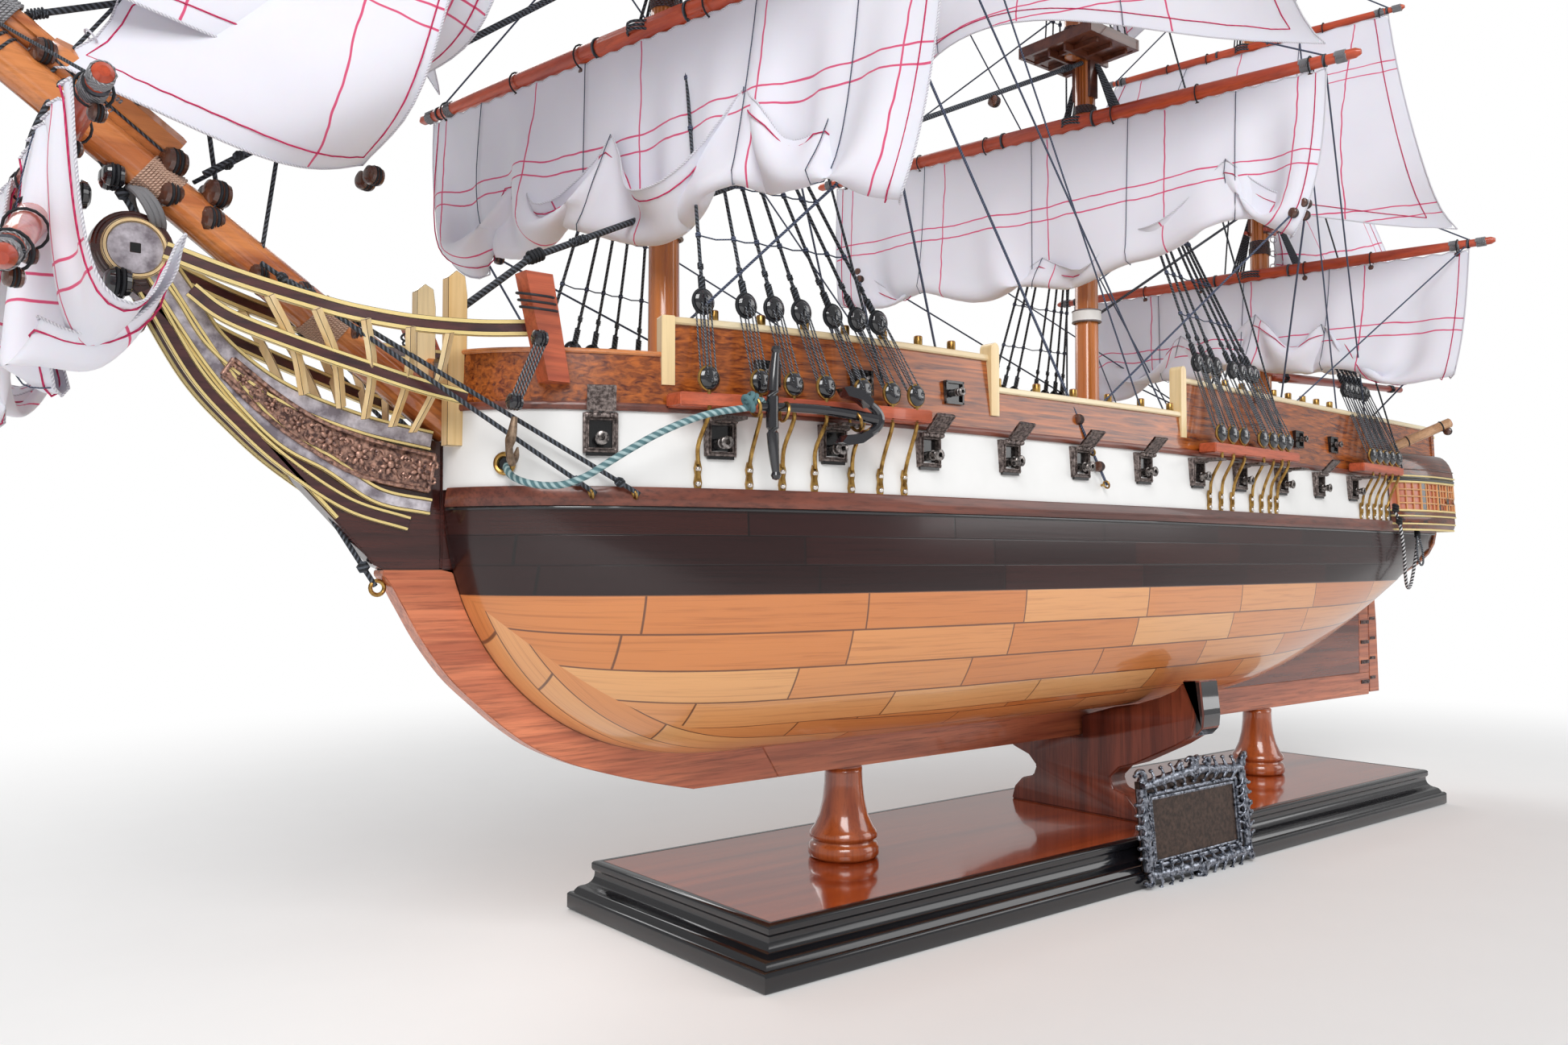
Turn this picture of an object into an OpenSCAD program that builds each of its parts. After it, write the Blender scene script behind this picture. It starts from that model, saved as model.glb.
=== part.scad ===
// Three-masted display frigate on a moulded stand.
// +X runs aft, +Y to starboard, +Z up; the origin is the centre of the stand's underside.

/* [Stand] */
// Length of the black base board
base_length = 500; // [480:5:540]
// Width of the black base board
base_width = 129; // [125:1:150]
// Height of the base with its top panel
base_height = 19.5; // [18:0.5:22]
// Distance between the two pedestals
pedestal_span = 317; // [300:1:330]
// Diameter of a pedestal's foot
pedestal_foot = 29; // [26:1:34]

/* [Hull] */
// Greatest breadth of the hull
hull_breadth = 141; // [136:1:144]
// Breadth of the hull at the transom
transom_breadth = 91; // [88:1:96]
// Thickness of the keel, stem and sternpost
keel_thickness = 8.4; // [7:0.2:9]
// Thickness of the planking
plank_thickness = 3; // [2.4:0.2:3.2]
// Number of planking stations along the hull
hull_stations = 26; // [20:1:30]

/* [Guns] */
// Width of a gunport frame
port_width = 11; // [10:0.5:11.5]
// Height of a gunport frame
port_height = 12.5; // [12:0.5:13]
// Diameter of a gun barrel
gun_diameter = 3.6; // [3:0.2:4]

/* [Rig] */
// Diameter of the lower masts at the deck
mast_diameter = 12.5; // [11:0.5:13]
// Angle that the yards are braced round
brace_angle = 10.6; // [8:0.2:12]
// Diameter of a deadeye
deadeye_diameter = 7.6; // [7:0.2:8]
// Diameter of a shroud
shroud_diameter = 1.1; // [0.9:0.1:1.4]
// Thickness of the space a sail fills
sail_thickness = 3; // [2:0.5:4]

/* [Hidden] */
$fn = 32;

// Heights above the base
keel_z = base_height + 36.5;
rabbet_z = keel_z + 14;
waterline_z = keel_z + 73;
wale_z = keel_z + 101;
band_z = keel_z + 107;
moulding_z = keel_z + 131;
bulwark_z = keel_z + 133.5;
fore_rail_z = keel_z + 160;
waist_rail_z = keel_z + 148;
after_rail_z = keel_z + 164;
bow_rail_z = keel_z + 149;
port_z = keel_z + 123.7;
channel_z = keel_z + 132.4;
channel_height = 4.5;

// Stations along the hull
stem_x = -334;
forefoot_x = -233;
run_x = 60;
sternpost_x = 280;
bow_rail_x = -277;
fore_break_x = -143;
after_break_x = -12;
rail_end_x = 275;
transom_rake = 0.12;
rudder_axis_x = sternpost_x + 6;

// Masts
fore_mast_x = -247;
main_mast_x = 4.5;
mizzen_mast_x = 167.6;
former_top_z = keel_z + 94;

// Gunports, gun deck first
gun_ports = [-300, -263, -221, -178, -135, -92, -49, -6, 34, 77, 120, 163];
upper_ports = [-245, -207, -163, 101, 143];
upper_port_z = keel_z + 146;
ports_under_channels = [-263, -221, -6, 34, 77, 163];
lid_width = 9;
lid_length = 8;
lid_thickness = 1;
hinge_radius = 0.95;
hinge_pin = 0.8;
hinge_bore = 0.9;
frame_depth = 2.4;
hinge_reach = frame_depth + 0.9;
hinge_drop = 0.9;

// Shrouds, by mast: positions of the chainplates along the hull
fore_chains = [-271.5, -254, -242, -229.6, -214.5, -202, -191];
main_chains = [3, 13.5, 24, 43, 53, 62, 69];
mizzen_chains = [172, 181, 190, 199, 208];
channel_reach = 10;
deadeye_low_z = keel_z + 141.5;
fore_eye_z = keel_z + 168;
main_eye_z = keel_z + 175;
mizzen_eye_z = keel_z + 179;

// Leading edge of the stem and head, from the keel to the scroll
stem_edge = [
    [-236, keel_z], [-255, 60.5], [-271, 65], [-286, 70], [-300, 76.5], [-311, 84], [-321, 92.5],
    [-331, 102], [-340, 114], [-347, 126], [-352, 134], [-366, 150], [-387, 172], [-403, 190],
    [-417, 208], [-429, 218]
];
stem_head_x = -353;
knee_z = keel_z + 81;
scroll_centre = [-424, 226];
scroll_radius = 8.5;

// Head rails, as [x, y, z], from the scroll to the bow
upper_rail = [
    [-417, 7, 226], [-398, 11.5, 220], [-377, 16, 215], [-365, 20.5, 212.5], [-351, 25, 211],
    [-334, 29.5, 211], [-318, 35.5, 212]
];
lower_rail = [[-410, 7, 216], [-401, 10.4, 209], [-384, 13.8, 203], [-365, 17.2, 197.5], [-349, 20.6,
    193], [-335, 24, 190]];
head_timbers = [
    [[-391, 14, 216], [-379, 8, 189]], [[-379, 18, 213], [-368, 8, 186]], [[-366, 22, 211], [-361, 9, 183]],
    [[-354, 26, 209.5], [-353, 10, 181]], [[-343, 29, 208.5], [-347, 11, 179.5]]
];
trail_board = [[-397, 196], [-385, 186], [-372, 177.5], [-356, 171], [-340, 167]];

// Anchor cable, from the hawse hole to the anchor's ring, and the rope loops at the quarters
anchor_cable = [
    [-323, 27, 170], [-325, 31, 168], [-325, 35, 165.6], [-323, 40, 163.6], [-319, 45, 162.6], [-315, 50,
        163],
    [-310, 54.5, 165.6], [-305, 58.5, 169.6], [-299, 62, 174], [-292, 65, 178.4], [-284, 67.8, 182.4],
    [-275, 70, 185.6], [-262, 72, 188.2]
];
quarter_rope = [
    [210, 56, 168], [211, 57.5, 164], [212.5, 58, 158], [214.5, 58, 151], [217, 57.6, 144], [219, 57, 137],
    [221, 56.4, 131], [224, 55.6, 126.4], [228, 54.8, 124.6], [232, 54.2, 126.4], [235, 54, 131], [237,
        54.2, 137],
    [238.5, 54.6, 144], [239.5, 55, 151], [240, 55, 157]
];

PORT_NODES = [for (side = ["port", "starboard"]) for (i = [1 : len(gun_ports)]) str(side, "_lid_", i)];

// ---------------------------------------------------------------- hull form

function mix(a, b, t) = a + (b - a) * t;

function clamp(v, low, high) = min(high, max(low, v));

half_keel = keel_thickness / 2;
bow_depth = 95;
bow_length = forefoot_x - stem_x;
bow_power = 2.15;
run_power = 1.9;
tuck_z = keel_z + 68;

// Height at which the planking meets the keel, stem or deadwood
function keel_line(x) =
    x < forefoot_x
        ? rabbet_z + bow_depth * (1 - pow(1 - pow(min(1, (forefoot_x - x) / bow_length), bow_power),
            1 / bow_power))
        : x < run_x ? rabbet_z
        : mix(rabbet_z, tuck_z, pow((x - run_x) / (sternpost_x - run_x), run_power));

// Foremost and aftermost station of the planking at a height
function stem_at(z) =
    z >= rabbet_z + bow_depth ? stem_x
    : forefoot_x - bow_length * pow(1 - pow((rabbet_z + bow_depth - z) / bow_depth, bow_power),
        1 / bow_power);

function stern_at(z) =
    z >= tuck_z ? sternpost_x + (z - tuck_z) * transom_rake
    : mix(run_x, sternpost_x, pow(clamp((z - rabbet_z) / (tuck_z - rabbet_z), 0, 1), 1 / run_power));

// Greatest half breadth at a station, and the height at which it lies
function beam(x) =
    x < -100 ? mix(half_keel, hull_breadth / 2, sqrt(1 - pow(clamp((-100 - x) / (-100 - stem_x), 0, 1),
        3.2)))
    : x < -40 ? hull_breadth / 2
    : mix(hull_breadth / 2, transom_breadth / 2, pow((x + 40) / 322, 1.2));

function widest_z(x) =
    keel_z + 81 + 38 * pow(clamp((-250 - x) / 84, 0, 1), 2) + 20 * pow(clamp((x - run_x) / 220, 0, 1), 2);

function bilge_power(x) =
    2.5 - 0.7 * clamp((-150 - x) / 180, 0, 1) - 1.3 * clamp((x - 20) / 240, 0, 1);

// Half breadth of the hull at a station and height
function half_breadth(x, z) =
    let (low = keel_line(x), wide = widest_z(x), s = clamp((z - low) / (wide - low), 0, 1))
    z > wide
        ? beam(x) - min(beam(x) - half_keel, 4.6 * pow((z - wide) / 70, 1.5))
        : mix(half_keel, beam(x), pow(1 - pow(1 - s, 2.2), 1 / bilge_power(x)));

// Outward unit normal of the starboard side
function hull_normal(x, z) =
    let (
        d = 0.4,
        hx = (half_breadth(x + d, z) - half_breadth(x - d, z)) / (2 * d),
        hz = (half_breadth(x, z + d) - half_breadth(x, z - d)) / (2 * d),
        length = norm([hx, 1, hz])
    )
    [-hx / length, 1 / length, -hz / length];

function hull_point(x, z, offset) = [x, half_breadth(x, z), z] + offset * hull_normal(x, z);

// Closed strip of the starboard side between two heights, two stations and two offsets
module side_strip(heights, from_x, to_x, inner, outer, stations = hull_stations) {
    n = stations;
    m = len(heights) - 1;
    layer = (n + 1) * (m + 1);
    spread = [for (i = [0 : n]) (1 - cos(180 * i / n)) / 2];
    points = [
        for (offset = [outer, inner]) for (z = heights) for (u = spread)
            hull_point(mix(max(from_x, stem_at(z)), min(to_x, stern_at(z)), u), z, offset)
    ];
    function at(i, j, k) = k * layer + j * (n + 1) + i;
    quads = concat(
        [for (j = [0 : m - 1]) for (i = [0 : n - 1]) [at(i + 1, j, 0), at(i + 1, j + 1, 0), at(i, j + 1,
            0), at(i, j, 0)]],
        [for (j = [0 : m - 1]) for (i = [0 : n - 1]) [at(i, j, 1), at(i, j + 1, 1), at(i + 1, j + 1, 1),
            at(i + 1, j, 1)]],
        [for (i = [0 : n - 1]) [at(i, 0, 0), at(i, 0, 1), at(i + 1, 0, 1), at(i + 1, 0, 0)]],
        [for (i = [0 : n - 1]) [at(i, m, 0), at(i + 1, m, 0), at(i + 1, m, 1), at(i, m, 1)]],
        [for (j = [0 : m - 1]) [at(0, j, 0), at(0, j + 1, 0), at(0, j + 1, 1), at(0, j, 1)]],
        [for (j = [0 : m - 1]) [at(n, j + 1, 0), at(n, j, 0), at(n, j, 1), at(n, j + 1, 1)]]
    );
    triangles = [for (q = quads) for (t = [[q[0], q[1], q[2]], [q[0], q[2], q[3]]]) t];
    polyhedron(points, triangles);
}

module both_sides() {
    children();
    mirror([0, 1, 0]) children();
}

// ---------------------------------------------------------------- shared shapes

// Round or polygonal bar between two points
module bar(a, b, d1, d2, sides = 24) {
    v = b - a;
    length = norm(v);
    turn = atan2(v[1], v[0]);
    tilt = acos(v[2] / length);
    translate(a) rotate([0, tilt, turn]) cylinder(h = length, d1 = d1, d2 = d2, $fn = sides);
}

// Line of rope
module line(a, b, d = shroud_diameter) bar(a, b, d, d, 6);

// Tube swept along a list of points
module tube(path, d, sides = 8) {
    n = len(path);
    function heading(i) = path[min(n - 1, i + 1)] - path[max(0, i - 1)];
    function side_of(h) = let (c = cross(h, [0, 0, 1])) norm(c) < 0.05 * norm(h) ? [1, 0, 0] : c / norm(c);
    function up_of(h) = let (c = cross(side_of(h), h)) c / norm(c);
    points = [
        for (i = [0 : n - 1]) for (k = [0 : sides - 1])
            let (h = heading(i), a = 360 * k / sides)
            path[i] + d / 2 * (cos(a) * side_of(h) + sin(a) * up_of(h))
    ];
    walls = [
        for (i = [0 : n - 2]) for (k = [0 : sides - 1])
            let (a = i * sides + k, b = i * sides + (k + 1) % sides)
            for (t = [[a, b, b + sides], [a, b + sides, a + sides]]) t
    ];
    first = [for (k = [1 : sides - 2]) [0, k + 1, k]];
    last = [for (k = [1 : sides - 2]) (n - 1) * sides * [1, 1, 1] + [0, k, k + 1]];
    polyhedron(points, concat(walls, first, last));
}

// Flat bar bent along a list of points
module bent_bar(path, height, width) {
    n = len(path);
    function heading(i) = let (h = path[min(n - 1, i + 1)] - path[max(0, i - 1)]) h / norm(h);
    function side_of(h) = let (c = cross(h, [0, 0, 1])) c / norm(c);
    corners = [[-1, -1], [1, -1], [1, 1], [-1, 1]];
    points = [
        for (i = [0 : n - 1]) for (c = corners)
            path[i] + c[0] * width / 2 * side_of(heading(i)) + c[1] * height / 2 * cross(side_of(heading(i)), heading(i))
    ];
    walls = [
        for (i = [0 : n - 2]) for (k = [0 : 3])
            let (a = i * 4 + k, b = i * 4 + (k + 1) % 4)
            for (t = [[a, b, b + 4], [a, b + 4, a + 4]]) t
    ];
    end = (n - 1) * 4;
    polyhedron(points, concat(walls, [[0, 2, 1], [0, 3, 2], [end, end + 1, end + 2], [end, end + 2,
        end + 3]]));
}

// Places children on the starboard side, with local +Y pointing outward
module on_side(x, z, offset = 0) {
    normal = hull_normal(x, z);
    turn = atan2(normal[1], normal[0]) - 90;
    translate([x, half_breadth(x, z), z]) rotate([0, 0, turn]) translate([0, offset, 0]) children();
}

// ---------------------------------------------------------------- stand

step_height = 7;
cove_inset = 8;
panel_height = 2.5;
lip_inset = 10;

module base_board() color("black") difference() {
    union() {
        translate([-base_length / 2, -base_width / 2, 0]) cube([base_length, base_width, step_height]);
        translate([-base_length / 2 + 2, -base_width / 2 + 2, step_height])
            cube([base_length - 4, base_width - 4, 2]);
        translate([-base_length / 2 + cove_inset, -base_width / 2 + cove_inset, step_height + 2])
            cube([base_length - 2 * cove_inset, base_width - 2 * cove_inset,
                base_height - panel_height - step_height - 2]);
    }
    for (x = [-pedestal_span / 2, pedestal_span / 2]) translate([x, 0, -1]) cylinder(h = 5, d = 8.4);
    for (x = [-pedestal_span / 2, pedestal_span / 2]) translate([x, 0, -1]) cylinder(h = base_height,
        d = 3.4);
}

module base_panel() color("sienna") difference() {
    translate([-base_length / 2 + lip_inset, -base_width / 2 + lip_inset, base_height - panel_height])
        cube([base_length - 2 * lip_inset, base_width - 2 * lip_inset, panel_height]);
    for (x = [-pedestal_span / 2, pedestal_span / 2]) translate([x, 0, 0]) cylinder(h = base_height + 1,
        d = 3.4);
}

module pedestal() {
    foot = pedestal_foot / 2;
    height = keel_z - base_height;
    rotate_extrude($fn = 64) difference() {
        polygon([
            [0, 0], [foot - 1, 0], [foot, 1.5], [foot, 4.5], [foot - 1, 6], [foot - 2, 6.6], [foot - 2,
                7.6],
            [foot - 0.6, 8.2], [foot - 0.6, 10], [foot - 2.4, 12.5], [foot - 4.4, 17], [foot - 5.8, 23],
            [foot - 6.6, 30], [foot - 6.8, height], [0, height]
        ]);
        translate([-1, -1]) square([2.7, height + 2]);
    }
}

module pedestals() color("chocolate")
    for (x = [-pedestal_span / 2, pedestal_span / 2]) translate([x, 0, base_height]) pedestal();

screw_grip = 8;

module keel_screws() color("silver") for (x = [-pedestal_span / 2, pedestal_span / 2]) translate([x, 0,
    0]) {
    difference() {
        union() {
            translate([0, 0, 1]) cylinder(h = 3, d = 7);
            translate([0, 0, 1]) cylinder(h = keel_z + screw_grip - 1, d = 3);
        }
        translate([-3, -0.5, 0.5]) cube([6, 1, 1.5]);
    }
}

cradle_x = -4;
cradle_thickness = 12;

module cradle_outline() polygon([
    [-38, base_height], [-36, 26], [-31, 31], [-24, 33], [-22, 38], [-27, 43], [-36, 46], [-44, 50],
        [-58, 57],
    [-66, 62], [-68, 70], [-68, 86], [-61, 85], [-57.5, 81.5], [-50, 78], [-38, 74], [-20, 70.5], [-6,
        67.5],
    [-6, 55.9], [6, 55.9], [6, 67.5], [20, 70.5], [38, 74], [50, 78], [57.5, 81.5], [61, 85], [68, 86],
        [68, 70],
    [66, 62], [58, 57], [44, 50], [36, 46], [27, 43], [22, 38], [24, 33], [31, 31], [36, 26], [38,
        base_height]
]);

// Room for the hull's bottom in the cradle
module cradle_room() polygon(concat(
    [[-80, 100], [-80, 99]],
    [for (z = [99 : -2 : rabbet_z + 3]) [-half_breadth(cradle_x, z) - 0.4, z]],
    [[-half_keel - 0.2, 65], [-half_keel - 0.2, keel_z - 0.1], [half_keel + 0.2, keel_z - 0.1],
        [half_keel + 0.2, 65]],
    [for (z = [rabbet_z + 3 : 2 : 99]) [half_breadth(cradle_x, z) + 0.4, z]],
    [[80, 99], [80, 100]]
));

module cradle() {
    color("saddlebrown") translate([cradle_x + cradle_thickness / 2, 0, 0]) rotate([90, 0, -90])
        linear_extrude(cradle_thickness) difference() {
            cradle_outline();
            cradle_room();
        }
    color("black") for (side = [-1, 1])
        translate([cradle_x - cradle_thickness / 2 - 1, 0, 0]) rotate([90, 0,
            90]) linear_extrude(cradle_thickness + 2)
            polygon([for (p = [[68.1, 62], [72, 66], [72.6, 72], [71, 87], [62, 86.6], [61.4, 85.2],
                [68.1, 86.1]])
                [side * p[0], p[1]]]);
}

plate_width = 90;
plate_height = 50;
plate_lean = 6.5;

module nameplate() color("dimgray") translate([-4, -base_width / 2 - 3.8, 1]) rotate([-plate_lean, 0, 0]) {
    difference() {
        translate([-plate_width / 2, 0, 0]) cube([plate_width, 3, plate_height]);
        translate([-plate_width / 2 + 9, -1, 9]) cube([plate_width - 18, 2, plate_height - 20]);
    }
    for (side = [-1, 1]) translate([side * (plate_width / 2 - 4), 3, plate_height - 3])
        rotate([90, 0, 0]) cylinder(h = 4, d = 9);
}

// ---------------------------------------------------------------- backbone

rabbet_points = [for (z = [rabbet_z + bow_depth : -9.5 : rabbet_z + 0.1]) [stem_at(z), z]];

module keel_blank() polygon(concat(
    [for (p = stem_edge) if (p[1] < knee_z) p],
    [[stem_head_x, knee_z], [stem_x - 0.2, knee_z]],
    [for (p = rabbet_points) if (p[1] < knee_z) p],
    [[forefoot_x, rabbet_z], [sternpost_x + 4, rabbet_z], [sternpost_x + 4, keel_z]]
));

module deadwood_blank() polygon(concat(
    [[run_x, rabbet_z]],
    [for (x = [run_x + 22 : 22 : sternpost_x - 11]) [x, keel_line(x) - 0.1]],
    [[sternpost_x - 8, keel_line(sternpost_x - 8) - 0.1], [sternpost_x - 8, rabbet_z]]
));

module keel() {
    color("indianred") rotate([90, 0, 0]) translate([0, 0,
        -half_keel]) linear_extrude(keel_thickness) keel_blank();
    color("maroon") rotate([90, 0, 0]) translate([0, 0,
        -half_keel]) linear_extrude(keel_thickness) deadwood_blank();
    color("maroon") difference() {
        translate([sternpost_x - 8, -half_keel, rabbet_z]) cube([12, keel_thickness,
            tuck_z - rabbet_z + 3]);
        translate([sternpost_x - 9, -half_keel - 1, tuck_z - 2]) cube([9, keel_thickness + 2, 9]);
    }
    color("darkgoldenrod") for (z = gudgeon_heights) difference() {
        union() {
            translate([rudder_axis_x, 0, z]) cylinder(h = 2, d = 3.4);
            translate([sternpost_x + 4, -1.2, z]) cube([2, 2.4, 2]);
        }
        translate([rudder_axis_x, 0, z - 1]) cylinder(h = 4, d = 1.7);
    }
}

gudgeon_heights = [for (i = [0 : 4]) keel_z + 7 + 12.5 * i];
rudder_thickness = 6;
rudder_gap = 2;

module rudder() {
    color("brown") rotate([90, 0, 0]) translate([0, 0,
        -rudder_thickness / 2]) linear_extrude(rudder_thickness)
        polygon([
            [rudder_axis_x + rudder_gap, keel_z + 1], [rudder_axis_x + 14, keel_z + 1],
                [rudder_axis_x + 13, keel_z + 20],
            [rudder_axis_x + 11.5, keel_z + 45], [rudder_axis_x + 9, keel_z + 66],
                [rudder_axis_x + rudder_gap, keel_z + 66]
        ]);
    color("darkgoldenrod") for (z = gudgeon_heights) {
        translate([rudder_axis_x - 1, -1.2, z + 2.2]) cube([rudder_gap + 1, 2.4, 1.5]);
        translate([rudder_axis_x, 0, z - 0.4]) cylinder(h = 3, d = 1.6);
    }
}

knee_half = 3.4;

// Upper edge of the knee, from the scroll back to the stem
knee_top = [[-424, 233], [-416, 229], [-409, 214], [-400, 201], [-385, 190], [-361, 182], [stem_x - 0.2,
    178]];

module head_knee() {
    color("black") rotate([90, 0, 0]) translate([0, 0,
        -knee_half]) linear_extrude(2 * knee_half) polygon(concat(
        [[stem_x - 0.2, knee_z], [stem_head_x, knee_z]],
        [for (p = stem_edge) if (p[1] > knee_z) p],
        knee_top
    ));
    color("black") translate([stem_x - 0.2, -half_keel + 0.4, knee_z])
        cube([6, keel_thickness - 0.8, fore_rail_z - 10 - knee_z]);
    color("tan") translate([scroll_centre[0], knee_half + 1.2, scroll_centre[1]]) rotate([90, 0, 0])
        cylinder(h = 2 * knee_half + 2.4, r = scroll_radius);
    color("peru") both_sides()
        bent_bar([for (p = trail_board) [p[0], knee_half + 0.8, p[1]]], 13, 1.6);
}

frame_stations = [-300, -270, -215, -165, -115, -65, -25, 35, 85, 135, 195, 240];
former_half = 2.5;
frame_half = 2;
lap_gap = 0.05;
skin_gap = 0.8;

// Narrower face of a frame, with some room for the planking's facets
function narrow_face(x) = x < -100 ? x - frame_half - 3 : x > 20 ? x + frame_half + 3 : x;

// Inner surface of the planking at a frame, as a point across the hull
function inside_point(x, z) =
    let (p = hull_point(clamp(narrow_face(x), stem_x + 1, sternpost_x), z,
        -plank_thickness - skin_gap)) [p[1], p[2]];

module bulkhead(x) {
    low = max(keel_line(x - frame_half), keel_line(x + frame_half)) + 1;
    top = deck_z - skin_gap;
    steps = 12;
    ribs = [for (i = [0 : steps]) inside_point(x, mix(low, top, pow(i / steps, 1.5)))];
    side = [for (p = ribs) if (p[0] > former_half + 1 && p[1] < top) p];
    floor_z = side[0][1];
    notch = mix(floor_z, former_top_z, 0.5);
    translate([x + frame_half, 0, 0]) rotate([90, 0, -90]) linear_extrude(2 * frame_half) difference() {
        polygon(concat(
            side, [[ribs[steps][0], top], [-ribs[steps][0], top]],
            [for (i = [len(side) - 1 : -1 : 0]) [-side[i][0], side[i][1]]]
        ));
        translate([-former_half - lap_gap, floor_z - 1]) square([2 * (former_half + lap_gap),
            notch - floor_z + 1]);
    }
}

module former() rotate([90, 0, 0]) translate([0, 0,
    -former_half]) linear_extrude(2 * former_half) difference() {
    polygon(concat(
        [for (x = [-320 : 10 : -240]) [x, keel_line(x) + 4]],
        [[-225, rabbet_z + 0.1], [run_x, rabbet_z + 0.1]],
        [for (x = [run_x + 20 : 20 : 260]) [x, keel_line(x) + 0.2]],
        [[266, former_top_z], [-320, former_top_z]]
    ));
    for (x = frame_stations) {
        low = max(keel_line(x - frame_half), keel_line(x + frame_half)) + plank_thickness + 4;
        translate([x - frame_half - lap_gap, mix(low, former_top_z, 0.5) - 2])
            square([2 * (frame_half + lap_gap), 60]);
    }
}

module hull_frames() color("burlywood") {
    former();
    for (x = frame_stations) bulkhead(x);
}

// ---------------------------------------------------------------- skins

bottom_rows = 8;

module bottom_planking() color("sandybrown") both_sides()
    side_strip([for (j = [0 : bottom_rows]) mix(rabbet_z + 0.05, waterline_z, pow(j / bottom_rows, 2))],
        stem_x, 400, -plank_thickness, 0);

module topside_planking() color("maroon") both_sides()
    side_strip([waterline_z, waterline_z + 11, waterline_z + 22, band_z], stem_x, 400, -plank_thickness, 0);

module gun_bands() color("white") both_sides()
    side_strip([band_z, band_z + 12, moulding_z], stem_x, 400, -plank_thickness, 0);

wale_thickness = 1.2;

module wales() color("saddlebrown") both_sides() {
    side_strip([wale_z, band_z], stem_x + 0.5, 400, 0.02, wale_thickness);
    side_strip([moulding_z, bulwark_z], stem_x + 0.5, 400, 0.02, wale_thickness);
}

module bulwarks() color("peru") both_sides() {
    side_strip([moulding_z, bulwark_z, bow_rail_z], stem_x, bow_rail_x, -plank_thickness, 0, 14);
    side_strip([moulding_z, bulwark_z, fore_rail_z], bow_rail_x, fore_break_x, -plank_thickness, 0, 6);
    side_strip([moulding_z, bulwark_z, waist_rail_z], fore_break_x, after_break_x, -plank_thickness, 0, 4);
    side_strip([moulding_z, bulwark_z, after_rail_z], after_break_x, 400, -plank_thickness, 0, 10);
}

rail_height = 2.4;
rail_overhang = 1.2;
timberhead_height = 7;

module cap_rails() color("moccasin") both_sides() {
    side_strip([bow_rail_z, bow_rail_z + rail_height], stem_x + 1, bow_rail_x - 4,
        -plank_thickness - rail_overhang, rail_overhang, 12);
    side_strip([fore_rail_z, fore_rail_z + rail_height], bow_rail_x, fore_break_x,
        -plank_thickness - rail_overhang, rail_overhang, 6);
    side_strip([waist_rail_z, waist_rail_z + rail_height], fore_break_x + 4, after_break_x - 4,
        -plank_thickness - rail_overhang, rail_overhang, 4);
    side_strip([after_rail_z, after_rail_z + rail_height], after_break_x, 400,
        -plank_thickness - rail_overhang, rail_overhang, 10);
    for (post = [[bow_rail_x - 2, bow_rail_z, fore_rail_z], [fore_break_x + 2, waist_rail_z, fore_rail_z],
                 [after_break_x - 2, waist_rail_z, after_rail_z]])
        on_side(post[0], post[1] + 0.05, -plank_thickness / 2)
            translate([-1.9, -2.6, 0]) cube([3.8, 5.2, post[2] - post[1] + timberhead_height]);
}

deck_z = keel_z + 130;
raised_deck_z = keel_z + 141;
deck_thickness = 2;
deck_front_x = -312;

module deck_plate(x0, x1, z, slices) linear_extrude(deck_thickness) polygon(concat(
    [for (i = [0 : slices]) let (x = mix(x0, x1, i / slices)) [x, deck_half(x, z)]],
    [for (i = [slices : -1 : 0]) let (x = mix(x0, x1, i / slices)) [x, -deck_half(x, z)]]
));

function deck_half(x, z) =
    min(hull_point(x - 3, z, -plank_thickness)[1], hull_point(x, z, -plank_thickness)[1],
        hull_point(min(x + 3, sternpost_x), z, -plank_thickness)[1]) - skin_gap;

module decks() color("wheat") difference() {
    union() {
        translate([0, 0, raised_deck_z]) deck_plate(deck_front_x, fore_break_x + 6, raised_deck_z, 16);
        translate([0, 0, deck_z]) deck_plate(deck_front_x, 281, deck_z, 20);
        translate([0, 0, raised_deck_z]) deck_plate(after_break_x - 6, 281, raised_deck_z, 10);
        for (x = [fore_break_x + 2, after_break_x - 6])
            translate([x, -deck_half(x, deck_z) + 1, deck_z + deck_thickness])
                cube([4, 2 * deck_half(x, deck_z) - 2, raised_deck_z - deck_z - deck_thickness]);
    }
    for (x = [fore_mast_x, main_mast_x, mizzen_mast_x])
        translate([x, 0, deck_z - 1]) cylinder(h = 20, d = mast_diameter + 0.2);
}

transom_tilt = atan(transom_rake);

module transom() color("peru") {
    translate([sternpost_x + 0.15, 0, tuck_z]) rotate([0, transom_tilt, 0]) rotate([90, 0,
        90]) linear_extrude(3)
        polygon(concat(
            [for (h = [3 : 6 : 99]) [half_breadth(sternpost_x - 0.1, tuck_z + h), h]],
            [for (h = [99 : -6 : 3]) [-half_breadth(sternpost_x - 0.1, tuck_z + h), h]]
        ));
    for (y = [-26, -13, 0, 13, 26])
        translate([sternpost_x + 3.2, 0, tuck_z]) rotate([0, transom_tilt, 0])
            translate([0, y - 4.5, 42]) cube([1.2, 9, 14]);
}

gallery_x = 214;
gallery_reach = 13;
course_gap = 0.05;

// Courses of a gallery: colour, height above the keel, height, and reach beyond the plain outline
gallery_bands = [
    ["saddlebrown", 102, 8, -1], ["black", 110, 3, 0], ["orangered", 113, 17, -1.5], ["black", 130, 3, 0],
    ["saddlebrown", 133, 9, -0.5], ["saddlebrown", 142, 7, -4]
];

// Swelling front of a quarter gallery, as its reach along the hull
function gallery_front(t) = gallery_reach * pow(sin(90 * min(1, t * 1.35)), 0.6);

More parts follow.
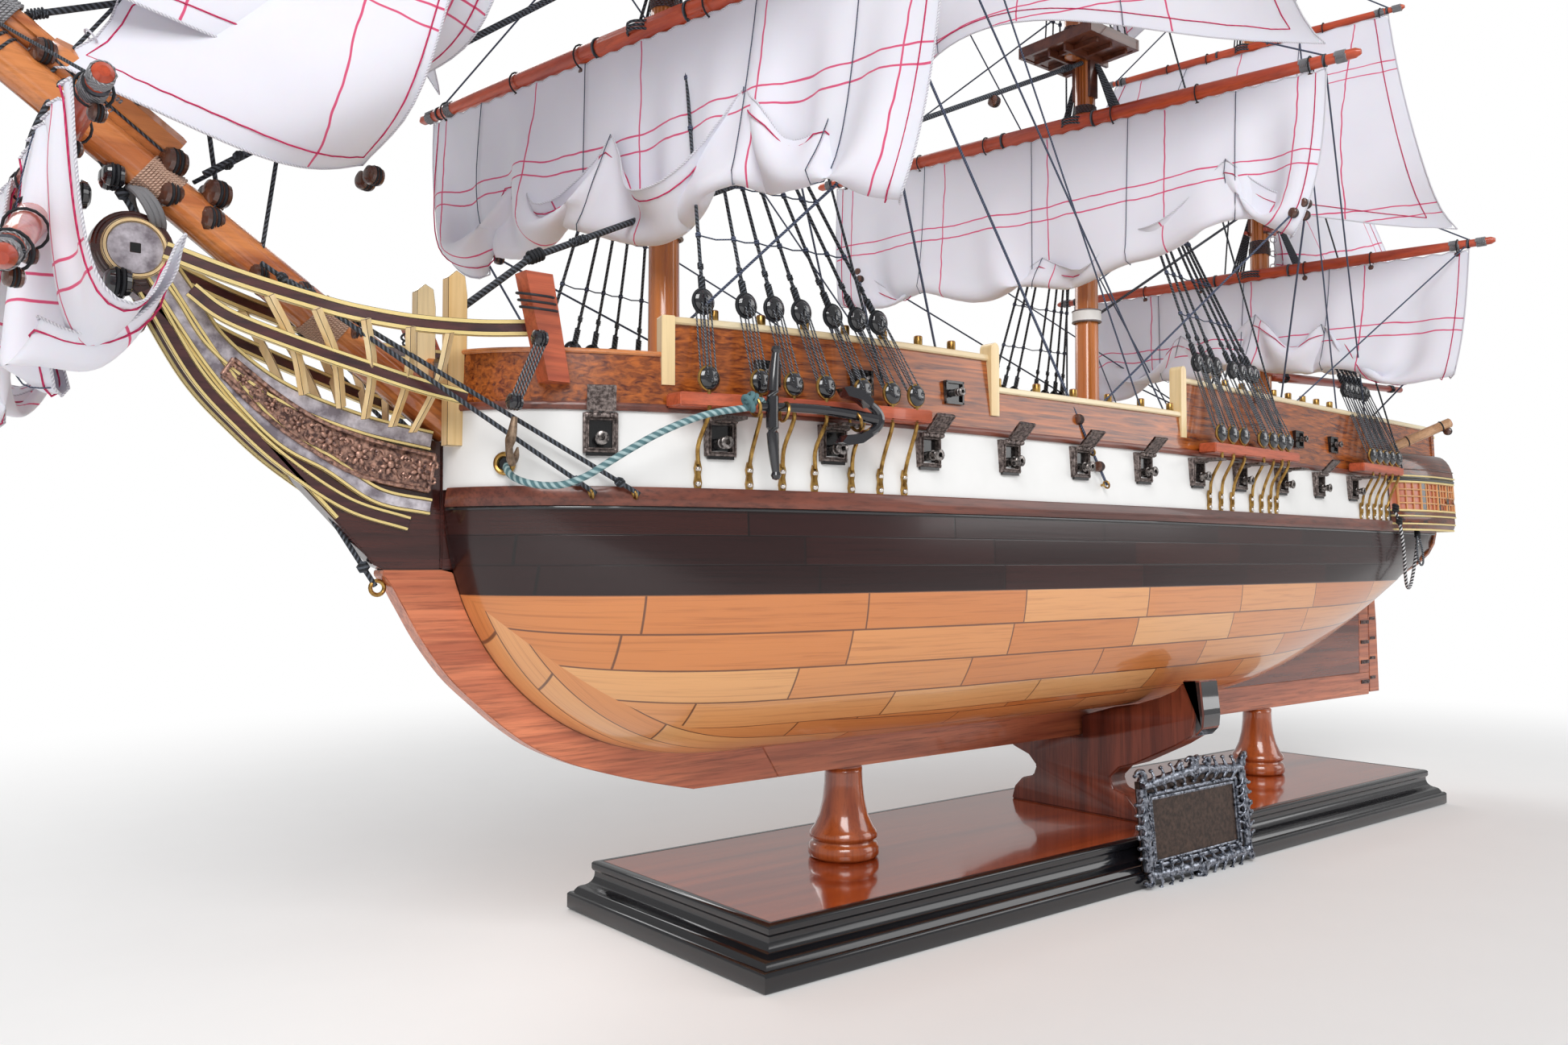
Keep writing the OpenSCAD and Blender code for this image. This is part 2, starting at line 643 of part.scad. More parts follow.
module gallery_band(z, height, extra) translate([0, 0, z]) linear_extrude(height) polygon(concat(
    [for (i = [0 : 8]) let (x = mix(gallery_x, 284, i / 8)) [x, half_breadth(x, z) + max(0.9,
        0.6 + extra + gallery_front(i / 8))]],
    [for (i = [8 : -1 : 0]) let (x = mix(gallery_x, 284, i / 8)) [x, half_breadth(x, z) + 0.3]]
));

module quarter_galleries() both_sides() {
    for (band = gallery_bands) color(band[0]) gallery_band(keel_z + band[1], band[2] - course_gap, band[3]);
}

module head_rails() {
    color("khaki") both_sides() {
        bent_bar(upper_rail, 5, 2.2);
        bent_bar(lower_rail, 4.6, 2.2);
    }
    color("burlywood") both_sides() for (t = head_timbers) bar(t[0], t[1], 2.6, 2.6, 4);
}

// ---------------------------------------------------------------- spars

spar_angle = 35.4;
bowsprit_heel = [-322, 0, 178];
bowsprit_end = [-470, 0, 283.2];
jib_boom_start = [-414, 0, 256];
jib_boom_end = [-612, 0, 392];
sprit_yard_z = 245;
sprit_yard_x = -446;
tilted_yard_centre = [-445.3, 0, 235.5];
tilted_yard_reach = [22.3, 116, 40.6];

module bowsprit() {
    color("chocolate") bar(bowsprit_heel, bowsprit_end, 14.5, 10.5);
    color("chocolate") bar(jib_boom_start, jib_boom_end, 8, 4.5);
    color("black") translate([-466, 0, 287]) rotate([0, -spar_angle - 90, 0]) translate([-7, -5,
        -2.5]) difference() {
        cube([24, 10, 5]);
        translate([7.6, 5, -1]) cylinder(h = 7, d = 10.8);
    }
    color("black") bar([-470, 0, 276], [-474, 0, 222], 4.4, 3);
}

module mast_pole(x, z0, z1, d0, d1) translate([x, 0, z0]) cylinder(h = z1 - z0, d1 = d0, d2 = d1);

doubling = 9.5;

// Lower mast with its top, cap, topmast and topgallant mast
module mast(x, top_z, cap_z, upper_top_z, upper_cap_z, truck_z) {
    color("chocolate") {
        mast_pole(x, former_top_z, cap_z, mast_diameter, mast_diameter - 3);
        mast_pole(x - doubling, top_z - 3, upper_cap_z, 8, 6);
        mast_pole(x - doubling - 6.5, upper_top_z - 2, truck_z, 5, 2.6);
    }
    color("saddlebrown") difference() {
        translate([x - 24, -22, top_z]) cube([38, 44, 3]);
        translate([x, 0, top_z - 1]) cylinder(h = 5, d = mast_diameter + 0.1);
        translate([x - doubling, 0, top_z - 1]) cylinder(h = 5, d = 8.1);
    }
    color("black") difference() {
        translate([x - 15.5, -5.5, cap_z - 7]) cube([22, 11, 4.5]);
        translate([x, 0, cap_z - 8]) cylinder(h = 7, d = mast_diameter - 1.8);
        translate([x - doubling, 0, cap_z - 8]) cylinder(h = 7, d = 8.1);
    }
    color("saddlebrown") difference() {
        translate([x - doubling - 11, -15, upper_top_z]) cube([15, 30, 2]);
        translate([x - doubling, 0, upper_top_z - 1]) cylinder(h = 4, d = 7.6);
        translate([x - doubling - 6.5, 0, upper_top_z - 1]) cylinder(h = 4, d = 5.1);
    }
    color("black") difference() {
        translate([x - doubling - 10, -4, upper_cap_z - 5]) cube([14, 8, 3]);
        translate([x - doubling, 0, upper_cap_z - 6]) cylinder(h = 5, d = 6.4);
        translate([x - doubling - 6.5, 0, upper_cap_z - 6]) cylinder(h = 5, d = 5.1);
    }
    color("gold") translate([x - doubling - 6.5, 0, truck_z]) cylinder(h = 2, d = 5);
    color("ivory") difference() {
        translate([x, 0, keel_z + 203]) cylinder(h = 5, d = mast_diameter + 1.6);
        translate([x, 0, keel_z + 202]) cylinder(h = 7, d = mast_diameter);
    }
}

module fore_mast() mast(fore_mast_x, 374, 405, 530, 552, 712);
module main_mast() mast(main_mast_x, 393, 426, 570, 594, 785);
module mizzen_mast() mast(mizzen_mast_x, 352, 380, 480, 500, 632);

// Yards, as [mast x, distance forward of it, height, half length, middle diameter, slide to starboard]
yard_list = [
    [fore_mast_x, 9.1, 334.5, 143, 7.5], [fore_mast_x, 16, 474, 108, 6], [fore_mast_x, 20.6, 582, 76, 5],
    [fore_mast_x, 19.6, 655, 50, 4],
    [main_mast_x, 9.1, 357, 148, 7.5, 14], [main_mast_x, 16, 506, 112, 6], [main_mast_x, 20.6, 630, 80, 5],
    [main_mast_x, 19.6, 718, 54, 4],
    [mizzen_mast_x, 8.6, 305, 124, 6.5], [mizzen_mast_x, 15.4, 436, 86, 5], [mizzen_mast_x, 20.3, 524,
        60, 4.4],
    [mizzen_mast_x, 19.6, 585, 40, 3.6]
];

// How far a yard has slid along itself to starboard
function slide(y) = len(y) > 5 ? y[5] : 0;

// Places children at a yard's centre, with local +Y along the yard to starboard
module at_yard(y) translate([y[0] - y[1], 0, y[2]]) rotate([0, 0, brace_angle])
    translate([0, slide(y), 0]) children();

module yard(half, d) {
    bar([0, 0, 0], [0, half, 0], d, d * 0.62);
    bar([0, 0, 0], [0, -half, 0], d, d * 0.62);
}

module yards() {
    color("firebrick") for (y = yard_list) at_yard(y) yard(y[3], y[4]);
    color("firebrick") translate([sprit_yard_x, 0, sprit_yard_z]) yard(84, 8);
    color("firebrick") for (side = [-1, 1])
        bar(tilted_yard_centre, tilted_yard_centre + side * tilted_yard_reach, 8, 5.6);
}

boom_jaw = [mizzen_mast_x + 8, 0, 248.5];
boom_end = [343, 0, 255];
gaff_jaw = [mizzen_mast_x + 8, 0, 332];
gaff_end = [292, 0, 392];

module gaff_and_boom() {
    color("firebrick") bar(boom_jaw, boom_end, 6, 3.8);
    color("firebrick") bar(gaff_jaw, gaff_end, 5, 3.2);
    color("wheat") both_sides() bar([214, 51, 204], [238, 75, 219], 5.8, 5.4);
}

// ---------------------------------------------------------------- side fittings

module channel(x0, x1) translate([0, 0, channel_z]) linear_extrude(channel_height) polygon(concat(
    [for (i = [0 : 5]) let (x = mix(x0, x1, i / 5)) [x, half_breadth(x, channel_z) + 1.4]],
    [for (i = [5 : -1 : 0]) let (x = mix(x0, x1, i / 5)) [x, half_breadth(x, channel_z) + channel_reach]]
));

module channels() color("tomato") both_sides() {
    channel(-281, -184);
    channel(-4, 80);
    channel(158, 214);
}

function chain_y(x) = half_breadth(x, channel_z) + channel_reach - 1.2;

// Foot of a shroud and its head at a masthead
function shroud_foot(x) = [x, chain_y(x), deadeye_low_z];
function shroud_head(mast_x, top_z, i) = [mast_x + 1.5 + i * 0.5, 5.5, top_z - 5];

// The upper deadeye lies on the line of its shroud
function upper_eye(foot, head, z) = mix(foot, head, (z - foot[2]) / (head[2] - foot[2]));

module deadeye(p, d) translate(p) rotate([90, 0, 0]) translate([0, 0, -1.6]) cylinder(h = 3.2, d = d);

module chainplate(x) {
    y = chain_y(x);
    color("darkgoldenrod") bar([x, y, channel_z + channel_height], [x, y,
        channel_z + channel_height + 2], 1.6, 1.6);
    color("darkgoldenrod") bar([x, y + 0.6, channel_z], [x + 0.5, half_breadth(x, band_z + 8) + 1.6,
        band_z + 9], 1.4, 1.4);
    color("darkgoldenrod") on_side(x + 0.5, band_z + 4, 0.6) translate([-1.2, 0, -3.7]) cube([2.4, 1, 9.2]);
}

module chains(list, mast_x, top_z, eye_z) for (i = [0 : len(list) - 1]) {
    foot = shroud_foot(list[i]);
    color("black") deadeye(foot, deadeye_diameter);
    color("black") deadeye(upper_eye(foot, shroud_head(mast_x, top_z, i), eye_z), deadeye_diameter);
    chainplate(list[i]);
}

module deadeyes() both_sides() {
    chains(fore_chains, fore_mast_x, 374, fore_eye_z);
    chains(main_chains, main_mast_x, 393, main_eye_z);
    chains(mizzen_chains, mizzen_mast_x, 352, mizzen_eye_z);
}

module shroud_set(list, mast_x, top_z) for (i = [0 : len(list) - 1])
    line(shroud_foot(list[i]), shroud_head(mast_x, top_z, i));

module upper_shrouds(mast_x, top_z, upper_top_z) for (dx = [-6, 0, 6])
    line([mast_x + dx, 20.5, top_z + 3], [mast_x - doubling + dx / 4, 4, upper_top_z], 0.8);

module shrouds() color("darkslategray") both_sides() {
    shroud_set(fore_chains, fore_mast_x, 374);
    shroud_set(main_chains, main_mast_x, 393);
    shroud_set(mizzen_chains, mizzen_mast_x, 352);
    upper_shrouds(fore_mast_x, 374, 530);
    upper_shrouds(main_mast_x, 393, 570);
    upper_shrouds(mizzen_mast_x, 352, 480);
}

module gunport_frame() {
    difference() {
        translate([-port_width / 2, -0.6, -port_height / 2]) cube([port_width, frame_depth + 0.6,
            port_height]);
        translate([-port_width / 2 + 1.9, 0.2, -port_height / 2 + 1.6])
            cube([port_width - 3.8, frame_depth, port_height - 4]);
    }
    for (side = [-1, 1]) {
        translate([side * 3.9 - 1.1, hinge_reach, port_height / 2 - hinge_drop]) rotate([0, 90, 0])
            cylinder(h = 2.2, r = hinge_radius);
        translate([side * 3.9 - 1.1, frame_depth - 0.5, port_height / 2 - hinge_drop - 0.6]) cube([2.2,
            1.1, 1.2]);
    }
    translate([-3.5, hinge_reach, port_height / 2 - hinge_drop]) rotate([0, 90, 0])
        cylinder(h = 7, d = hinge_pin, $fn = 16);
}

module gunport_frames() color("dimgray") both_sides() {
    for (x = gun_ports) on_side(x, port_z) gunport_frame();
    for (x = upper_ports) on_side(x, upper_port_z) difference() {
        translate([-5, -0.6, -4.5]) cube([10, 1.9, 9]);
        translate([-3.4, 0, -3]) cube([6.8, 4, 6]);
    }
}

// Lid lying in its frame's hinge; angle 0 hangs closed and 90 stands straight out
module lid(angle) translate([0, hinge_reach, port_height / 2 - hinge_drop]) rotate([angle, 0,
    0]) difference() {
    union() {
        translate([-2.6, 0, 0]) rotate([0, 90, 0]) cylinder(h = 5.2, r = hinge_radius - 0.08);
        translate([-2.6, -lid_thickness / 2, -2]) cube([5.2, lid_thickness, 2]);
        translate([-lid_width / 2, -lid_thickness / 2, -lid_length - 1.4]) cube([lid_width,
            lid_thickness, lid_length]);
    }
    translate([-4, 0, 0]) rotate([0, 90, 0]) cylinder(h = 8, d = hinge_bore, $fn = 16);
}

function is_listed(x, list) = len([for (v = list) if (v == x) v]) > 0;

// Lids under a channel stand out below it, the foremost one lies back, and the rest stand half open
function lid_angle(x) = is_listed(x, ports_under_channels) ? 88 : x == gun_ports[0] ? 168 : 135;

module port_lid(name) color("gray") for (i = [0 : len(gun_ports) - 1]) {
    if (name == str("starboard_lid_", i + 1)) on_side(gun_ports[i], port_z) lid(lid_angle(gun_ports[i]));
    if (name == str("port_lid_", i + 1))
        mirror([0, 1, 0]) on_side(gun_ports[i], port_z) lid(lid_angle(gun_ports[i]));
}

module gun(d, reach) {
    translate([0, 0.2, 0]) rotate([-90, 0, 0]) difference() {
        union() {
            cylinder(h = reach, d = d * 0.85);
            translate([0, 0, reach - 1.4]) cylinder(h = 1.4, d = d * 1.15);
        }
        translate([0, 0, reach - 3]) cylinder(h = 4, d = d * 0.45);
    }
}

module guns() color("darkslategray") both_sides() {
    for (x = gun_ports) on_side(x, port_z - 2) gun(gun_diameter, 6.5);
    for (x = upper_ports) on_side(x, upper_port_z) gun(gun_diameter * 0.8, 5);
}

anchor_ring = [-260.5, 72.6, 188.6];
anchor_heading = 8.9;
anchor_dip = 1.9;
anchor_thickness = 2.6;
ring_radius = 3;

// Arms of the anchor, in a plane along its shank
module anchor_arms() translate([0, anchor_thickness / 2, 0]) rotate([90, 0,
    0]) linear_extrude(anchor_thickness)
    polygon(concat(
        [for (p = anchor_arm) p],
        [for (i = [len(anchor_arm) - 1 : -1 : 0]) [anchor_arm[i][0], -anchor_arm[i][1]]]
    ));

anchor_arm = [[44.6, 1.2], [43.2, 4], [39.5, 6.4], [34.6, 7], [33, 9.6], [39.6, 9.2], [45.4, 5.8], [48.6,
    1.6]];

module anchor() {
    color("black") {
        bar([-255.5, 73.4, 168], [-254, 73.4, 206], 3.4, 3.4, 4);
        translate(anchor_ring) rotate([0, anchor_dip, anchor_heading]) {
            bar([2.6, 0, 0], [46.5, 0, 0], 2.4, 3.2);
            anchor_arms();
        }
    }
    color("gold") translate(anchor_ring) rotate([0, 90, 0]) rotate_extrude() translate([ring_radius,
        0]) circle(d = 1);
}

// Timber that leans out of the bulwark and carries the anchor's tackle
module cathead() color("firebrick") hull() {
    translate([-317, 35.5, 195]) cube([7.5, 7, 0.5]);
    translate([-328.5, 42.5, 225.5]) cube([9, 7, 0.5]);
}

module anchors() both_sides() {
    anchor();
    cathead();
    color("gold") on_side(-324, 170) rotate([-90, 0, 0]) rotate_extrude() translate([2.6,
        0]) circle(d = 1.4);
}

// ---------------------------------------------------------------- deck fittings

wheel_x = 138;
wheel_z = raised_deck_z + deck_thickness + 14;
wheel_radius = 8;

module wheel_stand() for (x = [wheel_x - 4, wheel_x + 4]) difference() {
    translate([x - 1, -2.5, raised_deck_z + deck_thickness]) cube([2, 5, 17]);
    translate([x - 2, 0, wheel_z]) rotate([0, 90, 0]) cylinder(h = 4, d = 2.1);
}

module steering_wheel() color("sienna") {
    translate([wheel_x - 8.5, 0, wheel_z]) rotate([0, 90, 0]) cylinder(h = 15, d = 2);
    translate([wheel_x - 2.8, 0, wheel_z]) rotate([0, 90, 0]) cylinder(h = 5.6, d = 4.4);
    translate([wheel_x - 7.4, 0, wheel_z]) rotate([0, 90, 0]) {
        difference() {
            cylinder(h = 1.6, r = wheel_radius);
            translate([0, 0, -1]) cylinder(h = 4, r = wheel_radius - 1.5);
        }
        cylinder(h = 1.6, r = 2.2);
        for (i = [0 : 7]) rotate([0, 0, 45 * i]) translate([1, -0.5, 0.3]) cube([wheel_radius + 1.8, 1, 1]);
    }
}

module grating(x, z, length, width) translate([x, -width / 2, z]) difference() {
    cube([length, width, 3]);
    translate([2, 2, 1.8]) cube([length - 4, width - 4, 2]);
}

module capstan(x, z) translate([x, 0, z]) {
    cylinder(h = 2, d = 13);
    translate([0, 0, 2]) cylinder(h = 8, d1 = 9, d2 = 6);
    translate([0, 0, 10]) cylinder(h = 3.5, d = 11);
}

pin_diameter = 3.2;

module pin_row(x0, x1, count, z) for (i = [0 : count - 1]) {
    x = mix(x0, x1, i / (count - 1));
    foot = hull_point(x, z, -plank_thickness / 2 - 0.4);
    translate([foot[0], foot[1], z + 0.05]) cylinder(h = 4, d = pin_diameter);
}

module deck_fittings() {
    color("tan") {
        grating(-312, raised_deck_z + deck_thickness, 26, 24);
        grating(-212, raised_deck_z + deck_thickness, 40, 30);
        grating(-118, deck_z + deck_thickness, 46, 44);
        grating(-62, deck_z + deck_thickness, 34, 44);
        grating(26, raised_deck_z + deck_thickness, 40, 34);
    }
    color("saddlebrown") {
        capstan(98, raised_deck_z + deck_thickness);
        wheel_stand();
    }
    color("gold") both_sides() {
        pin_row(-262, -160, 7, fore_rail_z + rail_height);
        pin_row(16.5, 150, 9, after_rail_z + rail_height);
    }
}

// ---------------------------------------------------------------- lines and sails

module stays() {
    line([-460, 0, 281], [fore_mast_x - 6, 0, 372], 1.8);
    line([-530, 0, 341], [fore_mast_x - 15, 0, 528], 1.2);
    line([-572, 0, 370], [fore_mast_x - 18, 0, 620], 1);
    line([-608, 0, 394], [fore_mast_x - 18, 0, 700], 1);
    line([-306, -9, 241], [main_mast_x - 5, -2, 388], 2.2);
    line([fore_mast_x - 2, 0, 398], [main_mast_x - 15, 0, 566], 1.2);
    line([fore_mast_x - 12, 0, 556], [main_mast_x - 18, 0, 690], 1);
    line([main_mast_x + 5.5, 0, 262], [mizzen_mast_x - 5, 0, 346], 1.4);
    line([main_mast_x + 4, 0, 420], [mizzen_mast_x - 14, 0, 476], 1);
    line([-306, -9, 241], [-332, -6, 219], 2.2);
    line([-447.5, -3, 266], [-260, -3, 546], 1);
    line([-480, 3, 302], [-262, 3, 536], 1);
    both_sides() {
        line([-428, 4, 264], [-252, 4, 371], 1.2);
        line([-407, 5.5, 250], [-251, 5.5, 368], 1.2);
    }
}

module head_lines() {
    line([-354, 0, 132], [-432, 0, 250], 1.6);
    both_sides() {
        line([-303, 47.5, 160.5], [-392, 9, 226], 1.4);
        line([-291, 53.5, 160.5], [-384, 9, 222], 1.4);
        line([sprit_yard_x, 78, sprit_yard_z], [-466, 3, 284], 0.8);
    }
}

module backstays() both_sides() {
    line([-200, 71, channel_z + 4], [fore_mast_x - 8, 4, 526], 0.9);
    line([74, 67, channel_z + 4], [main_mast_x - 8, 4, 566], 0.9);
    line([211, 60, channel_z + 4], [mizzen_mast_x - 8, 3, 476], 0.9);
}

// A point on a yard, at a part of its half length, starboard positive
function yard_point(y, part) = let (reach = part * y[3] + slide(y))
    [y[0] - y[1] - reach * sin(brace_angle), reach * cos(brace_angle), y[2]];

// Lower corner of a course, from its place along the yard and below it
function clew(y, corner) = let (forward = y[4] / 2 + sail_thickness, reach = corner[0] + slide(y)) [
    y[0] - y[1] - forward * cos(brace_angle) - reach * sin(brace_angle),
    -forward * sin(brace_angle) + reach * cos(brace_angle), y[2] + corner[1]
];

// Heights where the lifts of each yard reach its mast
lift_heights = [400, 546, 640, 704, 420, 588, 700, 776, 375, 495, 570, 626];

// Braces, as [yard number, x and z on the rail]
braces = [
    [0, -26, waist_rail_z + 2.4], [1, -44, waist_rail_z + 2.4], [4, 196, after_rail_z + 2.4],
    [5, 158, after_rail_z + 2.4], [8, 108, after_rail_z + 2.4]
];

// Lower corners of the courses, port then starboard, along and below the yard
fore_clews = [[-116, -66], [90, -67]];
main_clews = [[-127, -61], [115, -54]];
mizzen_clews = [[-98, -54], [86, -49]];

// Sheets and tacks of the courses, as [yard number, corners, x and z on the rail]
sheets = [
    [0, fore_clews, -168.5, fore_rail_z + 2.4], [0, fore_clews, -270, fore_rail_z + 2.4],
    [4, main_clews, 91, after_rail_z + 2.4], [4, main_clews, -70, waist_rail_z + 2.4],
    [8, mizzen_clews, 206, after_rail_z + 2.4]
];

function rail_point(x, z, side) = let (p = hull_point(x, z, -plank_thickness / 2)) [p[0], side * p[1], z];

module running_lines() for (side = [-1, 1]) {
    for (i = [0 : len(yard_list) - 1]) let (y = yard_list[i])
        line(yard_point(y, 0.93 * side), [y[0] - y[1] + 5, 1.5 * side, lift_heights[i]], 0.8);
    for (b = braces) line(yard_point(yard_list[b[0]], 0.9 * side), rail_point(b[1], b[2], side), 0.8);
    for (s = sheets) line(clew(yard_list[s[0]], s[1][side < 0 ? 0 : 1]), rail_point(s[2], s[3], side), 0.9);
    line([-77.6, side * (half_breadth(-77.6, 170.7) + 2.6), 170.7], [-252.8, 3 * side, 550], 1.1);
}

module rigging() {
    color("darkslategray") {
        stays();
        head_lines();
        backstays();
        running_lines();
    }
    color("cadetblue") both_sides() tube(anchor_cable, 2.2);
    color("lightgray") both_sides() tube(quarter_rope, 1.8);
}

// Square sail hanging from a yard: its half width at the head, and its foot from starboard to port
module square_sail(y, head, foot) at_yard(y)
    translate([-y[4] / 2 - sail_thickness, 0, 0]) rotate([90, 0, 90]) linear_extrude(sail_thickness)
        polygon(concat([[-head, 1], [head, 1]], foot));

// Foot of an upper sail that fills evenly
function even_foot(foot, depth) = [
    [foot, -depth], [foot * 0.5, -depth * 0.86], [0, -depth * 0.8], [-foot * 0.5, -depth * 0.86], [-foot,
        -depth]
];

// Foot of a topsail, cut up in the middle to clear the top below it
function topsail_foot(starboard, port, middle, top) = [
    starboard, [60, -middle - 5], [28, -middle], [28, -top], [-28, -top], [-28, -middle], [-60,
        -middle - 6], port
];

module fore_and_aft(points) rotate([90, 0, 0]) translate([0, 0, -sail_thickness / 2])
    linear_extrude(sail_thickness) polygon(points);

jib_offset = 3;

module sails() color("white") {
    square_sail(yard_list[0], 132,
        [[127, -30], fore_clews[1], [66, -46], [30, -45], [-58, -43], [-94, -61], fore_clews[0]]);
    square_sail(yard_list[1], 98, topsail_foot([112, -138], [-116, -138], 112, 93));
    square_sail(yard_list[2], 68, even_foot(94, 92));
    square_sail(yard_list[3], 44, even_foot(62, 60));
    square_sail(yard_list[4], 134,
        [[132, -30], main_clews[1], [50, -68], [-12, -75], [-50, -62], [-92, -40], main_clews[0]]);
    square_sail(yard_list[5], 102, topsail_foot([98, -122], [-124, -146], 115, 106));
    square_sail(yard_list[6], 72, even_foot(98, 106));
    square_sail(yard_list[7], 48, even_foot(68, 72));
    square_sail(yard_list[8], 112,
        [[106, -28], mizzen_clews[1], [40, -36], [-4, -29], [-40, -40], mizzen_clews[0]]);
    square_sail(yard_list[9], 78, topsail_foot([104, -120], [-110, -125], 103, 77));
    square_sail(yard_list[10], 52, even_foot(74, 74));
    square_sail(yard_list[11], 34, even_foot(50, 50));
    translate([sprit_yard_x + 4.5, 0, sprit_yard_z]) for (side = [-1, 1]) rotate([90, 0, 90])
        linear_extrude(sail_thickness)
            polygon([for (p = [[12, 1], [78, 1], [72, -52], [58, -58], [46, -40]]) [side * p[0], p[1]]]);
    translate([0, -jib_offset, 0]) fore_and_aft([[-444, 272], [-360.5, 262.6], [-291, 500]]);
    translate([0, jib_offset, 0]) fore_and_aft([[-478, 305], [-340, 297], [-282, 514]]);
    fore_and_aft([[184, 253.5], [322, 259], [284, 385], [184, 334]]);
}

// ---------------------------------------------------------------- assembly

base_board();
base_panel();
pedestals();
cradle();
nameplate();
keel_screws();
keel();
head_knee();
hull_frames();
bottom_planking();
topside_planking();
wales();
gun_bands();
bulwarks();
cap_rails();
decks();
transom();
quarter_galleries();
head_rails();
rudder();
bowsprit();
fore_mast();
main_mast();
mizzen_mast();
yards();
gaff_and_boom();
channels();
deadeyes();
gunport_frames();
guns();
anchors();
deck_fittings();
steering_wheel();
shrouds();
rigging();
sails();
for (name = PORT_NODES) port_lid(name);
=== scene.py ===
"""Looks of the three-masted display frigate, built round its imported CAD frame.

Shapes are given in millimetres, in the part's own frame: +X aft, +Y to starboard, +Z up.
Port is the side nearer to the camera.
"""

import math

import bmesh
import bpy
import numpy as np
from mathutils import Matrix, Vector


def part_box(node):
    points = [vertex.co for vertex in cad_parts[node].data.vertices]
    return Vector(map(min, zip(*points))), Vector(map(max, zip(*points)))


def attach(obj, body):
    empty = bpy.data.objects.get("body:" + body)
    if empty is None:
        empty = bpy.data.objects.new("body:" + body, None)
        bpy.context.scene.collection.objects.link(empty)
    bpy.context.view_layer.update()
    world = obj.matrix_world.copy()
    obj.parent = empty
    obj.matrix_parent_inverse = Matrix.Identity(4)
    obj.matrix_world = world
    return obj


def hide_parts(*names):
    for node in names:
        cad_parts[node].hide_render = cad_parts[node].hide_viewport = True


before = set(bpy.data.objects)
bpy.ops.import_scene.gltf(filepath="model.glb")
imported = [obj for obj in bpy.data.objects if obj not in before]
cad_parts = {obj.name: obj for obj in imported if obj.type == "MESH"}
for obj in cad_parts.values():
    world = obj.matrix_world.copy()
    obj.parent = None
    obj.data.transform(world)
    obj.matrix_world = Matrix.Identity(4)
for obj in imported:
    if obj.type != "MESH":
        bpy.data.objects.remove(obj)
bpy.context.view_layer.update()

MM = 0.001
UP = np.array([0.0, 0.0, 1.0])
FLAT_X = Matrix.Rotation(math.pi / 2, 4, "Y")
OUTWARD = Matrix.Rotation(-math.pi / 2, 4, "X")

# ---------------------------------------------------------------- hull form, as in the CAD part

KEEL_Z = 56.0
RABBET_Z = KEEL_Z + 14
WATERLINE_Z = KEEL_Z + 73
WALE_Z = KEEL_Z + 101
BAND_Z = KEEL_Z + 107
MOULDING_Z = KEEL_Z + 131
BULWARK_Z = KEEL_Z + 133.5
FORE_RAIL_Z = KEEL_Z + 160
WAIST_RAIL_Z = KEEL_Z + 148
AFTER_RAIL_Z = KEEL_Z + 164
BOW_RAIL_Z = KEEL_Z + 149
CAP_RAIL = 2.4
PORT_Z = KEEL_Z + 123.7
UPPER_PORT_Z = KEEL_Z + 146
CHANNEL_Z = KEEL_Z + 132.4
CHANNEL_REACH = 10
TUCK_Z = KEEL_Z + 68
DECK_Z = KEEL_Z + 130
RAISED_DECK_Z = KEEL_Z + 141
DECK_THICKNESS = 2

HALF_KEEL = 4.2
HALF_HULL = 70.5
HALF_TRANSOM = 45.5
PLANK = 3
STEM_X = -334
FOREFOOT_X = -233
RUN_X = 60
STERNPOST_X = 280
BOW_RAIL_X = -277
FORE_BREAK_X = -143
AFTER_BREAK_X = -12
STERN_X = 292
TRANSOM_RAKE = 0.12
BOW_DEPTH = 95
BOW_LENGTH = FOREFOOT_X - STEM_X
BOW_POWER = 2.15
RUN_POWER = 1.9

FORE_MAST_X = -247
MAIN_MAST_X = 4.5
MIZZEN_MAST_X = 167.6
BRACE_ANGLE = math.radians(10.6)

GUN_PORTS = [-300, -263, -221, -178, -135, -92, -49, -6, 34, 77, 120, 163]
UPPER_PORTS = [-245, -207, -163, 101, 143]


def mix(a, b, t):
    return a + (b - a) * t


def keel_line(x):
    """Height of the hull's lower edge: up the stem forward, and up the run aft."""
    bow = 1 - np.clip((FOREFOOT_X - x) / BOW_LENGTH, 0, 1) ** BOW_POWER
    run = np.clip((x - RUN_X) / (STERNPOST_X - RUN_X), 0, 2) ** RUN_POWER
    return RABBET_Z + BOW_DEPTH * (1 - bow ** (1 / BOW_POWER)) + (TUCK_Z - RABBET_Z) * run


def stem_at(z):
    """Where the hull begins at a height."""
    rise = np.clip((RABBET_Z + BOW_DEPTH - z) / BOW_DEPTH, 0, 1) ** BOW_POWER
    return FOREFOOT_X - BOW_LENGTH * (1 - rise) ** (1 / BOW_POWER)


def stern_at(z):
    """Where the hull ends at a height."""
    low = np.clip((z - RABBET_Z) / (TUCK_Z - RABBET_Z), 0, 1) ** (1 / RUN_POWER)
    return mix(RUN_X, STERNPOST_X, low) + np.maximum(0, z - TUCK_Z) * TRANSOM_RAKE


def beam(x):
    """Greatest half breadth at a station."""
    fore = mix(HALF_KEEL, HALF_HULL, np.sqrt(1 - np.clip((-100 - x) / (-100 - STEM_X), 0, 1) ** 3.2))
    after = mix(HALF_HULL, HALF_TRANSOM, np.clip((x + 40) / 322, 0, 2) ** 1.2)
    return np.where(x < -100, fore, after)


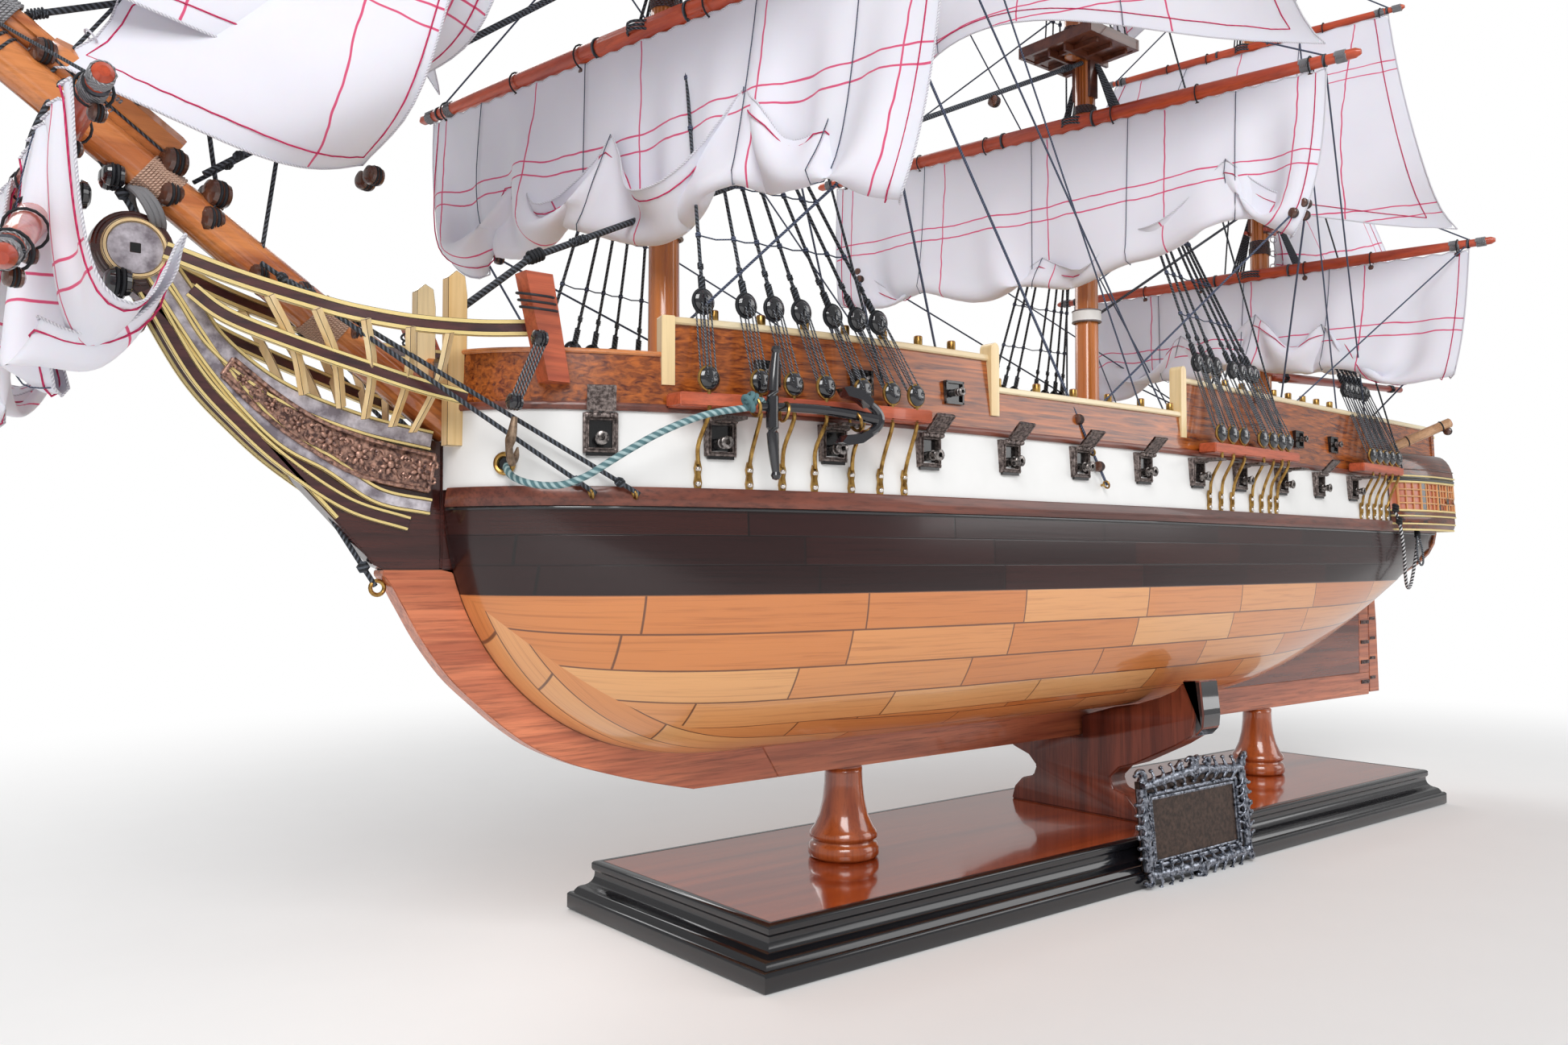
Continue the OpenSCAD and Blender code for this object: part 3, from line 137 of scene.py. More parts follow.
def half_breadth(x, z):
    """Half breadth of the hull: full below its widest height, falling in above it."""
    x, z = np.asarray(x, float), np.asarray(z, float)
    low = keel_line(x)
    fore, aft = np.clip((-250 - x) / 84, 0, 1), np.clip((x - RUN_X) / 220, 0, 1)
    wide = KEEL_Z + 81 + 38 * fore**2 + 20 * aft**2
    power = 2.5 - 0.7 * np.clip((-150 - x) / 180, 0, 1) - 1.3 * np.clip((x - 20) / 240, 0, 1)
    s = np.clip((z - low) / (wide - low), 0, 1)
    below = mix(HALF_KEEL, beam(x), (1 - (1 - s) ** 2.2) ** (1 / power))
    above = beam(x) - np.minimum(beam(x) - HALF_KEEL, 4.6 * (np.maximum(0, z - wide) / 70) ** 1.5)
    return np.where(z > wide, above, below)


def hull_point(x, z, offset=0.0):
    """Points of the starboard side, moved out along its normal."""
    x, z = np.broadcast_arrays(np.asarray(x, float), np.asarray(z, float))
    d = 0.4
    hx = (half_breadth(x + d, z) - half_breadth(x - d, z)) / (2 * d)
    hz = (half_breadth(x, z + d) - half_breadth(x, z - d)) / (2 * d)
    normal = np.stack([-hx, np.ones_like(hx), -hz], -1)
    normal /= np.linalg.norm(normal, axis=-1, keepdims=True)
    return np.stack([x, half_breadth(x, z), z], -1) + np.asarray(offset)[..., None] * normal


def on_side(x, z, offset=0.0):
    """Frame on the hull's starboard side: X along the hull, Y outward, Z up."""
    a, b = hull_point(x, z), hull_point(x, z, 1.0)
    turn = math.atan2(b[1] - a[1], b[0] - a[0]) - math.pi / 2
    return at(*a) @ Matrix.Rotation(turn, 4, "Z") @ at(0, offset, 0)


def at(x, y, z):
    """Frame moved to a point."""
    return Matrix.Translation((x, y, z))


def dome_frame(x, y, z, side):
    """Frame at a point with its Z out to one side of the ship."""
    return at(x, y, z) @ Matrix.Rotation(-side * math.pi / 2, 4, "X")


# ---------------------------------------------------------------- mesh building


class Shape:
    """Vertices, faces, UVs and material numbers gathered into one piece."""

    def __init__(self):
        self.points, self.faces, self.uvs, self.paints = [], [], [], []
        self.count = 0

    def add(self, points, faces, uvs=None, paint=0, matrix=None):
        points = np.asarray(points, float).reshape(-1, 3)
        if matrix is not None:
            m = np.array(matrix)
            points = points @ m[:3, :3].T + m[:3, 3]
        uvs = np.zeros((len(points), 2)) if uvs is None else np.asarray(uvs, float).reshape(-1, 2)
        self.points.append(points)
        self.uvs.append(uvs)
        self.faces.extend([[i + self.count for i in f] for f in faces])
        self.paints.extend([paint] * len(faces))
        self.count += len(points)

    def grid(self, points, uvs=None, paint=0, matrix=None, wrap=False):
        """Quads over an array of points, rows by columns. wrap joins the last column to the first."""
        n, m = points.shape[:2]
        i, j = np.meshgrid(np.arange(n - 1), np.arange(m if wrap else m - 1), indexing="ij")
        a, b = i * m + j, i * m + (j + 1) % m
        faces = np.stack([a, b, b + m, a + m], -1).reshape(-1, 4).tolist()
        self.add(points, faces, uvs, paint, matrix)

    def both_sides(self):
        """Adds the mirror image of everything so far, on the other side of the ship."""
        flip = np.array([1, -1, 1])
        faces, paints = [f[::-1] for f in self.faces], list(self.paints)
        points, uvs = np.concatenate(self.points) * flip, np.concatenate(self.uvs)
        self.add(points, faces, uvs)
        self.paints[-len(faces):] = paints

    def lathe(self, profile, sides=24, paint=0, matrix=None):
        """Turned shape round Z from [radius, height] points."""
        angle = np.linspace(0, 2 * math.pi, sides, endpoint=False)
        r, z = np.array(profile, float).T
        ring = np.stack(
            [np.outer(r, np.cos(angle)), np.outer(r, np.sin(angle)), np.outer(z, np.ones(sides))], -1
        )
        uvs = np.stack(np.broadcast_arrays(z[:, None] * MM, angle[None] / (2 * math.pi)), -1)
        self.grid(ring, uvs, paint, matrix, wrap=True)

    def tube(self, path, radius, sides=8, paint=0, matrix=None, flat=1.0, start=0.0):
        """Bar along a path. radius is a number or one for each point, and flat squeezes it sideways."""
        path = np.array(path, float)
        heading = np.gradient(path, axis=0)
        heading /= np.maximum(np.linalg.norm(heading, axis=1, keepdims=True), 1e-9)
        side = np.cross(heading, UP)
        weak = np.linalg.norm(side, axis=1) < 0.05
        side[weak] = [1, 0, 0]
        side /= np.linalg.norm(side, axis=1, keepdims=True)
        up = np.cross(side, heading)
        radius = np.broadcast_to(np.asarray(radius, float), len(path))[:, None, None]
        angle = np.linspace(0, 2 * math.pi, sides + 1)[None, :, None]
        rings = path[:, None] + radius * (np.cos(angle) * side[:, None] * flat + np.sin(angle) * up[:, None])
        run = np.concatenate([[0], np.cumsum(np.linalg.norm(np.diff(path, axis=0), axis=1))]) * MM + start
        uvs = np.stack(np.broadcast_arrays(run[:, None], np.linspace(0, 1, sides + 1)[None]), -1)
        self.grid(rings, uvs, paint, matrix)
        for end in (0, len(path) - 1):
            ring = rings[end, :-1]
            order = list(range(sides)) if end else list(range(sides))[::-1]
            self.add(ring, [order], np.full((sides, 2), run[end]), paint, matrix)

    def box(self, low, high, paint=0, matrix=None):
        corners = [(x, y, z) for x in (low[0], high[0]) for y in (low[1], high[1]) for z in (low[2], high[2])]
        faces = [(0, 1, 3, 2), (4, 6, 7, 5), (0, 4, 5, 1), (2, 3, 7, 6), (0, 2, 6, 4), (1, 5, 7, 3)]
        self.add(corners, faces, [(c[0] * MM, (c[1] + c[2]) * MM) for c in corners], paint, matrix)

    def plate(self, outline, low, high, paint=0, matrix=None, axis=1):
        """Outline in the other two axes, as thick as low to high along one axis."""
        n = len(outline)
        layers = [[list(p[:axis]) + [t] + list(p[axis:]) for p in outline] for t in (low, high)]
        faces = [list(range(n))[::-1], list(range(n, 2 * n))]
        faces += [[k, (k + 1) % n, n + (k + 1) % n, n + k] for k in range(n)]
        self.add(layers[0] + layers[1], faces, [(p[0] * MM, p[1] * MM) for p in outline] * 2, paint, matrix)

    def ring(self, centre, radius, wire, axis, paint=0, sides=20, matrix=None):
        """Round wire bent to a closed ring about an axis."""
        turn = Vector((0, 0, 1)).rotation_difference(Vector(axis)).to_matrix().to_4x4()
        place = at(*centre) @ turn
        a = np.linspace(0, 2 * math.pi, sides, endpoint=False)[:, None]
        b = np.linspace(0, 2 * math.pi, 8, endpoint=False)[None]
        out = radius + wire * np.cos(b)
        points = np.stack([out * np.cos(a), out * np.sin(a), wire * np.sin(b) + 0 * a], -1)
        points = np.concatenate([points, points[:1]])
        self.grid(points, None, paint, place if matrix is None else matrix @ place, wrap=True)

    def piece(self, name, materials, nodes=(), slot=None, body="ship", bevel=0.0, sharp=35):
        """Makes the object, lets it ride on its body and stand for CAD nodes."""
        mesh = bpy.data.meshes.new(name)
        points = np.concatenate(self.points) * MM
        mesh.from_pydata(points.tolist(), [], self.faces)
        mesh.polygons.foreach_set("material_index", self.paints)
        corners = np.zeros(len(mesh.loops), int)
        mesh.loops.foreach_get("vertex_index", corners)
        layer = mesh.uv_layers.new(name="UVMap")
        layer.data.foreach_set("uv", np.concatenate(self.uvs)[corners].ravel())
        return finish_mesh(name, mesh, materials, nodes, body, bevel, sharp)


def finish_mesh(name, mesh, materials, nodes, body, bevel, sharp):
    """Welds and bevels a mesh, shades it smooth up to a sharp angle, lets it ride on its body and hides the
    CAD nodes it stands for.
    """
    bm = bmesh.new()
    bm.from_mesh(mesh)
    bmesh.ops.remove_doubles(bm, verts=bm.verts, dist=2e-6)
    bmesh.ops.recalc_face_normals(bm, faces=bm.faces)
    if bevel:
        edges = [e for e in bm.edges if len(e.link_faces) == 2 and e.calc_face_angle() > math.radians(28)]
        bmesh.ops.bevel(bm, geom=edges, offset=bevel * MM, segments=2, affect="EDGES", clamp_overlap=True)
    bm.to_mesh(mesh)
    bm.free()
    mesh.set_sharp_from_angle(angle=math.radians(sharp))
    mesh.polygons.foreach_set("use_smooth", [True] * len(mesh.polygons))
    obj = bpy.data.objects.new(name, mesh)
    bpy.context.collection.objects.link(obj)
    for material in materials if isinstance(materials, (list, tuple)) else [materials]:
        mesh.materials.append(material)
    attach(obj, body)
    if nodes:
        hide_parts(*nodes)
    return obj


def islands(mesh):
    """Groups of faces that hang together, as lists of face numbers."""
    bm = bmesh.new()
    bm.from_mesh(mesh)
    seen, groups = set(), []
    for face in bm.faces:
        if face.index in seen:
            continue
        group, stack = [], [face]
        seen.add(face.index)
        while stack:
            f = stack.pop()
            group.append(f.index)
            for near in (n for e in f.edges for n in e.link_faces if n.index not in seen):
                seen.add(near.index)
                stack.append(near)
        groups.append(group)
    bm.free()
    return groups


def softened(node, name, materials, bevel=0.35, paint=None, body="ship"):
    """A CAD node's own shape with softened edges. paint(low, high) gives a solid's material from its box."""
    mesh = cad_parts[node].data.copy()
    mesh.materials.clear()
    bm = bmesh.new()
    bm.from_mesh(mesh)
    bmesh.ops.remove_doubles(bm, verts=bm.verts, dist=2e-6)
    bmesh.ops.dissolve_limit(bm, angle_limit=math.radians(1), verts=bm.verts, edges=bm.edges)
    bm.to_mesh(mesh)
    bm.free()
    if paint:
        co = np.array([v.co for v in mesh.vertices]) / MM
        for group in islands(mesh):
            used = co[[i for f in group for i in mesh.polygons[f].vertices]]
            for f in group:
                mesh.polygons[f].material_index = paint(used.min(0), used.max(0))
    return finish_mesh(name, mesh, materials, [node], body, bevel, 35)


# ---------------------------------------------------------------- materials


class Graph:
    """Node tree of one material, with short calls for the nodes used here."""

    def __init__(self, name, roughness=0.4, coat=0.0, metallic=0.0):
        self.material = bpy.data.materials.new(name)
        self.material.use_nodes = True
        self.tree = self.material.node_tree
        self.shader = self.tree.nodes["Principled BSDF"]
        self.shader.inputs["Roughness"].default_value = roughness
        self.shader.inputs["Coat Weight"].default_value = coat
        self.shader.inputs["Coat Roughness"].default_value = 0.06
        self.shader.inputs["Metallic"].default_value = metallic

    def node(self, kind, feeds=(), **settings):
        node = self.tree.nodes.new("ShaderNode" + kind)
        for key, value in settings.items():
            setattr(node, key, value)
        for socket, value in dict(feeds).items():
            self.feed(node.inputs[socket], value)
        return node

    def feed(self, socket, value):
        if isinstance(value, bpy.types.NodeSocket):
            self.tree.links.new(value, socket)
        else:
            socket.default_value = value

    def math(self, operation, a, b=0.0):
        return self.node("Math", {0: a, 1: b}, operation=operation).outputs[0]

    def place(self, source="Object", scale=(1, 1, 1), rotation=(0, 0, 0)):
        out = self.node("TexCoord").outputs[source]
        return self.node("Mapping", {"Vector": out, "Scale": scale, "Rotation": rotation}).outputs[0]

    def noise(self, vector, scale=1.0, detail=4.0, roughness=0.55, distortion=0.0):
        feeds = {"Vector": vector, "Scale": scale, "Detail": detail, "Roughness": roughness}
        return self.node("TexNoise", {**feeds, "Distortion": distortion}).outputs["Fac"]

    def ramp(self, factor, stops):
        node = self.node("ValToRGB", {"Fac": factor})
        for _ in stops[2:]:
            node.color_ramp.elements.new(0.5)
        for element, (at, colour) in zip(node.color_ramp.elements, stops):
            element.position = at
            element.color = (*colour, 1)
        return node.outputs[0]

    def blend(self, factor, a, b, kind="MIX"):
        colours = [c if isinstance(c, bpy.types.NodeSocket) else (*c, 1) for c in (a, b)]
        node = self.node("Mix", {0: factor, 6: colours[0], 7: colours[1]}, data_type="RGBA", blend_type=kind)
        return node.outputs[2]

    def uv(self):
        """U and V as two numbers."""
        return self.node("SeparateXYZ", {0: self.node("TexCoord").outputs["UV"]}).outputs[:2]

    def step(self, value, low, high):
        """0 below low, 1 above high."""
        return self.node("MapRange", {0: value, 1: low, 2: high}, interpolation_type="SMOOTHSTEP").outputs[0]

    def done(self, colour, bump=None, strength=0.2, distance=0.0003, roughness=None):
        self.feed(self.shader.inputs["Base Color"], colour)
        if bump is not None:
            node = self.node("Bump", {"Height": bump, "Strength": strength, "Distance": distance})
            self.feed(self.shader.inputs["Normal"], node.outputs[0])
        if roughness is not None:
            self.feed(self.shader.inputs["Roughness"], roughness)
        return self.material


ALONG = {"X": (12, 260, 260), "Y": (260, 12, 260), "Z": (260, 260, 12)}


def wood(name, light, dark, along="X", roughness=0.35, coat=0.5, figure=1.0, pores=0.5, turn=(0, 0, 0)):
    """Varnished wood: broad figure, fine grain lines and pores running one way."""
    g = Graph(name, roughness, coat)
    vector = g.place(scale=ALONG[along], rotation=turn)
    broad = g.noise(vector, 0.35 * figure, 3, 0.5, 1.2)
    fine = g.noise(vector, 3.2, 5, 0.65)
    grain = g.step(fine, 0.42, 0.75)
    colour = g.ramp(
        broad, [(0.3, dark), (0.5, tuple(mix(a, b, 0.6) for a, b in zip(dark, light))), (0.68, light)]
    )
    lines = g.math("MULTIPLY", grain, pores)
    colour = g.blend(lines, colour, tuple(0.45 * c for c in dark))
    rough = g.math("ADD", g.math("MULTIPLY", fine, 0.14), roughness - 0.07)
    return g.done(colour, fine, 0.12, 0.0002, rough)


def planks(
    name, tones, seam, length, roughness=0.3, coat=0.7, seam_width=0.035, cross=None, depth=1.0, streak=0.35
):
    """Planked wood. U runs along the planks in metres and V counts strakes; cross gives a strake's width
    in metres where the piece has no UVs and lies flat."""
    g = Graph(name, roughness, coat)
    if cross:
        split = g.node("SeparateXYZ", {0: g.place()})
        u, v = split.outputs[0], g.math("DIVIDE", split.outputs[1], cross)
    else:
        u, v = g.uv()
    row = g.math("FLOOR", v)
    shift = g.node("TexWhiteNoise", {"W": row}, noise_dimensions="1D").outputs["Value"]
    run = g.math("ADD", g.math("DIVIDE", u, length), g.math("ADD", g.math("MULTIPLY", row, 0.5), shift))
    plank = g.math("FLOOR", run)
    tag = g.node("CombineXYZ", {0: row, 1: plank, 2: 0.37}).outputs[0]
    chance = g.node("TexWhiteNoise", {"Vector": tag}, noise_dimensions="3D")
    stops = [(k / max(1, len(tones) - 1), tone) for k, tone in enumerate(tones)]
    colour = g.ramp(chance.outputs["Value"], stops)

    def edge(value, width):
        part = g.math("FRACT", value)
        near = g.math("MINIMUM", part, g.math("SUBTRACT", 1.0, part))
        return g.math("SUBTRACT", 1.0, g.step(near, width * 0.35, width))

    wander = g.math("MULTIPLY", g.noise(g.node("CombineXYZ", {0: u, 1: v}).outputs[0], 60, 2), 0.02)
    seams = g.math(
        "MAXIMUM", edge(g.math("ADD", v, g.math("SUBTRACT", wander, 0.01)), seam_width), edge(run, 0.006)
    )
    stretch = g.node(
        "CombineXYZ",
        {0: g.math("MULTIPLY", u, 9.0), 1: g.math("MULTIPLY", v, 4.5), 2: chance.outputs["Value"]}
    )
    grain = g.noise(stretch.outputs[0], 2.6, 5, 0.6, 0.6)
    lines = g.math("MULTIPLY", g.step(grain, 0.45, 0.78), streak)
    colour = g.blend(lines, colour, tuple(0.5 * c for c in tones[0]), "MULTIPLY")
    colour = g.blend(g.math("MULTIPLY", seams, 0.85), colour, seam)
    height = g.math("SUBTRACT", g.math("MULTIPLY", grain, 0.12), g.math("MULTIPLY", seams, depth))
    return g.done(colour, height, 0.35, 0.0003)


def gloss(name, colour, roughness=0.12, coat=1.0):
    """Thick lacquer with a faint orange peel and specks of dust."""
    g = Graph(name, roughness, coat)
    peel = g.noise(g.place(), 700, 2)
    dust = g.step(g.noise(g.place(), 1900, 2), 0.74, 0.8)
    tint = g.blend(g.math("MULTIPLY", dust, 0.35), colour, (0.3, 0.3, 0.32))
    return g.done(tint, peel, 0.05, 0.0001)


def cast(name, low, high, roughness=0.38, metallic=0.9, scale=420):
    """Antiqued casting or metal: dark in its hollows, rubbed bright on top."""
    g = Graph(name, roughness, 0.0, metallic)
    worn = g.noise(g.place(), scale, 4, 0.6)
    colour = g.ramp(worn, [(0.38, low), (0.66, high)])
    return g.done(colour, worn, 0.25, 0.0002, g.math("ADD", g.math("MULTIPLY", worn, 0.25), roughness - 0.12))


def paint(name, colour, roughness=0.45):
    """Satin paint with slight mottling."""
    g = Graph(name, roughness, 0.15)
    cloudy = g.noise(g.place(), 90, 3)
    shade = g.blend(cloudy, tuple(0.93 * c for c in colour), colour)
    return g.done(shade, g.noise(g.place(scale=(60, 500, 500)), 1.0, 3), 0.05, 0.0001)


def rope(name, base, strand, pitch=0.0016, roughness=0.75):
    """Laid thread: U is metres along it, V goes once round."""
    g = Graph(name, roughness)
    u, v = g.uv()
    turn = g.math("FRACT", g.math("ADD", g.math("DIVIDE", u, pitch), g.math("MULTIPLY", v, 2.0)))
    ridge = g.math("SINE", g.math("MULTIPLY", turn, math.pi))
    fuzz = g.noise(g.place(), 2600, 2)
    factor = g.math("MULTIPLY", g.step(ridge, 0.55, 0.98), g.math("ADD", fuzz, 0.35))
    return g.done(g.blend(factor, base, strand), ridge, 0.8, 0.0003)


def sailcloth():
    """Thin white cotton with stitched lines. U and V are metres across and down the cut sail."""
    g = Graph("sail_cloth", 0.85)
    u, v = g.uv()
    wobble = g.math("MULTIPLY", g.math("SUBTRACT", g.noise(g.place("UV"), 55, 2), 0.5), 0.003)

    def stitch(value, spacing, phase, width=0.00042):
        part = g.math("FRACT", g.math("ADD", g.math("DIVIDE", g.math("ADD", value, wobble), spacing), phase))
        near = g.math("MULTIPLY", g.math("ABSOLUTE", g.math("SUBTRACT", part, 0.5)), spacing)
        return g.math("SUBTRACT", 1.0, g.step(near, width * 0.6, width))

    lines = g.math(
        "MAXIMUM", stitch(u, 0.0625, 0.284),
        g.math("MAXIMUM", stitch(v, 0.08, 0.10), stitch(v, 0.08, 0.025))
    )
    weave = g.noise(g.place("UV", scale=(2400, 2400, 1)), 1.0, 2)
    cotton = g.blend(g.noise(g.place("UV"), 30, 2), (0.74, 0.73, 0.81), (0.82, 0.81, 0.87))
    g.shader.inputs["Subsurface Weight"].default_value = 0.12
    g.shader.inputs["Subsurface Scale"].default_value = 0.01
    g.shader.inputs["Sheen Weight"].default_value = 0.15
    return g.done(g.blend(g.math("MULTIPLY", lines, 0.92), cotton, (0.66, 0.02, 0.13)), weave, 0.12, 0.0001)


HONEY = [(0.58, 0.19, 0.05), (0.66, 0.24, 0.07), (0.70, 0.28, 0.09), (0.74, 0.33, 0.12), (0.80, 0.42, 0.17)]
LACQUER = gloss("black_lacquer", (0.006, 0.006, 0.008), 0.16, 0.4)
BLACK_GLOSS = gloss("black_gloss", (0.012, 0.012, 0.015), 0.1)
MAHOGANY = wood("mahogany", (0.46, 0.085, 0.018), (0.2, 0.025, 0.006), "X", 0.15, 1.0, 0.6, 0.35)
MAHOGANY_TURNED = wood("mahogany_turned", (0.5, 0.12, 0.03), (0.22, 0.035, 0.01), "Z", 0.2, 0.9, 0.8, 0.4)
ROSEWOOD = wood("rosewood", (0.24, 0.055, 0.028), (0.1, 0.02, 0.012), "Z", 0.4, 0.3, 1.0, 0.7)
KEEL_WOOD = wood("keel_wood", (0.68, 0.22, 0.1), (0.34, 0.085, 0.04), "X", 0.35, 0.4, 1.4, 0.7)
STEM_WOOD = wood(
    "stem_wood", (0.78, 0.26, 0.12), (0.42, 0.1, 0.045), "X", 0.35, 0.4, 1.6, 0.75, (0, math.radians(38), 0)
)
DEADWOOD = wood(
    "deadwood", (0.26, 0.055, 0.02), (0.1, 0.018, 0.008), "X", 0.25, 0.7, 1.0, 0.6, (0, math.radians(28), 0)
)
KNEE_WOOD = wood(
    "knee_wood", (0.075, 0.018, 0.014), (0.02, 0.006, 0.006), "X", 0.2, 0.9, 1.2, 0.6,
    (0, math.radians(40), 0)
)
BOTTOM_PLANKS = planks("honey_planks", HONEY, (0.09, 0.03, 0.015), 0.08)
TOPSIDE_PLANKS = planks(
    "maroon_planks", [(0.016, 0.004, 0.004), (0.026, 0.006, 0.006), (0.038, 0.009, 0.007)],
    (0.004, 0.002, 0.002), 0.088, 0.2, 0.18, 0.03, depth=0.35, streak=0.5
)
WALE_WOOD = wood("wale_wood", (0.21, 0.055, 0.03), (0.09, 0.02, 0.012), "X", 0.4, 0.35, 1.0, 0.8)
WHITE_PAINT = paint("white_paint", (0.86, 0.86, 0.85))
TIGER_WOOD = wood("tiger_wood", (0.5, 0.13, 0.02), (0.1, 0.016, 0.005), "X", 0.25, 0.45, 6.5, 0.6)
TRIM_BLACK = gloss("trim_black", (0.01, 0.01, 0.012), 0.25, 0.6)
PALE_WOOD = wood("pale_wood", (0.88, 0.76, 0.52), (0.76, 0.58, 0.33), "X", 0.4, 0.4, 1.0, 0.15)
POST_WOOD = wood("post_wood", (0.9, 0.72, 0.42), (0.74, 0.48, 0.2), "Z", 0.4, 0.4, 1.0, 0.2)
DECK_PLANKS = planks(
    "deck_planks", [(0.55, 0.36, 0.18), (0.66, 0.46, 0.25), (0.72, 0.52, 0.3)], (0.07, 0.05, 0.03),
    0.07, 0.45, 0.2, 0.06, cross=0.0045
)
MAST_WOOD = wood("mast_wood", (0.72, 0.25, 0.06), (0.36, 0.085, 0.018), "Z", 0.22, 0.8, 0.9, 0.35)
SPAR_WOOD = wood(
    "spar_wood", (0.74, 0.27, 0.08), (0.42, 0.11, 0.03), "X", 0.25, 0.7, 0.9, 0.35,
    (0, math.radians(-35), 0)
)
YARD_WOOD = wood("yard_wood", (0.64, 0.09, 0.024), (0.38, 0.04, 0.014), "Y", 0.35, 0.5, 1.0, 0.4)
BOOM_WOOD = wood("boom_wood", (0.5, 0.07, 0.025), (0.28, 0.03, 0.014), "X", 0.35, 0.5, 1.0, 0.4)
CHANNEL_WOOD = wood("channel_wood", (0.62, 0.13, 0.05), (0.36, 0.06, 0.025), "X", 0.4, 0.3, 1.6, 0.5)
TOP_WOOD = wood("top_wood", (0.16, 0.045, 0.02), (0.06, 0.016, 0.01), "X", 0.35, 0.5, 1.0, 0.5)
BURL = wood("gallery_burl", (0.2, 0.045, 0.014), (0.018, 0.006, 0.005), "X", 0.2, 0.35, 6.0, 0.4)
MUNTIN_WOOD = wood("muntin_wood", (0.72, 0.36, 0.13), (0.55, 0.22, 0.07), "X", 0.4, 0.3, 1.0, 0.2)
BOOMKIN_WOOD = wood("boomkin_wood", (0.62, 0.36, 0.19), (0.42, 0.21, 0.1), "X", 0.4, 0.3, 1.5, 0.4)
YELLOW = paint("rail_yellow", (0.8, 0.63, 0.26), 0.35)
RAIL_DARK = wood("rail_dark", (0.1, 0.03, 0.03), (0.035, 0.012, 0.014), "X", 0.3, 0.6, 2.0, 0.5)
SILVER_BAND = cast("silver_band", (0.22, 0.19, 0.22), (0.74, 0.7, 0.76), 0.4, 0.3, 160)
ORANGE_PANE = gloss("orange_pane", (0.5, 0.14, 0.07), 0.3, 0.3)
COPPER = cast("carved_copper", (0.10, 0.055, 0.05), (0.62, 0.36, 0.27), 0.4, 0.55, 700)
PEWTER = cast("dark_pewter", (0.06, 0.045, 0.042), (0.34, 0.28, 0.26), 0.36, 0.75, 900)
PLATE_METAL = cast("plate_metal", (0.03, 0.035, 0.05), (0.42, 0.45, 0.52), 0.3, 0.9, 600)
PLATE_FIELD = cast("plate_field", (0.03, 0.018, 0.014), (0.09, 0.055, 0.04), 0.4, 0.5, 500)
BRASS = cast("brass", (0.28, 0.15, 0.04), (0.55, 0.34, 0.1), 0.3, 0.95, 350)
NAIL = cast("nail_heads", (0.55, 0.5, 0.45), (0.85, 0.82, 0.8), 0.25, 0.9, 500)
RUDDER_IRON = cast("rudder_iron", (0.06, 0.045, 0.045), (0.22, 0.16, 0.15), 0.4, 0.8, 500)
BLACK_IRON = gloss("black_iron", (0.012, 0.012, 0.016), 0.16, 0.9)
# Near-black gloss. It is real black paint on the upper ports' frames and is also used for the gun ports'
# sills. As the plates across the port openings, the disc in the hawse hole and the squares on the capstan's
# drumhead, it is painted shade standing for the dark inside of holes.
BLACK_AND_HOLE_SHADE = gloss("black_and_painted_hole_shade", (0.004, 0.004, 0.005), 0.15, 0.6)
WOOLDING = paint("woolding", (0.85, 0.84, 0.82), 0.6)
BLOCK_WOOD = wood("block_wood", (0.13, 0.05, 0.03), (0.05, 0.02, 0.014), "Z", 0.25, 0.8, 2.0, 0.4)
FITTING_WOOD = wood("fitting_wood", (0.45, 0.19, 0.07), (0.24, 0.08, 0.03), "X", 0.35, 0.5, 1.2, 0.4)
DARK_ROPE = rope("dark_rope", (0.012, 0.014, 0.018), (0.1, 0.115, 0.14))
LANYARD = rope("lanyard", (0.014, 0.016, 0.022), (0.26, 0.28, 0.31), 0.0013)
THREAD = rope("thread", (0.03, 0.04, 0.08), (0.13, 0.16, 0.24), 0.001)
PALE_THREAD = rope("pale_thread", (0.42, 0.25, 0.18), (0.72, 0.5, 0.38), 0.001)
GREY_THREAD = rope("grey_thread", (0.2, 0.2, 0.21), (0.4, 0.4, 0.42), 0.001)
WHITE_THREAD = rope("white_thread", (0.6, 0.59, 0.65), (0.82, 0.81, 0.86), 0.001)
RED_THREAD = rope("red_thread", (0.5, 0.015, 0.09), (0.72, 0.03, 0.15), 0.003)
CABLE_ROPE = rope("cable_rope", (0.09, 0.19, 0.21), (0.42, 0.56, 0.57), 0.0026)
PALE_ROPE = rope("pale_rope", (0.012, 0.013, 0.016), (0.9, 0.9, 0.92), 0.0022)
SAILCLOTH = sailcloth()


# ---------------------------------------------------------------- stand


def base_board():
    """Moulded board: upright edge, bead, cove and nosing, mitred at the corners."""
    cove = [(3.6 + 4.4 * math.sin(t), 14.6 - 5 * math.cos(t)) for t in np.linspace(0.15, math.pi / 2, 7)]
    profile = [
        (90, 0), (0.8, 0), (0, 0.8), (0, 6.2), (0.7, 7), (1.9, 7), (2.2, 7.8), (2.9, 8.8), (3.3, 9.2),
        *cove, (8, 15.4), (7.4, 15.9), (7.1, 16.6), (7.1, 18.6), (7.6, 19.2), (8.4, 19.5), (10.4, 19.5),
        (10.4, 17)
    ]
    low, high = (np.array(v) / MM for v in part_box("base_board"))
    rows = []
    for i, z in profile:
        j = min(i, 64)
        x0, x1, y0, y1 = low[0] + i, high[0] - i, low[1] + j, high[1] - j
        rows.append([(x0, y0, z), (x1, y0, z), (x1, y1, z), (x0, y1, z)])
    shape = Shape()
    shape.grid(np.array(rows), wrap=True)
    shape.piece("base_moulding", LACQUER, ["base_board"], "black_lacquer", sharp=50)
    panel = Shape()
    panel.box((low[0] + 10.5, low[1] + 10.5, 17.2), (high[0] - 10.5, high[1] - 10.5, 19.45))
    panel.piece("base_top", MAHOGANY, ["base_panel"], "mahogany_gloss", bevel=0.2)


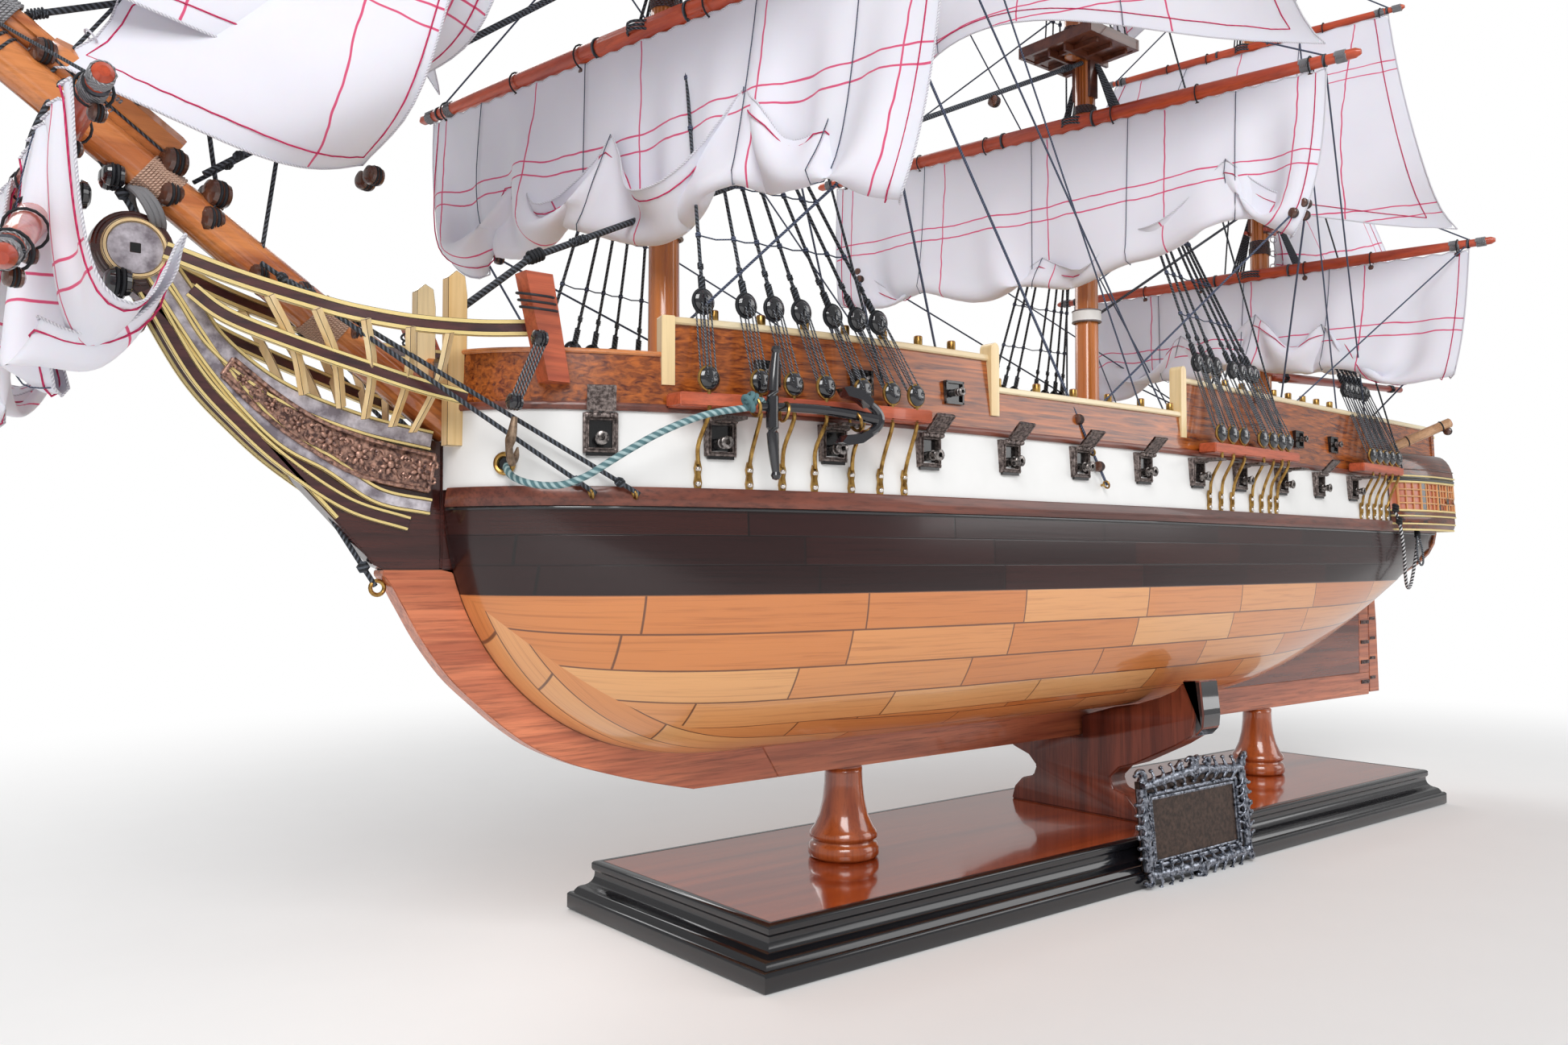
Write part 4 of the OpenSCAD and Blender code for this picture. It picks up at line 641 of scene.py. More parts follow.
def nameplate():
    """Cast plate: a plain recessed field in a frame of leaf scrolls. It carries no lettering."""
    low, high = (np.array(v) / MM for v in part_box("nameplate"))
    lean = math.atan2(high[1] - low[1] - 4, high[2] - low[2])
    place = at((low[0] + high[0]) / 2, low[1] + 1.8, low[2] + 1) @ Matrix.Rotation(-lean, 4, "X")
    half, top = (high[0] - low[0]) / 2 - 3, high[2] - low[2] - 6
    shape = Shape()
    shape.box((-half + 3, 0.8, 3), (half - 3, 3.2, top - 2), 1, place)
    for inset, bulge in ((8.2, 1.0), (10, 0.7)):
        x1, z0, z1 = half - inset, inset - 1, top - inset
        bead = [(-x1, 0.6, z0), (x1, 0.6, z0), (x1, 0.6, z1), (-x1, 0.6, z1), (-x1, 0.6, z0)]
        for a, b in zip(bead, bead[1:]):
            shape.tube([a, b], bulge, 6, 0, place)

    def leaf(x, z, length, heading, curl, width=1.5, lift=0.0):
        """Leaf that tapers and curls up into a bud."""
        t = np.linspace(0, 1, 12)
        angle = heading + curl * t**1.6
        step = length / 12 * np.stack([np.cos(angle), np.zeros(12), np.sin(angle)], -1)
        path = np.array([x, -0.2 - lift, z]) + np.cumsum(step, axis=0)
        path[:, 1] -= 1.1 * np.sin(math.pi * t)
        shape.tube(path, width * (1.1 - 0.75 * t), 6, 0, place)
        bud = at(*path[-1])
        shape.lathe([(0, -1), (0.9, -0.5), (1.1, 0), (0.9, 0.5), (0, 1)], 8, 0, place @ bud)

    def border(start, end, count, outward):
        """Overlapping leaves on both sides of a stem from start to end."""
        start, end = np.array(start), np.array(end)
        heading = math.atan2(end[1] - start[1], end[0] - start[0])
        stem = [(p[0], 0.2, p[1]) for p in (mix(start, end, t) for t in np.linspace(0, 1, 9))]
        shape.tube(stem, 2.3, 8, 0, place)
        for k in range(count):
            p = mix(start, end, (k + 0.5) / count)
            for turn in (-1, 1):
                leaf(
                    p[0], p[1], 7.5, heading + turn * 0.35, turn * 1.5 * (1 if turn == outward else 0.7),
                    1.2
                )

    border((-half + 3.5, top - 4), (-2, top - 1), 5, 1)
    border((half - 3.5, top - 4), (2, top - 1), 5, -1)
    border((-half + 3.5, 4), (-2, 3), 5, -1)
    border((half - 3.5, 4), (2, 3), 5, 1)
    for side in (-1, 1):
        border((side * (half - 3.5), 6), (side * (half - 3.5), top / 2), 4, -side)
        border((side * (half - 3.5), top - 5), (side * (half - 3.5), top / 2), 4, side)
        leaf(side * (half - 3), top - 3, 10, math.pi / 2 + side * 0.35, -side * 3.2, 2.2)
        leaf(side * (half - 3), 6, 9, -math.pi / 2 - side * 0.5, side * 3.0, 2.0)
        leaf(side * 12, top + 0.5, 6, math.pi / 2, side * 3.4, 1.6)
        leaf(side * 1.5, top, 8, math.pi / 2 + side * 0.4, -side * 3.0, 1.9)
        leaf(side * 1.2, 3, 6, -math.pi / 2 - side * 0.5, side * 2.6, 1.8)
    leaf(0, top - 2, 6, math.pi / 2, 0.4, 2.4)
    leaf(0, 4, 7, -math.pi / 2, -0.4, 2.6)
    shape.piece("plate_scrolls", [PLATE_METAL, PLATE_FIELD], ["nameplate"], "dark_pewter", sharp=60)


def cradle():
    """Cradle board with black caps, and the two turned pedestals."""
    def cap(low, high):
        return int(low[1] * high[1] > 0)

    softened("cradle", "cradle_board", [ROSEWOOD, BLACK_GLOSS], 0.6, cap)
    softened("pedestals", "turned_pedestals", [MAHOGANY_TURNED], 0.2)


# ---------------------------------------------------------------- backbone

STEM_EDGE = [
    (-236, 56), (-255, 60.5), (-271, 65), (-286, 70), (-300, 76.5), (-311, 84), (-321, 92.5), (-331, 102),
    (-340, 114), (-347, 126), (-352, 134), (-366, 150), (-387, 172), (-403, 190), (-417, 208), (-429, 218)
]
KNEE_TOP = [(-424, 233), (-416, 229), (-409, 214), (-400, 201), (-385, 190), (-361, 182), (-334.2, 178)]
KNEE_Z = KEEL_Z + 81
KNEE_X = -353
SCARF_X = -196
PINTLE_X = 286
STRAP_PITCH = 12.5


def smooth_line(points, count=60):
    """Catmull-Rom curve through points, evenly spread."""
    p = np.array(points, float)
    p = np.concatenate([[2 * p[0] - p[1]], p, [2 * p[-1] - p[-2]]])
    t = np.linspace(0, len(points) - 1, count)
    i = np.minimum(t.astype(int), len(points) - 2)
    f = (t - i)[:, None]
    a, b, c, d = p[i], p[i + 1], p[i + 2], p[i + 3]
    return 0.5 * (2 * b + (c - a) * f + (2 * a - 5 * b + 4 * c - d) * f**2 + (3 * b - a - 3 * c + d) * f**3)


def rabbet(z0, z1, count):
    return [(float(stem_at(z)), float(z)) for z in np.linspace(z0, z1, count)]


def backbone():
    """Stem, keel, deadwood and sternpost, with the rudder's straps and sockets."""
    edge = smooth_line(STEM_EDGE, 90)
    lower = [tuple(p) for p in edge if p[1] < KNEE_Z]
    shape = Shape()
    shape.plate(
        [
            (SCARF_X, KEEL_Z), *lower, (KNEE_X, KNEE_Z), (STEM_X - 0.2, KNEE_Z),
            *rabbet(KNEE_Z - 1, RABBET_Z + 0.1, 24), (SCARF_X - 9, RABBET_Z)
        ],
        -HALF_KEEL, HALF_KEEL, 1
    )
    shape.plate(
        [
            (SCARF_X + 0.15, KEEL_Z), (SCARF_X - 8.85, RABBET_Z), (STERNPOST_X + 4, RABBET_Z),
            (STERNPOST_X + 4, KEEL_Z)
        ],
        -HALF_KEEL, HALF_KEEL, 0
    )
    run = [(x, float(keel_line(x)) + 0.4) for x in np.linspace(RUN_X, STERNPOST_X - 8, 24)]
    shape.plate([(RUN_X, RABBET_Z - 0.1), *run, (STERNPOST_X - 8, RABBET_Z - 0.1)], -HALF_KEEL, HALF_KEEL, 2)
    shape.box((STERNPOST_X - 8, -HALF_KEEL, RABBET_Z), (STERNPOST_X + 4, HALF_KEEL, TUCK_Z + 1), 0)
    shape.piece(
        "keel_and_stem", [KEEL_WOOD, STEM_WOOD, DEADWOOD], bevel=0.7, nodes=["keel"], slot="keel_wood"
    )
    iron = Shape()
    for k in range(5):
        z = KEEL_Z + 7 + STRAP_PITCH * k
        iron.box((STERNPOST_X - 6, -HALF_KEEL - 0.5, z), (STERNPOST_X + 4.4, HALF_KEEL + 0.5, z + 2.2))
        iron.lathe([(0.86, 0), (1.7, 0), (1.7, 2), (0.86, 2)], 16, 0, at(PINTLE_X, 0, z))
        for side in (-1, 1):
            for x in (-3.5, 1.5):
                dome = dome_frame(STERNPOST_X + x, side * (HALF_KEEL + 0.5), z + 1.1, side)
                iron.lathe([(0.8, 0), (0.6, 0.4), (0, 0.55)], 8, 0, dome)
    iron.piece("sternpost_irons", RUDDER_IRON, slot="keel_wood", bevel=0.15)


def rudder():
    """Blade with its straps and their rivets."""
    def strap(low, high):
        return int(high[2] - low[2] < 20)

    softened("rudder", "rudder_blade", [KEEL_WOOD, RUDDER_IRON], 0.5, strap, "rudder")
    shape = Shape()
    for k in range(5):
        z = KEEL_Z + 9.1 + STRAP_PITCH * k
        for side in (-1, 1):
            y = side * 3.02
            shape.box((PINTLE_X + 2.4, y - 0.25, z), (PINTLE_X + 9.5, y + 0.25, z + 1.9))
            for x in (PINTLE_X + 4, PINTLE_X + 8):
                dome = dome_frame(x, side * 3.27, z + 0.95, side)
                shape.lathe([(0.7, 0), (0.5, 0.35), (0, 0.5)], 8, 0, dome)
    shape.piece("rudder_straps", RUDDER_IRON, slot="rudder_wood", body="rudder", bevel=0.1)


# ---------------------------------------------------------------- hull sides


def spread(n):
    """0 to 1 with finer steps at both ends."""
    return (1 - np.cos(np.linspace(0, math.pi, n))) / 2


def side_rows(heights, from_x, to_x, stations=150):
    """Stations and heights of a strip of the side, as arrays of rows by stations."""
    z = np.repeat(np.asarray(heights, float)[:, None], stations, 1)
    x0, x1 = np.maximum(from_x, stem_at(z)), np.minimum(to_x, stern_at(z))
    return mix(x0, x1, spread(stations)[None]), z


def strip(shape, heights, from_x, to_x, offset=0.0, strakes=None, paint=0, stations=150):
    """One surface of the side. strakes gives the strake coordinate of each height for a planked material."""
    x, z = side_rows(heights, from_x, to_x, stations)
    v = z * MM if strakes is None else np.repeat(np.asarray(strakes, float)[:, None], x.shape[1], 1)
    off = np.broadcast_to(np.asarray(offset, float), x.shape[:1])[:, None] + 0 * x
    shape.grid(hull_point(x, z, off), np.stack([x * MM, v], -1), paint)


def moulded(shape, profile, from_x, to_x, paint=0, stations=120):
    """Closed moulding along the side: profile is [offset, height] points round its section."""
    profile = [*profile, profile[0]]
    strip(shape, [p[1] for p in profile], from_x, to_x, [p[0] for p in profile], None, paint, stations)
    for end in (0, -1):
        x, z = side_rows([p[1] for p in profile[:-1]], from_x, to_x, stations)
        cap = hull_point(x[:, end], z[:, end], np.array([p[0] for p in profile[:-1]]))
        shape.add(cap, [list(range(len(cap)))], None, paint)


STRAKE = 13
TOP_STRAKES = 4


def bottom():
    """Upper strakes run level, lower ones follow the keel, and the two sets meet in tapered ends."""
    x = mix(float(stem_at(WATERLINE_Z)) + 0.02, float(stern_at(WATERLINE_Z)) - 0.02, spread(190))
    t = np.linspace(0, 1, 90)
    z = mix(WATERLINE_Z, keel_line(x)[:, None], t[None])
    y = half_breadth(x[:, None] + 0 * z, z)
    girth = np.concatenate([np.zeros((len(x), 1)), np.cumsum(np.hypot(np.diff(y), np.diff(z)), axis=1)], 1)
    total = girth[:, -1]
    split = np.minimum(TOP_STRAKES * STRAKE, 0.6 * total * (0.55 + 0.45 * np.clip(total / 90, 0, 1)))
    shape = Shape()
    for lower in (0, 1):
        part = np.linspace(0, 1, 34)[None]
        g = mix(split[:, None], total[:, None], part) if lower else mix(0, split[:, None], part)
        height = np.array([np.interp(a, b, c) for a, b, c in zip(g, girth, z)])
        strake = (20 + (total[:, None] - g) / (STRAKE * 0.86)) if lower else g / STRAKE
        xx = x[:, None] + 0 * g
        shape.grid(hull_point(xx, height), np.stack([xx * MM, strake], -1))
    shape.both_sides()
    shape.piece("bottom_strakes", BOTTOM_PLANKS, ["bottom_planking"], "honey_planks")


def sides():
    """Dark topside strakes, the painted gun band, and the wale, moulding and black bead that edge them."""
    shape = Shape()
    strip(
        shape, [WATERLINE_Z, WATERLINE_Z + 9.5, WATERLINE_Z + 19, WALE_Z + 0.5], STEM_X, STERN_X, 0,
        [0, 1, 2, 3]
    )
    shape.both_sides()
    shape.piece("topside_strakes", TOPSIDE_PLANKS, ["topside_planking"], "maroon_planks")
    band = Shape()
    strip(band, [BAND_Z - 0.5, BAND_Z + 8, BAND_Z + 16, MOULDING_Z + 0.5], STEM_X, STERN_X)
    band.both_sides()
    band.piece("painted_band", WHITE_PAINT, ["gun_bands"], "white_paint")
    wale = Shape()
    for z0, z1, edge, out, corner in (
        (WALE_Z, BAND_Z, 1.1, 1.4, 0.5), (MOULDING_Z, BULWARK_Z, 0.9, 1.3, 0.7)
    ):
        board = [(0, z0), (edge, z0), (out, z0 + corner), (out, z1 - corner), (edge, z1), (0, z1)]
        moulded(wale, board, STEM_X + 0.5, STERN_X)
    z0, z1 = WALE_Z - 1.1, WALE_Z - 0.05
    bead = [(0, z0), (0.7, z0), (0.9, WALE_Z - 0.6), (0.7, z1), (0, z1)]
    moulded(wale, bead, STEM_X + 0.5, STERN_X, 1)
    wale.both_sides()
    wale.piece("wale_strakes", [WALE_WOOD, TRIM_BLACK], ["wales"], "brown_strake")


RAILS = [(STEM_X, BOW_RAIL_X, BOW_RAIL_Z), (BOW_RAIL_X, FORE_BREAK_X, FORE_RAIL_Z),
         (FORE_BREAK_X, AFTER_BREAK_X, WAIST_RAIL_Z), (AFTER_BREAK_X, STERN_X, AFTER_RAIL_Z)]


def bulwarks():
    """Outer and inner skins of each stretch, its cap rail, and the timberheads at the steps."""
    skin, rail = Shape(), Shape()
    for k, (x0, x1, top) in enumerate(RAILS):
        strip(skin, [BULWARK_Z - 1, mix(BULWARK_Z, top, 0.5), top], x0, x1, 0.0, None, 0, 70)
        strip(skin, [top, DECK_Z + DECK_THICKNESS], x0, x1, -PLANK, None, 1, 70)
        for end in (0, -1):
            x, z = side_rows([BULWARK_Z, top, top, BULWARK_Z], x0, x1, 70)
            cap = hull_point(x[:, end], z[:, end], np.array([0.0, 0, -PLANK, -PLANK]))
            skin.add(cap, [[0, 1, 2, 3]])
        reach = 1.2 if k else 0.9
        high = top + (CAP_RAIL if k else 1.6)
        section = [
            (-PLANK - reach, top), (reach - 0.4, top), (reach, top + 0.5), (reach, high - 0.5),
            (reach - 0.5, high), (-PLANK - reach + 0.5, high), (-PLANK - reach, high - 0.5)
        ]
        if k:
            moulded(rail, section, x0, x1, 0, 70)
        else:
            moulded(rail, section, x0 + 0.5, x1 - 4, 1, 70)
    steps = [
        (BOW_RAIL_X - 2, BOW_RAIL_Z, FORE_RAIL_Z), (FORE_BREAK_X + 2, WAIST_RAIL_Z, FORE_RAIL_Z),
        (AFTER_BREAK_X - 2, WAIST_RAIL_Z, AFTER_RAIL_Z)
    ]
    for x, low, high in steps:
        place = on_side(x, low, -PLANK / 2)
        top = high - low + (7 if x > BOW_RAIL_X else 2.4)
        corner = 2.2 if x > BOW_RAIL_X else 0.4
        half, level = 2.2, top - corner
        arc = [(half - corner + corner * math.cos(a), level + corner * math.sin(a)) for a in (0.5, 1.1, 1.57)]
        outline = [
            (-half, -9), (half, -9), (half, level), *arc, *[(-u, v) for u, v in arc[::-1]], (-half, level)
        ]
        rail.plate(outline, -2.9, 2.9, 2, place)
    skin.both_sides()
    rail.both_sides()
    skin.piece("bulwark_skins", [TIGER_WOOD, YELLOW], ["bulwarks"], "tiger_wood")
    rail.piece("rails_and_posts", [PALE_WOOD, SPAR_WOOD, POST_WOOD], ["cap_rails"], "pale_rail", bevel=0.15)


def decks():
    """Planked decks, with upright battens across the bulkheads at the steps."""
    softened("decks", "planked_decks", [DECK_PLANKS], 0.15)
    side = Shape()
    for x in (FORE_BREAK_X + 8, AFTER_BREAK_X - 8):
        half = float(half_breadth(x, DECK_Z)) - 7
        for y in np.linspace(-half, half, 13):
            side.box((x - 1.2, y - 0.5, DECK_Z + 2.1), (x + 1.2, y + 0.5, RAISED_DECK_Z + 1.8))
    side.piece("bulkhead_battens", FITTING_WOOD, slot="fitting_wood", bevel=0.15)


# ---------------------------------------------------------------- guns and their ports

PORT_HALF = (5.5, 6.25)
# The lids' pins, outward from the hull and above a port's middle
PIN_OUT = 3.3
PIN_UP = 5.35


def gunports():
    """Cast frames with a raised lip, hinge knuckles, a dark well and a sill. The well is a near-black plate
    across the opening, painted shade for the inside of the port.
    """
    section = [
        (0, -0.6), (0, 1.5), (0.3, 2.0), (0.8, 2.15), (1.0, 1.7), (1.3, 1.7), (1.5, 2.3), (1.85, 2.3),
        (1.95, 0.22)
    ]
    shape = Shape()
    for x in GUN_PORTS:
        place = on_side(x, PORT_Z)
        rows = [[(sx * (PORT_HALF[0] - i), y, PORT_HALF[1] - 1.23 * i if sz > 0 else -PORT_HALF[1] + 0.82 * i)
                 for sx, sz in ((-1, -1), (1, -1), (1, 1), (-1, 1))] for i, y in section]
        shape.grid(np.array(rows), None, 0, place, wrap=True)
        # Near-black plate across the port's opening: painted shade for the dark inside of the port.
        shape.box((-3.7, 0.2, -4.8), (3.7, 0.3, 4), 1, place)
        shape.box((-4.6, -0.2, -7.2), (4.6, 1.6, -6.1), 1, place)
        shape.box((-3.4, 1.4, 4.9), (3.4, 2.9, 5.7), 0, place)
        for k in (-1, 1):
            knuckle = place @ at(k * 3.9 - 1.1, PIN_OUT, PIN_UP) @ FLAT_X
            shape.lathe(
                [
                    (0, 0), (0.8, 0), (0.95, 0.25), (0.95, 0.9), (0.75, 1.1), (0.95, 1.3), (0.95, 2),
                    (0.8, 2.2), (0, 2.2)
                ],
                14, 0, knuckle
            )
            shape.box((k * 3.9 - 0.9, 1.9, 4.3), (k * 3.9 + 0.9, 3.2, 5.4), 0, place)
            shape.lathe([(0.55, 0), (0.45, 0.35), (0, 0.5)], 8, 0, place @ at(k * 4.7, 1.9, -5.4) @ OUTWARD)
    for x in UPPER_PORTS:
        place = on_side(x, UPPER_PORT_Z)
        # Near-black plate across the upper port's opening, painted shade for its inside, and a black frame
        # round it.
        shape.box((-4.6, -0.4, -4.2), (4.6, 0.5, 4.2), 1, place)
        for low, high in (((-4.6, 0, 3.4), (4.6, 1.5, 4.3)), ((-4.6, 0, -4.3), (4.6, 1.5, -3.4)),
                          ((-4.6, 0, -4.3), (-3.8, 1.5, 4.3)), ((3.8, 0, -4.3), (4.6, 1.5, 4.3))):
            shape.box(low, high, 1, place)
    shape.both_sides()
    shape.piece("port_castings", [PEWTER, BLACK_AND_HOLE_SHADE], ["gunport_frames"], "dark_pewter", bevel=0.12, sharp=40)


def guns():
    """Barrels with a ring at mid length and a swelled muzzle round a dark bore."""
    # Radii as shares of the barrel's, at shares of its reach and at lengths behind its muzzle
    breech = [(0.95, 0), (0.9, 0.35), (1.05, 0.37), (1.05, 0.43), (0.85, 0.45)]
    muzzle = [
        (0.78, 2.2), (0.98, 1.9), (0.98, 1.6), (0.85, 1.4), (1.18, 0.6), (1.18, 0.2), (1, 0), (0.5, 0),
        (0.45, 2.5), (0, 2.5)
    ]
    shape = Shape()
    lower = [(x, PORT_Z - 2, 1.8, 6.7) for x in GUN_PORTS]
    upper = [(x, UPPER_PORT_Z, 1.45, 5.2) for x in UPPER_PORTS]
    for x, z, r, reach in lower + upper:
        profile = [(k * r, t * reach) for k, t in breech] + [(k * r, reach - t) for k, t in muzzle]
        shape.lathe(profile, 20, 0, on_side(x, z, 0.2) @ OUTWARD)
    shape.both_sides()
    shape.piece(
        "gun_barrels", cast("gun_metal", (0.05, 0.045, 0.045), (0.42, 0.38, 0.36), 0.28, 0.9, 900),
        ["guns"], "gun_bronze"
    )


def lid_shape():
    """Lid in its hinge's own frame: hinge along X, closed lid hanging down, Y outward."""
    shape = Shape()
    shape.box((-4.5, -0.3, -9.4), (4.5, 0.3, -1.4))
    for low, high in (
        ((-4.5, -9.4), (-3.7, -1.4)), ((3.7, -9.4), (4.5, -1.4)), ((-3.7, -9.4), (3.7, -8.8)),
        ((-3.7, -2.0), (3.7, -1.4))
    ):
        shape.box((low[0], -0.52, low[1]), (high[0], 0.52, high[1]))
    for k in range(8):
        z = -8.6 + 0.82 * k
        shape.box((-3.7, -0.45, z), (3.7, 0.45, z + 0.5))
    for x in (-1.7, 1.7):
        shape.box((x - 0.8, -0.42, -2), (x + 0.8, 0.42, -0.3))
    shape.lathe(
        [
            (0.46, -2.55), (0.8, -2.55), (0.95, -2.3), (0.95, -0.6), (0.75, -0.3), (0.75, 0.3), (0.95, 0.6),
            (0.95, 2.3), (0.8, 2.55), (0.46, 2.55)
        ],
        16, 0, FLAT_X
    )
    return shape


def lids():
    """One lid for each hinge, turned to the angle that the CAD lid rests at."""
    for side, name in ((1, "starboard"), (-1, "port")):
        for k, x in enumerate(GUN_PORTS):
            node = f"{name}_lid_{k + 1}"
            low, high = (Vector(v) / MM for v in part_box(node))
            place = on_side(x, PORT_Z, PIN_OUT) @ at(0, 0, PIN_UP)
            hinge = place.translation
            out = (low[1] + high[1]) / 2 * side - hinge[1]
            angle = math.atan2(out, hinge[2] - (low[2] + high[2]) / 2)
            if node.endswith("_lid_1"):
                angle = math.radians(168)
            m = place @ Matrix.Rotation(angle, 4, "X")
            shape = lid_shape()
            shape.points = [
                np.c_[p, np.ones(len(p))] @ np.array(m)[:3].T * [1, side, 1] for p in shape.points
            ]
            shape.piece(f"{node}_casting", PEWTER, [node], "dark_pewter", node, bevel=0.1, sharp=40)


# ---------------------------------------------------------------- channels, deadeyes and chains

FORE_CHAINS = [-271.5, -254, -242, -229.6, -214.5, -202, -191]
MAIN_CHAINS = [3, 13.5, 24, 43, 53, 62, 69]
MIZZEN_CHAINS = [172, 181, 190, 199, 208]
EYE_Z = KEEL_Z + 141.5
SHROUDS = [
    (FORE_CHAINS, FORE_MAST_X, 374, KEEL_Z + 168), (MAIN_CHAINS, MAIN_MAST_X, 393, KEEL_Z + 175),
    (MIZZEN_CHAINS, MIZZEN_MAST_X, 352, KEEL_Z + 179)
]
EYE_PROFILE = [
    (0, 1.8), (1.9, 1.8), (3.0, 1.5), (3.65, 0.85), (3.4, 0), (3.65, -0.85), (3.0, -1.5), (1.9, -1.8),
    (0, -1.8)
]


def shroud_line(x, mast_x, top_z, k):
    """Foot and head of one shroud on the starboard side."""
    foot = np.array([x, float(half_breadth(x, CHANNEL_Z)) + CHANNEL_REACH - 1.2, EYE_Z])
    return foot, np.array([mast_x + 1.5 + 0.5 * k, 5.5, top_z - 5])


def seizing(shape, start, end, radius, wire, turns, paint=0):
    """Close turns of thin line round a rope."""
    start, end = np.array(start, float), np.array(end, float)
    axis = (end - start) / np.linalg.norm(end - start)
    side = np.cross(axis, UP if abs(axis[2]) < 0.9 else [1, 0, 0])
    side /= np.linalg.norm(side)
    up = np.cross(side, axis)
    a = np.linspace(0, 2 * math.pi * turns, 10 * turns + 1)[:, None]
    path = start + (end - start) * a / a[-1] + radius * (np.cos(a) * side + np.sin(a) * up)
    shape.tube(path, wire, 5, paint)


def deadeye(shape, centre, holes_up):
    """Grooved disc with three holes, two of them above or below the third."""
    place = at(*centre) @ OUTWARD
    shape.lathe(EYE_PROFILE, 28, 0, place)
    for x, z in eye_holes(holes_up):
        for y in (-1.75, 1.75):
            shape.ring(np.array(centre) + (x, y, z), 0.62, 0.2, (0, 1, 0), 0, 10)


def eye_holes(up):
    return [(-1.6, 0.7 * up), (0, -1.3 * up), (1.6, 0.7 * up)]


def deadeyes():
    """Deadeyes in brass straps, their lanyards, the seized shroud ends and the chainplates."""
    eyes, cords = Shape(), Shape()
    for chains, mast_x, top_z, eye_z in SHROUDS:
        for k, x in enumerate(chains):
            foot, head = shroud_line(x, mast_x, top_z, k)
            upper = mix(foot, head, (eye_z - foot[2]) / (head[2] - foot[2]))
            along = (head - foot) / np.linalg.norm(head - foot)
            deadeye(eyes, foot, 1)
            deadeye(eyes, upper, -1)
            eyes.ring(foot, 3.75, 0.55, (0, 1, 0), 1, 28)
            eyes.tube([foot - (0, 0, 3.6), foot - (0, 0, 5.2)], 0.8, 8, 1)
            for y in (-1.9, 1.9):
                for (x0, z0), (x1, z1) in zip(eye_holes(1), eye_holes(-1)):
                    cords.tube([foot + (x0, y, z0), upper + (x1, y, z1)], 0.27, 6, 0)
            cords.ring(upper, 3.9, 0.55, (0, 1, 0), 1, 24)
            seizing(cords, upper + 4.0 * along, upper + 9.5 * along, 0.9, 0.42, 7, 1)
            seizing(cords, upper + 12.5 * along, upper + 14.5 * along, 0.75, 0.35, 3, 1)
            chainplate(eyes, x, foot[1])
    eyes.both_sides()
    cords.both_sides()
    eyes.piece("deadeyes_and_chains", [BLACK_GLOSS, BRASS, NAIL], ["deadeyes"], "deadeye_black")
    cords.piece("lanyards", [LANYARD, DARK_ROPE], slot="dark_rope")


def chainplate(shape, x, y):
    """Bent brass bar from the channel's edge, hammered flat at its foot, with two nails."""
    def side(z, out):
        return hull_point(x + 0.5, z, out)

    sway = 0.9 * math.sin(1.7 * x)
    knee = side(BAND_Z + 14, 3.2) + (sway, 0, 0)
    path = smooth_line(
        [
            (x, y + 0.4, CHANNEL_Z + 0.4), (x + 0.1, y - 0.2, CHANNEL_Z - 3), knee, side(BAND_Z + 8, 1.5),
            side(BAND_Z + 3, 1.1)
        ],
        18
    )
    shape.tube(path, 0.72, 8, 1)
    place = on_side(x + 0.5, BAND_Z + 4)
    outline = [
        (-0.7, 5), (0.7, 5), (1.3, 2.5), (0.9, 0.4), (1.35, -2.2), (0.9, -5), (0, -5.6), (-0.9, -5),
        (-1.35, -2.2), (-0.9, 0.4), (-1.3, 2.5)
    ]
    shape.plate(outline, 0.2, 1.15, 1, place)
    for z in (2.2, -2.6):
        shape.lathe([(1.0, 0), (0.9, 0.4), (0.5, 0.75), (0, 0.85)], 12, 2, place @ at(0, 1.15, z) @ OUTWARD)


def channels():
    softened("channels", "channel_planks", [CHANNEL_WOOD], 0.5)


# ---------------------------------------------------------------- anchors and catheads

ANCHOR_RING = np.array([-260.5, 72.6, 188.6])
ANCHOR_CABLE = [
    (-323, 27, 170), (-325, 31, 168), (-325, 35, 165.6), (-323, 40, 163.6), (-319, 45, 162.6),
    (-315, 50, 163), (-310, 54.5, 165.6), (-305, 58.5, 169.6), (-299, 62, 174), (-292, 65, 178.4),
    (-284, 67.8, 182.4), (-275, 70, 185.6), (-262, 72, 188.2)
]
QUARTER_ROPE = [
    (210, 56, 168), (211, 57.5, 164), (212.5, 58, 158), (214.5, 58, 151), (217, 57.6, 144), (219, 57, 137),
    (221, 56.4, 131), (224, 55.6, 126.4), (228, 54.8, 124.6), (232, 54.2, 126.4), (235, 54, 131),
    (237, 54.2, 137), (238.5, 54.6, 144), (239.5, 55, 151), (240, 55, 157)
]


